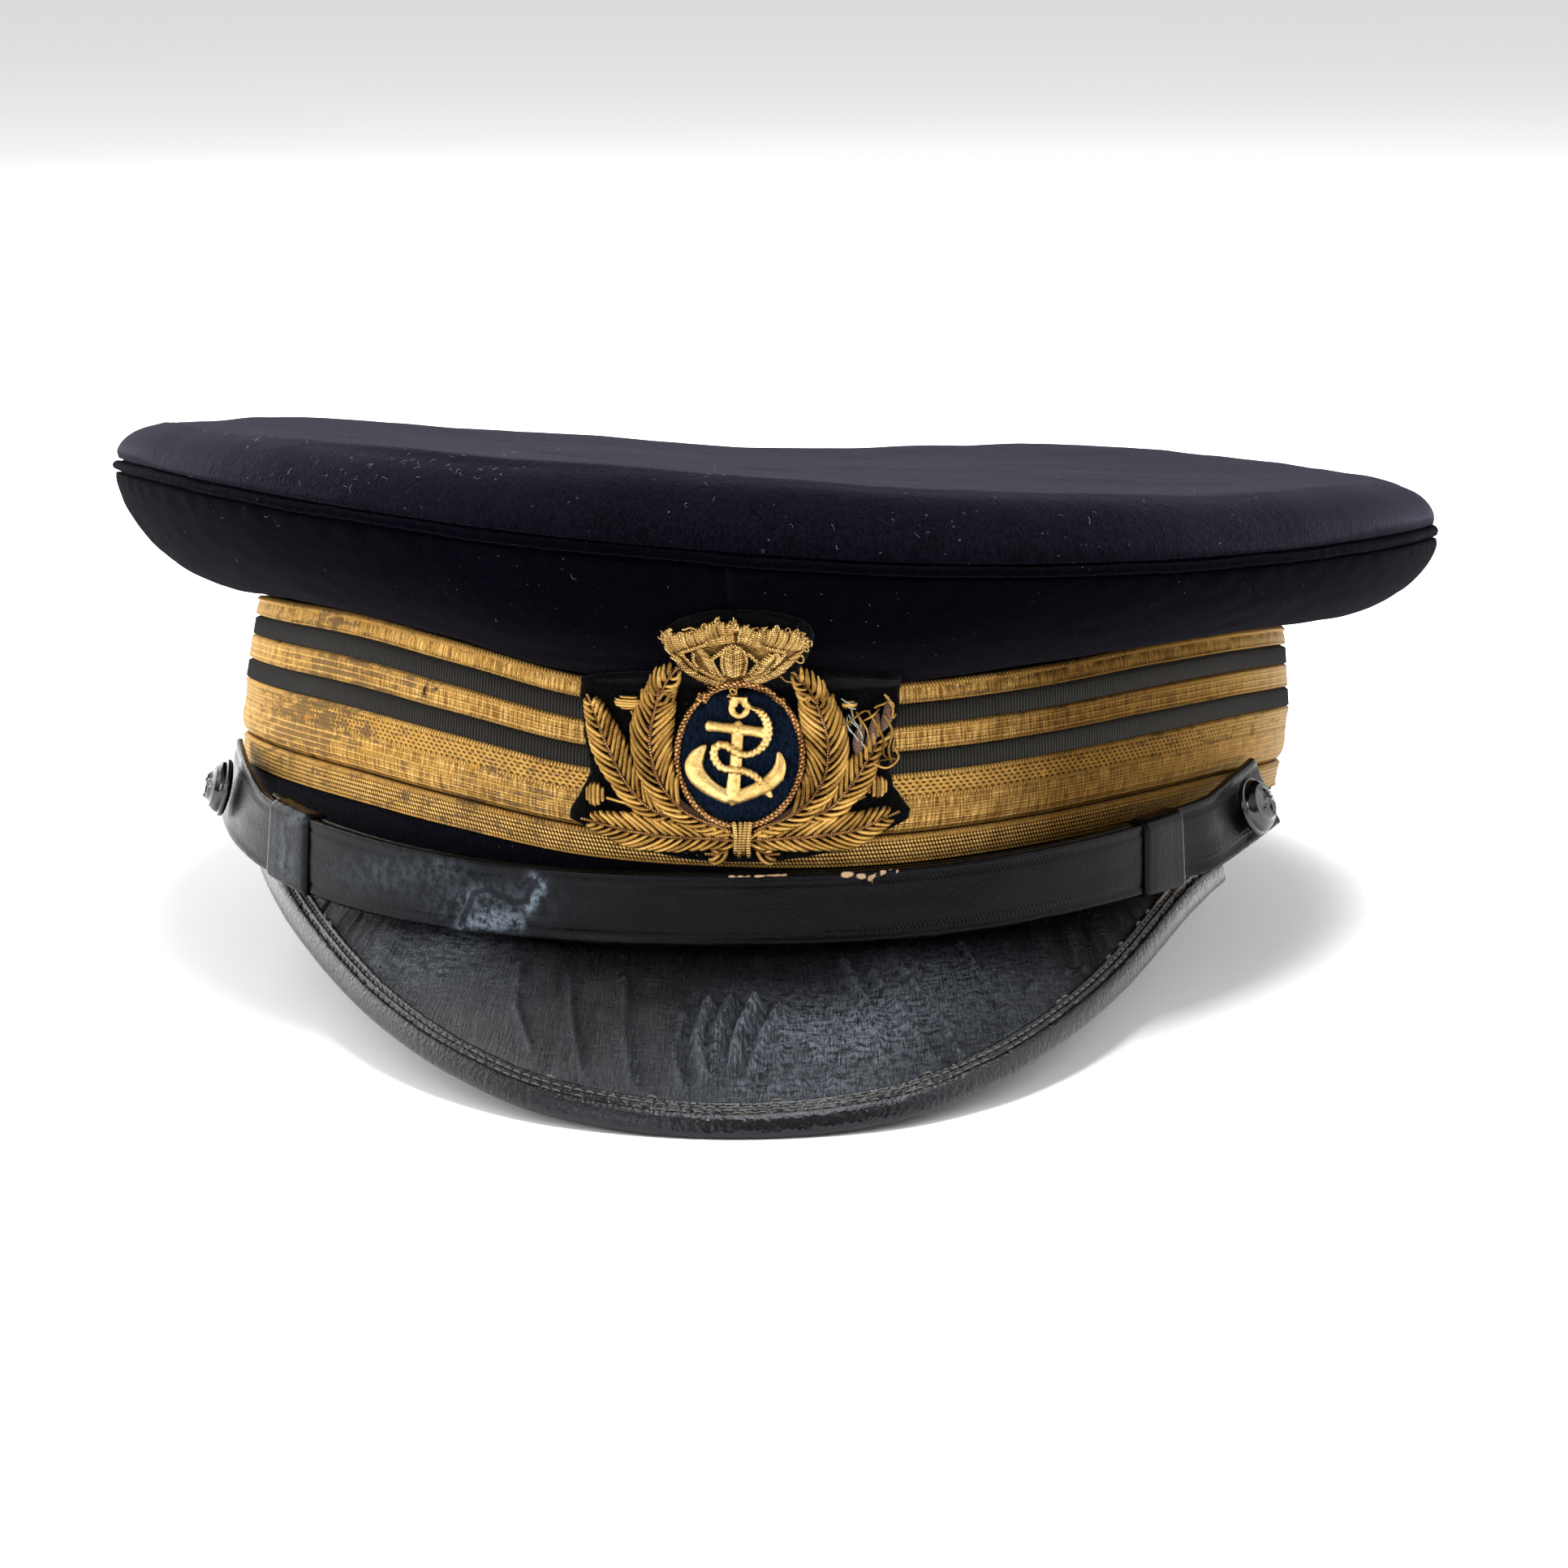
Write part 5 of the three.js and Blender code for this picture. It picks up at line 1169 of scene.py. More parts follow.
def loop_piece(node, lo, hi):
    n, k = 25, 14
    a = np.linspace(lo, hi, n)
    width = 11.0
    deep_out, deep_in = -0.75, STRAP + LAYER + 0.75
    depth = deep_in - deep_out

    def ring(inset, radius, shrink):
        # rounded rectangle: across the strap (mm) by depth (mm)
        w2 = width / 2 + 0.62 - inset
        d2 = depth / 2 - inset
        r = min(radius, d2 - 0.05)
        pts = []
        for cx, cy, a0 in ((w2 - r, d2 - r, 0), (-(w2 - r), d2 - r, 90), (-(w2 - r), -(d2 - r), 180), (w2 - r, -(d2 - r), 270)):
            for t in np.linspace(0, 90, 7):
                an = math.radians(a0 + t)
                pts.append((cx + (r + shrink) * math.cos(an), cy + (r + shrink) * math.sin(an)))
        # extra points along the wide faces
        out = []
        for i, p in enumerate(pts):
            out.append(p)
            q = pts[(i + 1) % len(pts)]
            if abs(q[0] - p[0]) > 3:
                out.extend([(lerp(p[0], q[0], t), lerp(p[1], q[1], t)) for t in (0.14, 0.28, 0.43, 0.57, 0.72, 0.86)])
        return np.array(out)
    loops = []
    for i, ang in enumerate(a):
        end = min(i, n - 1 - i)
        shrink = (-0.34, -0.10, 0.02)[end] if end < 3 else 0.0
        shrink += 0.05 * float(noise(ang * 1.3, 2.0, 5))
        o = ring(0.0, 1.5, shrink)
        loops.append(o)
    inner = ring(0.55, 0.6, 0.0)
    m = len(loops[0])
    P = np.zeros((n, 2 * m, 3))
    mid = (deep_out + deep_in) / 2
    for i, ang in enumerate(a):
        pts = np.vstack([loops[i], inner[:m] if len(inner) == m else inner])
        share = 0.5 + pts[:, 0] / width
        deep = mid - pts[:, 1]
        P[i] = strap_point(ang, share, deep)
    outer_faces, faces = [], []
    for i in range(n - 1):
        for j in range(m):
            l = (j + 1) % m
            A_, B_ = i * 2 * m, (i + 1) * 2 * m
            faces.append([A_ + j, B_ + j, B_ + l, A_ + l])
            faces.append([A_ + m + j, A_ + m + l, B_ + m + l, B_ + m + j])
    for j in range(m):
        l = (j + 1) % m
        faces.append([j, l, m + l, m + j])
        E_ = (n - 1) * 2 * m
        faces.append([E_ + j, E_ + m + j, E_ + m + l, E_ + l])
    wv = np.zeros((n, 2 * m, 3))
    wv[..., 0] = np.arange(n)[:, None] * 0.6
    wv[..., 1] = 5.0
    zero = np.zeros((n, 2 * m))
    X, Y = px(P)
    scuff = 0.30 * blob(X, Y, 362, 1012, 14, 12) + 0.25 * blob(X, Y, 350, 1060, 16, 30)
    make('leather_' + node, P, faces, STRAP_SKIN,
         {'wv': wv, 'scuff': scuff, 'torn': zero, 'inked': zero}, (node,))


loop_piece('strap_loop_left', -52.2, -45.4)
loop_piece('strap_loop_right', 41.4, 46.8)


def button_piece(node, angle, share, spin):
    at = lambda a, s, d: strap_point(a, s, d)
    c = at(angle, share, 0.0)
    along = at(angle + 2, share, 0.0) - at(angle - 2, share, 0.0)
    up = at(angle, share + 0.2, 0.0) - at(angle, share - 0.2, 0.0)
    ax = np.cross(along, up)
    ax /= np.linalg.norm(ax)
    if np.dot(ax, oval_normal('lace_low', angle)) < 0:
        ax = -ax
    up = up - ax * np.dot(up, ax)
    up /= np.linalg.norm(up)
    right = np.cross(up, ax)
    n, sides = 40, 72
    prof = [(0.001, -0.10), (0.55, -0.10), (0.90, 0.0), (0.985, 0.07), (1.0, 0.16), (0.985, 0.24), (0.95, 0.285), (0.915, 0.28), (0.885, 0.30)]
    for t in np.linspace(0.06, 1, 24):
        prof.append((0.885 * math.cos(t * math.pi / 2) ** 0.85, 0.30 + 0.60 * math.sin(t * math.pi / 2)))
    prof[-1] = (0.001, prof[-1][1])
    R = np.array([p[0] for p in prof])[:, None] * BUTTON_R
    H = np.array([p[1] for p in prof])[:, None] * BUTTON_H
    ph = np.arange(sides)[None, :] / sides * 2 * np.pi
    X, Y = R * np.cos(ph + spin), R * np.sin(ph + spin)
    dome = smooth(H / BUTTON_H, 0.29, 0.36)
    # generic relief: a plain anchor inside a ring
    r = np.hypot(X, Y)
    relief = 0.22 * np.exp(-((r - 3.15) / 0.16) ** 2) * (0.75 + 0.25 * np.cos(ph * 30))
    for line, w in (([(0, -1.8), (0, 1.3)], 0.30), ([(-1.0, 0.75), (1.0, 0.75)], 0.24),
                    ([(-1.6, -0.35), (-1.35, -1.1), (-0.7, -1.7), (0, -1.9), (0.7, -1.7), (1.35, -1.1), (1.6, -0.35)], 0.34),
                    ([(-0.35, 1.75), (0, 2.05), (0.35, 1.75), (0, 1.45), (-0.35, 1.75)], 0.18)):
        relief = relief + 0.42 * near_line(X, Y, line, w)
    H = H + relief * dome
    P = c + ax * 0.72 + X[..., None] * right + Y[..., None] * up + H[..., None] * ax
    P = P.reshape(len(prof), sides, 3)
    faces = grid_faces(len(prof), sides, False, True).tolist()
    faces.append(list(range(sides)))
    faces.append([(len(prof) - 1) * sides + k for k in range(sides)][::-1])
    make('black_' + node, P, faces, BUTTON, None, (node,))


button_piece('button_left', -65.5, 0.5, 0.2)
button_piece('button_right', 59, 0.48, -0.15)

# --------------------------------------------------------------------- badge
_U = np.arange(-28, 28.01, 0.5)
_V = np.arange(-18, 26.01, 0.5)


def _badge_base(u, v):
    rise = np.maximum(v - 9, 0)
    z = BADGE_Z + np.minimum(v, 9) + 1.28 * rise
    angle = np.degrees(np.arcsin(np.clip((BADGE_X + u) / 84, -0.98, 0.98)))
    bx, by = on_oval('lace_mid', angle)
    n = oval_normal('lace_mid', angle)
    ztop = section('lace_top', angle) + GAP
    lo, hi = np.zeros_like(z), np.ones_like(z)
    for _ in range(18):
        mid = (lo + hi) / 2
        below = crown_side(angle, mid)[..., 2] < z
        lo, hi = np.where(below, mid, lo), np.where(below, hi, mid)
    p = crown_side(angle, lo)
    reach = np.where(z > ztop, (p[..., 0] - bx) * n[..., 0] + (p[..., 1] - by) * n[..., 1], (z - ztop) * 1.1)
    off = np.log(1 + np.exp(0.9 * reach)) / 0.9 + 0.25
    return np.stack([bx + n[..., 0] * off, by + n[..., 1] * off, z], -1)


_G = _badge_base(*np.meshgrid(_U, _V, indexing='ij'))
_du = np.gradient(_G, axis=0)
_dv = np.gradient(_G, axis=1)
_N = np.cross(_du, _dv)
_N /= np.linalg.norm(_N, axis=2, keepdims=True)


def badge_point(u, v, w):
    """Point of the badge, w above the cloth that carries it."""
    u, v, w = np.broadcast_arrays(*[np.asarray(t, float) for t in (u, v, w)])
    fu = np.clip((u - _U[0]) / 0.5, 0, len(_U) - 1.001)
    fv = np.clip((v - _V[0]) / 0.5, 0, len(_V) - 1.001)
    i, j = fu.astype(int), fv.astype(int)
    a, b = (fu - i)[..., None], (fv - j)[..., None]
    at = lambda G: (G[i, j] * (1 - a) * (1 - b) + G[i + 1, j] * a * (1 - b) + G[i, j + 1] * (1 - a) * b + G[i + 1, j + 1] * a * b)
    return at(_G) + at(_N) * w[..., None]


def badge_px(points, w=2.4):
    """Badge coordinates of pixels of the 1932 px frame, for work w above the cloth."""
    p = np.asarray(points, float)
    u, v = (p[..., 0] - 912) / 8.82, (930 - p[..., 1]) / 8.65
    for _ in range(8):
        x, y = px(badge_point(u, v, w))
        u, v = u + (p[..., 0] - x) / 8.9, v - (p[..., 1] - y) / 8.8
    return np.stack([u, v], -1)


# the patch's outline: height, left and right edge, in pixels of the frame
PATCH_ROWS = [[758, 884, 938], [763, 856, 966], [769, 836, 986], [778, 821, 999], [790, 815, 1004], [804, 818, 1001], [818, 829, 992],
              [830, 836, 985], [834, 806, 1030], [837, 714, 1110], [846, 713, 1111], [872, 715, 1109], [901, 718, 1103], [917, 720, 1101],
              [952, 726, 1098], [970, 717, 1103], [985, 708, 1114], [998, 702, 1124], [1009, 701, 1121], [1020, 722, 1102], [1033, 748, 1078],
              [1045, 777, 1046], [1053, 812, 1014], [1060, 852, 970], [1063, 884, 940]]


def patch_piece():
    R = np.array(PATCH_ROWS)
    yy = np.unique(np.concatenate([np.linspace(R[0, 0], R[-1, 0], 130), R[:, 0]]))
    left = np.interp(yy, R[:, 0], R[:, 1]) + 1.6 * noise(yy * 0.16, 0 * yy, 3)
    right = np.interp(yy, R[:, 0], R[:, 2]) + 1.6 * noise(yy * 0.16, 0 * yy + 5, 6)
    m = 80
    k = np.linspace(0, 1, m)[None, :]
    X = lerp(left[:, None], right[:, None], k)
    Y = np.broadcast_to(yy[:, None], X.shape)
    uv = badge_px(np.stack([X, Y], -1), 1.1)
    u, V = uv[..., 0], uv[..., 1]
    v = V[:, 0]
    edge = np.minimum(np.minimum(X - left[:, None], right[:, None] - X), np.minimum(Y - yy[0], yy[-1] - Y)) / 8.8
    w = 1.12 - 0.55 * np.exp(-(edge / 0.35) ** 2) + 0.12 * fbm(u / 2.2, V / 2.2, 4, 3)
    top = badge_point(u, V, w)
    bot = badge_point(u, V, 0.12 + 0 * u)
    verts = np.concatenate([top.reshape(-1, 3), bot.reshape(-1, 3)])
    n = len(v)
    base = n * m
    f = grid_faces(n, m, False, False)
    faces = f.tolist() + (f[:, ::-1] + base).tolist()
    rim = [k for k in range(m)] + [i * m + m - 1 for i in range(1, n)] + [(n - 1) * m + k for k in range(m - 2, -1, -1)] + [i * m for i in range(n - 2, 0, -1)]
    for i, p in enumerate(rim):
        q = rim[(i + 1) % len(rim)]
        faces.append([p, p + base, q + base, q])
    make('felt_badge_patch', verts, faces, PATCH_FELT, None, ('badge_patch',))


patch_piece()


def field_piece():
    F0 = badge_px((911.5, 930.5), 2.4)
    n, m = 120, 26
    ph = np.arange(n)[:, None] / n * 2 * np.pi
    r = np.linspace(1, 0.03, m)[None, :]
    u, v = F0[0] + 8.25 * r * np.cos(ph), F0[1] + 9.7 * r * np.sin(ph)
    w = 2.45 + 0.10 * fbm(u / 1.6, v / 1.6, 5, 3) - 0.35 * np.exp(-((1 - r) / 0.03) ** 2)
    P = badge_point(u, v, w)
    skirt = badge_point(F0[0] + 8.25 * np.cos(ph), F0[1] + 9.7 * np.sin(ph), 1.5 + 0 * ph)
    P = np.concatenate([skirt, P], 1)
    faces = grid_faces(n, m + 1, True, False).tolist()
    faces.append([i * (m + 1) + m for i in range(n)])
    faces.append([i * (m + 1) for i in range(n)][::-1])
    make('felt_badge_field', P, faces, FIELD_FELT, None, ('badge_field',))


field_piece()


def rope(path_uvw, r, pitch, plies, sides=6, closed=False, per=9):
    """Twisted cord: plies wound about a path given as (u, v, w) rows."""
    P = np.asarray(path_uvw, float)
    seg = np.linalg.norm(np.diff(P[:, :2], axis=0), axis=1)
    s = np.concatenate([[0], np.cumsum(seg)])
    turns = max(2, round(s[-1] / pitch))
    n = turns * per + 1
    q = np.linspace(0, s[-1], n)
    C = np.stack([np.interp(q, s, P[:, k]) for k in range(3)], 1)
    T = np.gradient(C[:, :2], axis=0)
    T /= np.linalg.norm(T, axis=1, keepdims=True) + 1e-12
    out = []
    for k in range(plies):
        ph = 2 * np.pi * (np.arange(n) / per + k / plies)
        a, b = 0.52 * r * np.cos(ph), 0.52 * r * np.sin(ph)
        u = C[:, 0] - T[:, 1] * a
        v = C[:, 1] + T[:, 0] * a
        out.append(badge_point(u, v, C[:, 2] + b))
    out = np.array(out)
    return out, np.full(out.shape[:2], 0.56 * r)


class Bunch:
    """Gathers tubes of different lengths into one piece."""

    def __init__(self):
        self.V, self.F, self.W, self.n = [], [], [], 0

    def add(self, paths, radii, sides=6, pick=None):
        V, F, W = tubes(paths, radii, sides)
        W = W.copy()
        if pick is not None:
            W[:, 2] = pick
        else:
            W[:, 2] = np.repeat(rng.random(len(paths)), len(V) // len(paths))
        self.F += [[i + self.n for i in f] for f in F]
        self.V.append(V)
        self.W.append(W)
        self.n += len(V)

    def make(self, name, material, slot, replaces=()):
        return make(name, np.vstack(self.V), self.F, material, {'wv': np.vstack(self.W)}, replaces)


def curve_points(rows, count):
    """Smooth curve through the rows (Catmull-Rom), evenly spaced."""
    P = np.asarray(rows, float)
    P = np.vstack([2 * P[0] - P[1], P, 2 * P[-1] - P[-2]])
    out = []
    for i in range(1, len(P) - 2):
        t = np.linspace(0, 1, 24, endpoint=False)[:, None]
        p0, p1, p2, p3 = P[i - 1], P[i], P[i + 1], P[i + 2]
        out.append(0.5 * (2 * p1 + (p2 - p0) * t + (2 * p0 - 5 * p1 + 4 * p2 - p3) * t * t + (3 * p1 - p0 - 3 * p2 + p3) * t**3))
    out.append(P[-2][None])
    C = np.vstack(out)
    s = np.concatenate([[0], np.cumsum(np.linalg.norm(np.diff(C[:, :2], axis=0), axis=1))])
    q = np.linspace(0, s[-1], count)
    return np.stack([np.interp(q, s, C[:, k]) for k in range(C.shape[1])], 1), s[-1]


# Leaves: rib through pixels of the frame, then half widths (mm) on the two
# sides at the root, the widest place and near the tip; lean of the strands.
# side +1 is to the left of the rib's direction of travel.
LEAF_COLUMNS = ['rib', 'half_a', 'half_b', 'wide_at', 'base_w', 'tip_share']
LEAVES = [
    # left side: inner leaf, outer leaf, bottom leaf, small leaf
    ('L', [(909, 1030), (893, 1021), (866, 1012), (838, 995), (815, 968), (803, 935), (801, 905), (806, 878), (815, 852), (829, 828), (842, 818)], 2.5, 2.7, 0.55, 2.35, 0.10),
    ('L', [(850, 1012), (806, 999), (777, 972), (757, 938), (742, 903), (730, 870), (722, 851)], 2.1, 2.3, 0.55, 2.0, 0.06),
    ('L', [(915, 1037), (895, 1035), (866, 1033), (822, 1031), (778, 1024), (742, 1015), (712, 1007)], 2.2, 2.3, 0.55, 2.15, 0.05),
    ('L', [(900, 1044), (885, 1052), (868, 1052)], 1.3, 1.1, 0.5, 1.6, 0.30),
    # right side
    ('R', [(921, 1030), (937, 1021), (960, 1012), (988, 996), (1010, 970), (1020, 938), (1019, 908), (1011, 880), (1000, 856), (984, 836), (972, 824)], 2.7, 2.5, 0.55, 2.35, 0.10),
    ('R', [(985, 1010), (1022, 996), (1048, 968), (1068, 938), (1082, 912)], 2.3, 2.1, 0.50, 2.0, 0.45),
    ('R', [(915, 1037), (936, 1035), (966, 1033), (1010, 1030), (1056, 1022), (1088, 1008), (1112, 998)], 2.3, 2.2, 0.55, 2.15, 0.05),
    ('R', [(928, 1044), (945, 1052), (962, 1052)], 1.1, 1.3, 0.5, 1.6, 0.30),
]


def leaf_pieces():
    gold = {'L': Bunch(), 'R': Bunch()}
    ribs = {'L': Bunch(), 'R': Bunch()}
    for side, rib_px, half_a, half_b, wide_at, base_w, tip in LEAVES:
        half_a, half_b = 1.16 * half_a, 1.16 * half_b
        C, length = curve_points(badge_px(rib_px, base_w + 0.3), 200)
        s = np.linspace(0, length, 200)
        T = np.gradient(C, axis=0)
        T /= np.linalg.norm(T, axis=1, keepdims=True)
        Nn = np.stack([-T[:, 1], T[:, 0]], 1)
        strand_r = 0.335
        lean = math.radians(29)
        pitch = 2 * strand_r / math.sin(lean) * 0.88

        def half(q, h):
            t = np.clip(q / length, 0, 1)
            rise = np.clip(t / wide_at, 0, 1) ** 0.6
            fall = np.clip((1 - t) / (1 - wide_at), 0, 1) ** 0.62
            return h * np.minimum(rise * 0.75 + 0.25, 1) * np.maximum(fall, tip)
        for sign, h in ((1, half_a), (-1, half_b)):
            q0 = -0.6
            while q0 < length - 0.5:
                q0 += pitch * rng.uniform(0.94, 1.06)
                lateral = np.linspace(0, 1, 9)
                # run along the rib while moving out to the leaf's edge
                reach = half(q0 + 1.4, h) * rng.uniform(0.94, 1.04)
                if reach < 0.5:
                    continue
                run = reach / math.tan(lean * rng.uniform(0.94, 1.07))
                bow = np.sin(lateral * np.pi) * 0.10 * reach
                q = q0 + lateral * run
                qc = np.clip(q, 0, length)
                base = np.stack([np.interp(qc, s, C[:, 0]), np.interp(qc, s, C[:, 1])], 1)
                over = (q - qc)[:, None]
                tt = np.stack([np.interp(qc, s, T[:, 0]), np.interp(qc, s, T[:, 1])], 1)
                nn = np.stack([np.interp(qc, s, Nn[:, 0]), np.interp(qc, s, Nn[:, 1])], 1)
                out = np.minimum(0.16 + lateral * reach + bow, np.maximum(half(q, h), 0.35) + 0.25)
                pts = base + tt * over + nn * (sign * out)[:, None]
                if math.hypot(pts[-1, 0] / 8.6, pts[-1, 1] / 10.0) < 0.99 and math.hypot(pts[0, 0] / 8.9, pts[0, 1] / 10.3) > 1.0:
                    # strands that would cross the cord stop at it
                    rr = np.hypot(pts[:, 0] / 9.0, pts[:, 1] / 10.4)
                    okn = rr > 1.0
                    if okn.sum() < 3:
                        continue
                    last = np.argmin(okn) if (~okn).any() else len(rr)
                    f = np.linspace(0, max(last - 1, 2), 9)
                    pts = np.stack([np.interp(f, np.arange(9), pts[:, 0]), np.interp(f, np.arange(9), pts[:, 1])], 1)
                elif math.hypot(pts[4, 0] / 9.0, pts[4, 1] / 10.4) < 1.0:
                    continue
                w = base_w + 0.55 * np.sin(np.pi * (0.12 + 0.76 * lateral)) - 0.75 * smooth(lateral, 0.72, 1.0) + rng.normal(0, 0.09)
                path = badge_point(pts[:, 0], pts[:, 1], w)
                r = strand_r * np.sqrt(np.clip(1 - (2 * np.abs(lateral - 0.5)) ** 8, 0.25, 1)) * rng.uniform(0.92, 1.08)
                gold[side].add([path], [r], 7)
        # copper rib, two plies
        rib = np.column_stack([C[6:-4], np.full(len(C) - 10, base_w + 0.30)])
        P, R = rope(rib, 0.25, 0.85, 2, sides=6)
        ribs[side].add(P, R, 6, pick=0.3)
    return gold, ribs


gold_bunch, rib_bunch = leaf_pieces()


def berry(bunch, centre, ru, rv, upright, stem):
    (cu, cv) = badge_px(centre)
    n = max(4, int((2 * (ru if upright else rv)) / 0.62) + 1)
    for i in range(n):
        f = (i + 0.5) / n * 2 - 1
        half = math.sqrt(max(1 - f * f, 0.08)) * (rv if upright else ru)
        t = np.linspace(-1, 1, 9)
        u = cu + (f * ru if upright else 0) + (0 if upright else 1) * t * half
        v = cv + (0 if upright else f * rv) + (1 if upright else 0) * t * half
        w = 1.75 + 0.75 * (1 - f * f) * np.sqrt(np.clip(1 - t**4, 0, 1))
        bunch.add([badge_point(u, v, w)], [0.31 * np.sqrt(np.clip(1 - t**6, 0.2, 1))], 7)
    if stem:
        C, L = curve_points(badge_px(stem), 24)
        bunch.add([badge_point(C[:, 0], C[:, 1], 1.55 + 0 * C[:, 0])], [np.full(24, 0.26)], 7)


berry(gold_bunch['L'], (774, 866), 2.15, 1.25, False, [(776, 877), (782, 890), (781, 903), (776, 912)])
berry(gold_bunch['L'], (732, 979), 1.30, 1.75, True, [(745, 984), (762, 989), (782, 995), (800, 1003)])
berry(gold_bunch['R'], (1082, 970), 1.30, 1.65, True, [(1068, 982), (1052, 989), (1036, 993), (1024, 1000)])
berry(gold_bunch['R'], (1047, 869), 1.05, 0.55, False, [(1050, 875), (1052, 884), (1048, 896)])
gold_bunch['L'].make('bullion_wreath_left', BULLION, 'gold_bullion', ('badge_wreath_left',))
gold_bunch['R'].make('bullion_wreath_right', BULLION, 'gold_bullion', ('badge_wreath_right',))
rib_bunch['L'].make('wreath_ribs_left', COPPER, 'copper_cord')
rib_bunch['R'].make('wreath_ribs_right', COPPER, 'copper_cord')


def pad_piece():
    """Soft padding that the bullions lie on, and that shows where they are torn away."""
    B = Bunch()
    for side, rib_px, ha, hb, wide_at, base_w, tip in LEAVES:
        C, L = curve_points(badge_px(rib_px, base_w), 40)
        C = C[4:30]
        t = np.linspace(0, 1, len(C))
        r = np.minimum(ha, hb) * 0.62 * np.sin(np.pi * (0.10 + 0.82 * t)) ** 0.6
        B.add([badge_point(C[:, 0], C[:, 1], base_w - 1.1 + 0 * t)], [np.minimum(r, 0.75)], 10, pick=0.2)
    for pts in ([(1068, 928), (1076, 905), (1082, 880)], [(1082, 905), (1094, 885), (1097, 864)], [(1060, 935), (1058, 915), (1064, 893)]):
        C, L = curve_points(badge_px(pts), 16)
        t = np.linspace(0, 1, 16)
        B.add([badge_point(C[:, 0], C[:, 1], 1.75 + 0.3 * np.sin(np.pi * t))], [0.22 + 0.55 * np.sin(np.pi * (0.08 + 0.84 * t))], 10, pick=0.7)
    B.make('wreath_padding', RUST_PAD, 'badge_felt')


pad_piece()


def frayed():
    gold, pale = Bunch(), Bunch()
    # loose ends of wire and thread at the worn right-hand leaf
    g = [[(1025, 897), (1038, 893), (1050, 884), (1062, 876), (1072, 876)], [(1070, 876), (1078, 892), (1086, 908), (1088, 928), (1094, 935)],
         [(1078, 872), (1082, 866), (1092, 862), (1094, 858)], [(1092, 858), (1098, 870), (1099, 884), (1104, 880)], [(1060, 884), (1068, 900), (1070, 922), (1062, 936)],
         [(1088, 880), (1096, 898), (1092, 920), (1097, 938)], [(1084, 938), (1098, 934), (1108, 938)], [(1074, 940), (1090, 944), (1104, 932), (1100, 920)],
         [(1056, 878), (1060, 892), (1056, 905)], [(1090, 856), (1096, 862), (1101, 872)], [(1066, 888), (1075, 880), (1084, 874)]]
    for pts in g:
        C, L = curve_points(badge_px(pts), 30)
        t = np.linspace(0, 1, 30)
        w = 2.3 + 0.9 * np.sin(np.pi * t) + 0.25 * rng.normal()
        gold.add([badge_point(C[:, 0], C[:, 1], w)], [np.full(30, rng.uniform(0.12, 0.20))], 6)
    p = [[(1037, 862), (1046, 866), (1056, 869)], [(1039, 868), (1048, 872), (1055, 874)], [(1046, 881), (1050, 890), (1058, 898), (1062, 910), (1060, 922)],
         [(1044, 898), (1052, 905), (1058, 915), (1062, 926)], [(1050, 876), (1052, 888), (1060, 896)], [(1056, 905), (1062, 916), (1068, 924)],
         [(1044, 884), (1044, 894), (1050, 902)]]
    for pts in p:
        C, L = curve_points(badge_px(pts), 20)
        t = np.linspace(0, 1, 20)
        pale.add([badge_point(C[:, 0], C[:, 1], 2.2 + 0.5 * np.sin(np.pi * t))], [np.full(20, 0.09)], 5)
    # a loose bit of wire under the crown, over the oval
    t = np.linspace(0, 1, 60)
    u = badge_px((0, 0))[0] * 0 + (898 + 8 * t + 3.4 * np.sin(t * 17)) / 1.0
    v = 856 - 11 * t + 2.6 * np.cos(t * 17)
    uv = badge_px(np.stack([u, v], 1))
    gold.add([badge_point(uv[:, 0], uv[:, 1], 2.9 + 0.4 * np.sin(t * 9))], [np.full(60, 0.13)], 6)
    gold.make('loose_wire', BULLION, 'gold_bullion')
    pale.make('loose_threads', GREEN_THREAD, 'gold_bullion')


frayed()


def cord_ring():
    ph = np.linspace(0, 2 * np.pi, 400)
    uv = badge_px(np.stack([911.5 + 77 * np.cos(ph), 930.5 - 88 * np.sin(ph)], 1), 2.5)
    path = np.column_stack([uv, np.full(400, 2.5)])
    P, R = rope(path, 0.47, 1.15, 2, per=10)
    B = Bunch()
    B.add(P, R, 8, pick=0.5)
    B.make('copper_cord_ring', COPPER, 'copper_cord', ('badge_cord',))


cord_ring()


def tie_piece():
    B = Bunch()
    for i in range(4):
        x = 904.5 + i * 6.6
        t = np.linspace(0, 1, 26)
        pts = badge_px(np.stack([x + 1.4 * np.sin(3 * t + i) + (1.5 - i) * 1.0 * t, 1012 + (42 + 4 * (i % 2)) * t], 1), 3.1)
        w = 2.95 + 0.42 * np.sin(np.pi * np.clip(t * 0.9 + 0.1, 0, 1)) - 0.5 * smooth(t, 0.88, 1.0)
        B.add([badge_point(pts[:, 0], pts[:, 1], w)], [0.37 * np.sqrt(np.clip(1 - (2 * np.abs(t - 0.5)) ** 10, 0.3, 1))], 8)
    B.make('bullion_tie', CROWN_WIRE, 'gold_bullion', ('badge_tie',))


tie_piece()


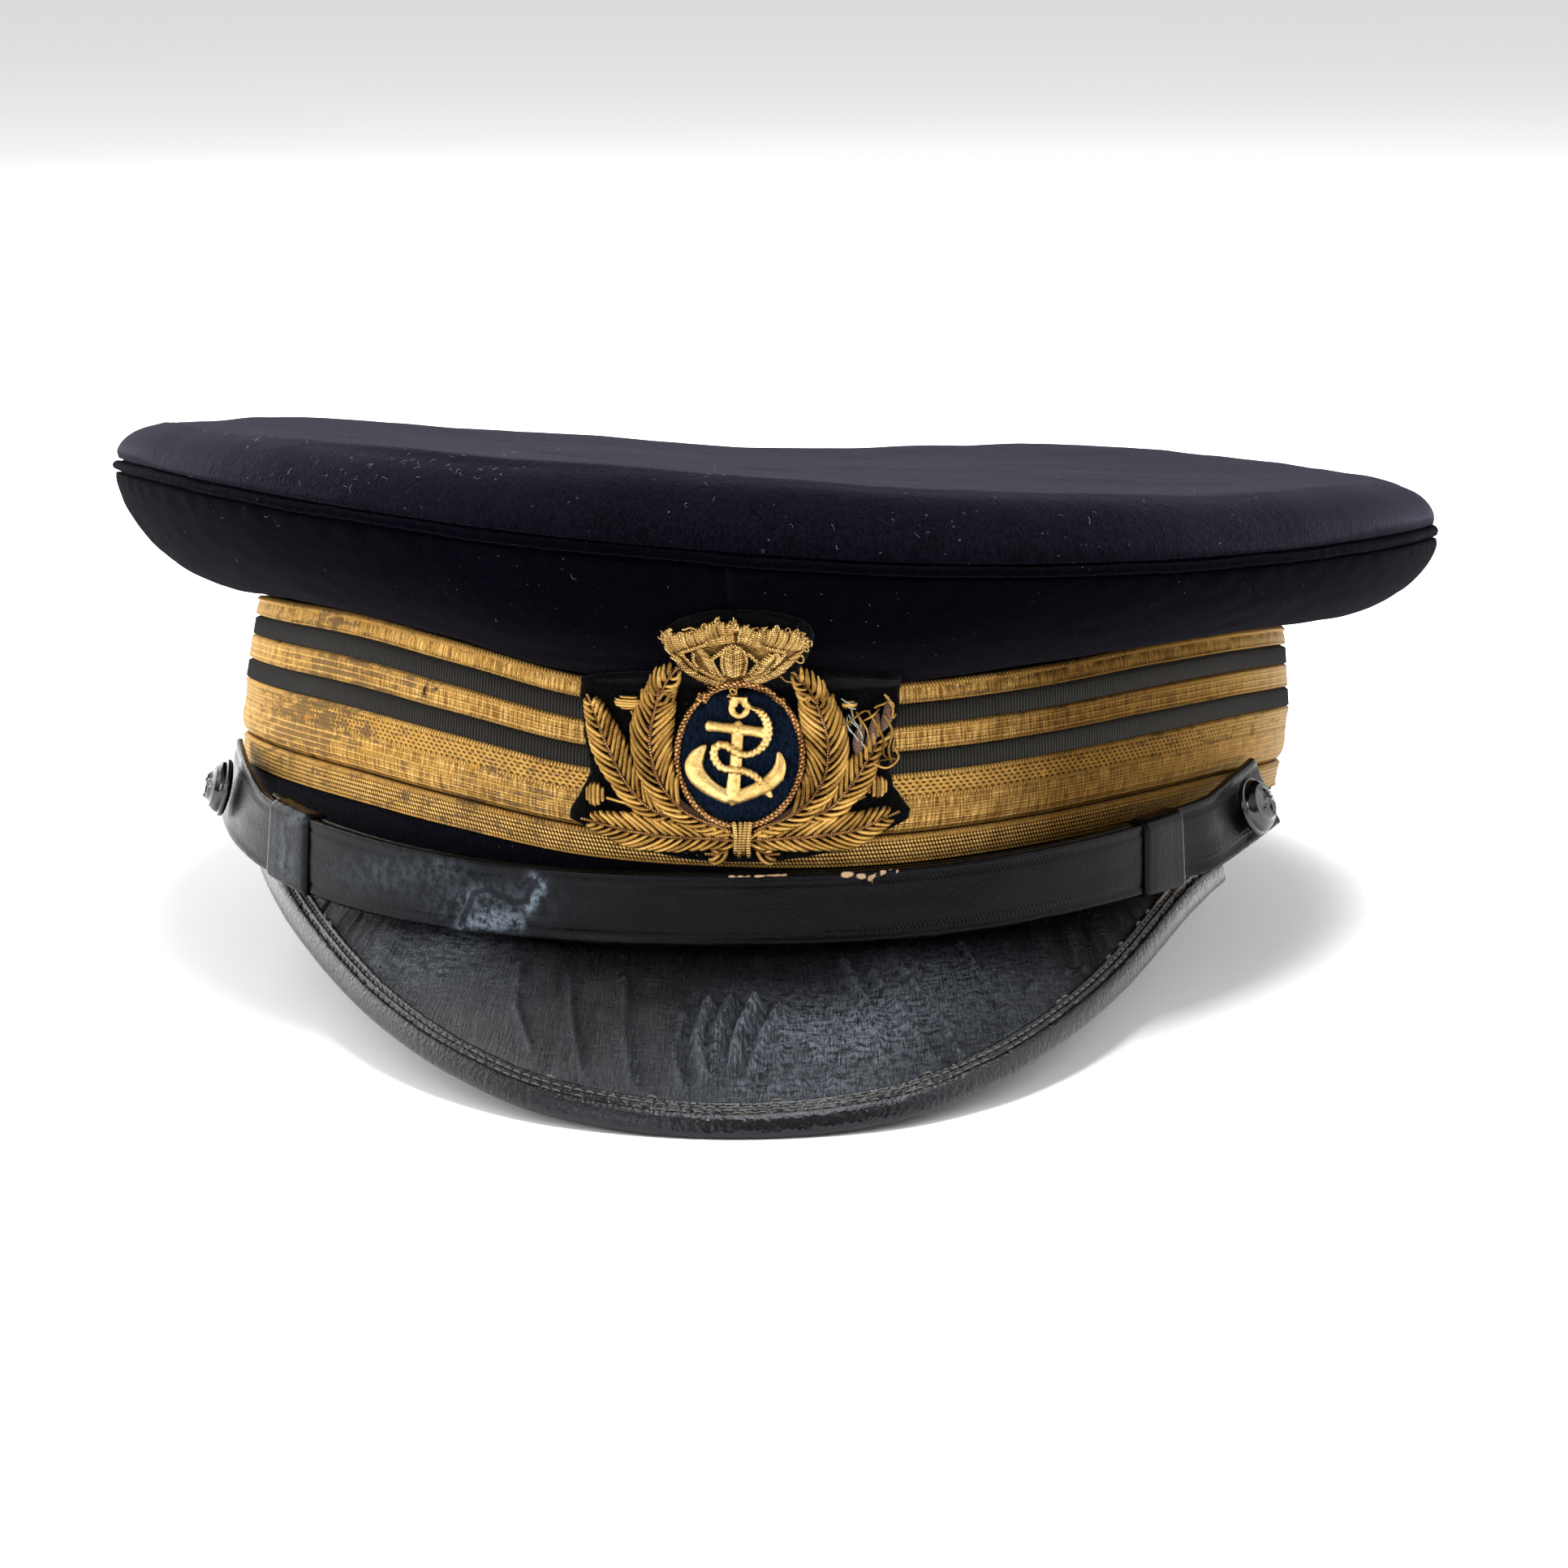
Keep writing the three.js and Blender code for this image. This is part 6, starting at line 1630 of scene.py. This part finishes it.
def crown_badge():
    """Embroidered crown: an upper band of leaning bullions, three lobes and a curved foot band."""
    B = Bunch()
    C2 = lambda cx, cy: (805 + cx / 7.317, 750 + cy / 7.317)

    def strand(p, q, w0, w1, r=0.22, bend=0.0, arch=0.28, n=10):
        w = (w0 + w1) / 2
        a, b = badge_px(C2(*p), w), badge_px(C2(*q), w)
        t = np.linspace(0, 1, n)
        d = b - a
        nrm = np.array([-d[1], d[0]])
        u = a[0] + d[0] * t + nrm[0] * bend * np.sin(np.pi * t)
        v = a[1] + d[1] * t + nrm[1] * bend * np.sin(np.pi * t)
        hh = lerp(w0, w1, t) + arch * np.sin(np.pi * t) + rng.normal(0, 0.04)
        B.add([badge_point(u, v, hh)], [r * np.sqrt(np.clip(1 - (2 * np.abs(t - 0.5)) ** 8, 0.3, 1)) * rng.uniform(0.9, 1.1)], 7)

    def band(outer, inner, count, skew, w0, w1, r=0.22, jitter=5.0, bend=0.0):
        O, _ = curve_points(outer, 200)
        I, _ = curve_points(inner, 200)
        for i in range(count):
            f = (i + 0.5) / count
            a = I[int(np.clip(f, 0, 1) * 199)]
            b = O[int(np.clip(f + skew, 0, 1) * 199)]
            strand(a + rng.normal(0, jitter * 0.4, 2), b + rng.normal(0, jitter, 2), w0, w1, r, bend)

    # upper band, in two rows that overlap, leaning out from the middle
    band([(95, 262), (130, 222), (240, 228), (340, 196), (450, 172), (500, 132), (600, 126), (700, 142), (748, 160)],
         [(150, 376), (205, 384), (270, 376), (360, 344), (470, 302), (560, 272), (650, 250), (745, 248)], 27, -0.035, 2.35, 2.15, 0.23, 6, 0.10)
    band([(1408, 300), (1340, 232), (1220, 208), (1110, 198), (1020, 206), (940, 208), (880, 178), (820, 160), (752, 158)],
         [(1345, 352), (1250, 374), (1180, 374), (1090, 356), (980, 322), (890, 292), (820, 262), (750, 248)], 27, -0.035, 2.35, 2.15, 0.23, 6, -0.10)
    band([(470, 286), (560, 252), (650, 236), (745, 232)], [(520, 330), (600, 312), (680, 300), (745, 296)], 11, -0.06, 2.55, 2.35, 0.21, 4, 0.08)
    band([(980, 300), (900, 262), (820, 240), (752, 232)], [(950, 356), (880, 332), (810, 306), (752, 298)], 11, -0.06, 2.55, 2.35, 0.21, 4, -0.08)
    # foot band, in two rows
    band([(105, 352), (160, 430), (240, 530), (330, 600), (430, 656), (560, 694), (660, 702), (750, 704)],
         [(180, 400), (250, 440), (310, 505), (390, 560), (470, 600), (560, 636), (650, 650), (750, 652)], 30, -0.02, 2.2, 1.95, 0.21, 5)
    band([(1370, 365), (1310, 440), (1240, 520), (1150, 590), (1060, 640), (940, 682), (840, 700), (752, 704)],
         [(1290, 392), (1220, 440), (1160, 490), (1090, 545), (1020, 585), (930, 625), (840, 648), (752, 652)], 30, -0.02, 2.2, 1.95, 0.21, 5)
    # middle lobe: short drooping strands stacked across it
    for i in range(13):
        f = i / 12
        y = 366 + 236 * f
        half = 78 + 22 * math.sin(math.pi * min(f * 1.1, 1)) - 22 * max(f - 0.75, 0) * 4 * 0.6
        strand((722 - half, y - 12), (724, y + 4), 2.55, 2.85, 0.21, 0.10, 0.12)
        strand((724, y + 4), (722 + half, y - 12), 2.85, 2.55, 0.21, 0.10, 0.12)
    # side lobes: strands across each, turned to lean out
    for sx in (-1, 1):
        for i in range(13):
            f = i / 12
            cx = lerp(420, 560, f ** 0.9) if sx < 0 else lerp(1080, 905, f ** 0.9)
            cy = lerp(372, 600, f) if sx < 0 else lerp(386, 592, f)
            half = 66 * math.sin(math.pi * (0.22 + 0.62 * f)) ** 0.7
            tilt = math.radians(24 if sx < 0 else -24)
            dx, dy = half * math.cos(tilt), half * math.sin(tilt)
            strand((cx - dx, cy - dy * 1.0), (cx + dx, cy + dy * 0.2), 2.4, 2.5, 0.21, 0.16 * -sx, 0.30)

    def beads(points, r=0.25, pitch=0.72, w=2.85):
        C, L = curve_points(badge_px([C2(*q) for q in points], w), 70)
        P, R = rope(np.column_stack([C, np.full(70, w)]), r, pitch, 2, sides=6)
        B.add(P, R, 6, pick=0.75)
    for pts in ([(634, 372), (616, 430), (616, 520), (640, 598)], [(800, 372), (832, 430), (836, 510), (812, 596)], [(634, 372), (680, 346), (730, 340), (800, 372)],
                [(520, 462), (560, 430), (610, 396)], [(520, 466), (556, 530), (590, 590), (622, 632)], [(850, 404), (900, 452), (946, 492)], [(944, 494), (900, 540), (862, 586)],
                [(250, 396), (330, 370), (410, 345), (480, 322)], [(250, 410), (300, 460), (350, 512), (396, 552)], [(362, 396), (356, 450), (372, 500), (400, 530)],
                [(960, 330), (1040, 362), (1120, 382), (1190, 396)], [(1190, 400), (1150, 448), (1110, 490), (1070, 528)], [(1110, 404), (1132, 440), (1116, 472)],
                [(420, 548), (500, 596), (600, 634), (650, 640)], [(1050, 552), (960, 604), (880, 630), (820, 640)]):
        beads(pts)
    # worn knot at the top and curls of wire along the edge
    for i in range(5):
        an = math.radians(30 + 30 * i)
        strand((722, 160), (722 + 46 * math.cos(an), 160 - 52 * math.sin(an)), 2.3, 2.1, 0.2)
    strand((726, 120), (724, 66), 2.2, 2.6, 0.09)
    edge, _ = curve_points([(80, 290), (110, 225), (240, 235), (340, 200), (450, 180), (490, 128), (600, 126), (700, 150), (820, 160), (940, 206), (1110, 198),
                            (1220, 210), (1340, 238), (1410, 320), (1370, 370)], 60)
    for i in range(46):
        c = edge[rng.integers(0, 60)] + rng.normal(0, 8, 2)
        t = np.linspace(0, 1, 16)
        an, turn = rng.uniform(0, 6.28), rng.uniform(3, 8) * rng.choice([-1, 1])
        size = rng.uniform(10, 26)
        pts = np.stack([c[0] + size * (np.cos(an + turn * t) - math.cos(an)), c[1] + size * 0.7 * (np.sin(an + turn * t) - math.sin(an))], 1)
        uv = badge_px([C2(*q) for q in pts], 2.6)
        B.add([badge_point(uv[:, 0], uv[:, 1], 2.5 + 0.35 * np.sin(an + 5 * t))], [np.full(16, rng.uniform(0.08, 0.15))], 6)
    for pts in ([(258, 188), (290, 186), (330, 172), (365, 180), (400, 196)], [(1300, 420), (1345, 430), (1352, 478), (1318, 488), (1290, 470)],
                [(1150, 612), (1190, 650), (1240, 660), (1270, 652)], [(684, 724), (700, 706), (740, 702), (756, 724), (730, 752), (712, 772)], [(492, 700), (512, 716), (532, 710)]):
        C, L = curve_points(badge_px([C2(*q) for q in pts], 2.6), 30)
        B.add([badge_point(C[:, 0], C[:, 1], 2.6 + 0 * C[:, 0])], [np.full(30, 0.14)], 6)
    B.make('bullion_crown', CROWN_WIRE, 'gold_bullion', ('badge_crown',))
    # worked ground under the crown's strands, with four dark openings
    prof = [(742, 170), (600, 150), (480, 160), (340, 222), (200, 250), (120, 285), (140, 380), (240, 505), (340, 590), (450, 645), (600, 685), (750, 692), (900, 680),
            (1050, 625), (1150, 575), (1240, 500), (1340, 375), (1380, 320), (1320, 262), (1200, 232), (1080, 222), (940, 225), (860, 185)]
    n = 120
    O, _ = curve_points(badge_px([C2(*q) for q in prof + [prof[0]]], 1.8), n + 1)
    O = O[:-1]
    c = O.mean(0)
    rings = [badge_point(O[:, 0], O[:, 1], 1.15 + 0 * O[:, 0])]
    for k, w in ((0.995, 1.75), (0.95, 2.05), (0.75, 2.12), (0.5, 2.12), (0.25, 2.12)):
        q = c + (O - c) * k
        rings.append(badge_point(q[:, 0], q[:, 1], w + 0.05 * noise(q[:, 0] * 3, q[:, 1] * 3, 4)))
    P = np.stack(rings, 1)
    m = P.shape[1]
    faces = grid_faces(n, m, True, False).tolist()
    faces.append([i * m for i in range(n)])
    faces.append([i * m + m - 1 for i in range(n)])
    wv = np.zeros((n, m, 3))
    wv[..., 0] = rng.random((n, m)) * 2
    make('crown_ground', P, faces, CROWN_WIRE, {'wv': wv})
    tri_v, tri_f = [], []
    for a, b, d in (((286, 418), (352, 408), (384, 536)), ((548, 468), (608, 426), (626, 590)), ((850, 452), (918, 486), (846, 582)), ((1112, 412), (1176, 428), (1124, 470))):
        q = badge_px([C2(*a), C2(*b), C2(*d)], 2.5)
        base = len(tri_v)
        lo, hi = badge_point(q[:, 0], q[:, 1], 1.9), badge_point(q[:, 0], q[:, 1], 2.62)
        tri_v += list(lo) + list(hi)
        tri_f += [[base, base + 2, base + 1], [base + 3, base + 4, base + 5]]
        tri_f += [[base + k, base + (k + 1) % 3, base + 3 + (k + 1) % 3, base + 3 + k] for k in range(3)]
    make('crown_openings', np.array(tri_v), tri_f, PATCH_FELT, None, (), False)


crown_badge()


def anchor_piece():
    """Cast anchor with a rope about it: strokes joined into one skin."""
    C2 = lambda cx, cy: badge_px((690 + cx / 3.484, 730 + cy / 3.484), 3.4)
    paths = []

    def stroke(pts, radii, w, flat=0.62, n=40):
        P, L = curve_points([C2(*p) for p in pts], n)
        r = np.interp(np.linspace(0, 1, n), np.linspace(0, 1, len(radii)), radii)
        paths.append((P, r, w, flat))
    stroke([(766, 552), (762, 600), (758, 680), (752, 760), (742, 850), (738, 900)], [0.66, 0.84, 0.84, 0.86, 0.98, 0.80], 3.15)
    stroke([(622, 572), (700, 580), (762, 588), (840, 598), (900, 608)], [0.86, 0.74, 0.84, 0.80, 0.92], 3.25)
    # arms: a crescent with spread flukes
    stroke([(626, 655), (590, 700), (574, 745), (592, 792), (640, 838), (700, 872), (738, 886)], [0.32, 1.00, 1.36, 1.34, 1.18, 1.06, 1.0], 3.05)
    stroke([(938, 684), (946, 735), (932, 782), (890, 824), (830, 854), (780, 874), (738, 886)], [0.28, 0.78, 1.10, 1.12, 1.04, 1.0, 1.0], 3.05)
    stroke([(574, 745), (552, 734), (545, 718)], [0.9, 0.55, 0.25], 3.0)
    stroke([(932, 782), (950, 800), (952, 812)], [0.8, 0.5, 0.25], 3.0)
    stroke([(880, 850), (900, 872), (898, 884)], [0.7, 0.5, 0.35], 3.0)
    stroke([(738, 884), (738, 905), (737, 920)], [1.05, 0.6, 0.2], 3.0)
    # ring at the head
    ph = np.linspace(0, 2 * np.pi, 36)
    ring = badge_px(np.stack([690 + (770 + 33 * np.cos(ph)) / 3.484, 730 + (498 + 33 * np.sin(ph)) / 3.484], 1), 3.4)
    paths.append((ring, np.full(36, 0.50), 3.3, 0.8))
    # the rope: round the right of the shank, behind it, a loop at the left, then off to the lower right
    stroke([(800, 480), (846, 502), (884, 548), (893, 610), (868, 662), (822, 692), (776, 694), (738, 672), (700, 652), (668, 664), (662, 706), (690, 748),
            (736, 760), (790, 766), (840, 790), (868, 824)], [0.46, 0.60, 0.62, 0.62, 0.60, 0.56, 0.50, 0.56, 0.58, 0.58, 0.58, 0.56, 0.52, 0.56, 0.54, 0.42], 3.5, 0.85, 130)
    me_v, me_f, base = [], [], 0
    sides = 14
    for P, r, w, flat in paths:
        n = len(P)
        T = np.gradient(P, axis=0)
        T /= np.linalg.norm(T, axis=1, keepdims=True) + 1e-9
        N2 = np.stack([-T[:, 1], T[:, 0]], 1)
        q = np.arange(sides) / sides * 2 * np.pi
        # rounded ends
        end = np.minimum(np.arange(n), n - 1 - np.arange(n)) / 2.0
        cap = np.sqrt(np.clip(1 - (1 - np.clip(end, 0, 1)) ** 2, 0.15, 1))
        if n > 100:
            cap = cap * (1 + 0.16 * np.cos(np.arange(n) * 2 * np.pi / 4.0))
        u = P[:, 0:1] + N2[:, 0:1] * (r * cap)[:, None] * np.cos(q)[None, :]
        v = P[:, 1:2] + N2[:, 1:2] * (r * cap)[:, None] * np.cos(q)[None, :]
        ww = w + (r * cap)[:, None] * flat * np.sin(q)[None, :]
        V = badge_point(u, v, ww).reshape(-1, 3)
        me_v.append(V)
        me_f += (grid_faces(n, sides, False, True, base)).tolist()
        me_f.append([base + k for k in range(sides)])
        me_f.append([base + (n - 1) * sides + k for k in range(sides)][::-1])
        base += n * sides
    ob = make('gilt_anchor', np.vstack(me_v), me_f, GILT, None, ('badge_anchor',))
    mod = ob.modifiers.new('skin', 'REMESH')
    mod.mode, mod.voxel_size, mod.use_smooth_shade = 'VOXEL', 0.00012, True
    sm = ob.modifiers.new('soft', 'SMOOTH')
    sm.factor, sm.iterations = 0.5, 2
    bpy.context.view_layer.update()
    dg = bpy.context.evaluated_depsgraph_get()
    me = bpy.data.meshes.new_from_object(ob.evaluated_get(dg))
    ob.modifiers.clear()
    old = ob.data
    ob.data = me
    bpy.data.meshes.remove(old)
    me.materials.clear()
    me.materials.append(GILT)
    # small studs on the stock and the head
    B = Bunch()
    for cx, cy, r in ((762, 586, 0.42), (896, 606, 0.30)):
        c = C2(cx, cy)
        t = np.linspace(0, 1, 8)
        path = badge_point(np.full(8, c[0]), np.full(8, c[1]), 3.55 + 0.35 * t)
        B.add([path], [r * np.sqrt(np.clip(1 - t**2, 0.02, 1))], 14)
    B.make('anchor_studs', GILT, 'gilt_metal')


anchor_piece()

# -------------------------------------------------- lint and hairs on the cloth
def lint():
    B = Bunch()
    # places in pixels of the frame with how many hairs lie there and how far they spread
    spots = [(500, 572, 15, 40, 12), (455, 592, 6, 20, 9), (300, 545, 7, 30, 8), (575, 585, 7, 24, 8), (380, 585, 6, 26, 10),
             (650, 560, 8, 40, 14), (880, 590, 6, 16, 6), (1120, 560, 10, 60, 14), (1520, 590, 10, 60, 12), (1350, 640, 10, 120, 25),
             (1000, 640, 8, 120, 25), (250, 640, 8, 60, 30), (700, 700, 6, 120, 40), (1200, 680, 8, 200, 50), (420, 1040, 4, 40, 14), (600, 560, 8, 120, 16)]
    grid_a = np.linspace(-95, 95, 380)
    S_top = np.linspace(0.02, 1.75, 260)
    T_side = np.linspace(0.05, 0.97, 70)
    GA, GS = np.meshgrid(grid_a, S_top, indexing='ij')
    top = crown_top(GA, GS)
    GA2, GT = np.meshgrid(grid_a, T_side, indexing='ij')
    side = crown_side(GA2, GT)
    cand = np.concatenate([top.reshape(-1, 3), side.reshape(-1, 3)])
    info = np.concatenate([np.stack([GA.ravel(), GS.ravel(), 0 * GA.ravel()], 1), np.stack([GA2.ravel(), GT.ravel(), 1 + 0 * GA2.ravel()], 1)])
    X, Y = px(cand)
    for cx, cy, count, sx, sy in spots:
        for _ in range(count):
            tx, ty = cx + rng.normal(0, sx), cy + rng.normal(0, sy)
            i = int(np.argmin((X - tx) ** 2 + (Y - ty) ** 2))
            if math.hypot(X[i] - tx, Y[i] - ty) > 8:
                continue
            a0, s0, kind = info[i]
            n = 14
            t = np.linspace(0, 1, n)
            length = rng.uniform(0.3, 1.3)
            head = rng.uniform(0, 2 * np.pi)
            curl = rng.normal(0, 2.6)
            hx = np.cumsum(np.cos(head + curl * t)) * length / n
            hy = np.cumsum(np.sin(head + curl * t)) * length / n
            if kind < 0.5:
                aa, ss = a0 + hx / 1.9, np.clip(s0 + hy / (12 if s0 < 1 else 100), 0.02, 1.98)
                P = crown_top(aa, ss)
                Q = crown_top(aa, ss, CLOTH)
            else:
                aa, tt = a0 + hx / 1.9, np.clip(s0 + hy / 26, 0.02, 0.97)
                P = crown_side(aa, tt)
                Q = crown_side(aa, tt, CLOTH)
            N = P - Q
            N /= np.linalg.norm(N, axis=1, keepdims=True)
            P = P + N * (0.55 + 0.35 * np.sin(np.pi * t) * rng.random())[:, None]
            B.add([P], [np.full(n, rng.uniform(0.008, 0.016))], 4)
    B.make('lint_hairs', LINT_HAIR, 'navy_cloth')


lint()

# ------------------------------------------------------------ floor and light
def floor():
    me = bpy.data.meshes.new('floor')
    s = 40.0
    me.from_pydata([(-s, -s, -0.0002), (s, -s, -0.0002), (s, s, -0.0002), (-s, s, -0.0002)], [], [(0, 1, 2, 3)])
    T = Tree('floor')
    f = T.noise(T.obj, 3.0, 2, 0.5)
    me.materials.append(T.done(T.mix(f, (0.88, 0.88, 0.885), (0.90, 0.90, 0.905)), 0.9, None, Specular_IOR_Level=0.05))
    ob = bpy.data.objects.new('floor', me)
    scene.collection.objects.link(ob)


floor()


def area(name, loc, size, energy, target=(0, 0, 0.04), color=(1, 1, 1)):
    li = bpy.data.lights.new(name, 'AREA')
    li.shape, li.size, li.energy, li.color = 'SQUARE', size, energy, color
    ob = bpy.data.objects.new(name, li)
    ob.location = loc
    d = Vector(target) - Vector(loc)
    ob.rotation_euler = d.to_track_quat('-Z', 'Y').to_euler()
    ob.visible_camera = False
    scene.collection.objects.link(ob)


area('key', (0.12, -0.08, 1.20), 0.55, 35.0)
area('left', (-1.35, 0.05, 0.60), 1.3, 11.0)
area('fill', (-0.75, -1.15, 0.42), 0.6, 7.0)
area('right', (1.35, -0.10, 0.70), 1.5, 13.0)
area('back', (-0.95, 0.95, 0.70), 1.2, 15.0)

# a pale dome, brightest half way up, dimmer overhead and low down in front
world = bpy.data.worlds.new('world')
world.use_nodes = True
wt = world.node_tree
back = wt.nodes['Background']
coord = wt.nodes.new('ShaderNodeTexCoord').outputs['Generated']
split = wt.nodes.new('ShaderNodeSeparateXYZ')
wt.links.new(coord, split.inputs[0])


def wmap(v, a, b, c, d):
    n = wt.nodes.new('ShaderNodeMapRange')
    n.interpolation_type = 'SMOOTHSTEP'
    wt.links.new(v, n.inputs[0])
    for x, q in zip((a, b, c, d), list(n.inputs)[1:5]):
        q.default_value = x
    return n.outputs[0]


high = wmap(split.outputs[2], 0.12, 0.50, 0.0, 1.0)
zenith = wmap(split.outputs[2], 0.60, 0.88, 1.05, 0.50)
side = wmap(split.outputs[1], -0.7, 0.5, 0.20, 1.25)
mixw = wt.nodes.new('ShaderNodeMix')
mixw.data_type = 'FLOAT'
wt.links.new(high, mixw.inputs[0])
wt.links.new(side, mixw.inputs[2])
wt.links.new(zenith, mixw.inputs[3])
wt.links.new(mixw.outputs[0], back.inputs[1])
back.inputs[0].default_value = (1.0, 1.0, 1.0, 1.0)
scene.world = world
scene.view_settings.view_transform = 'Standard'
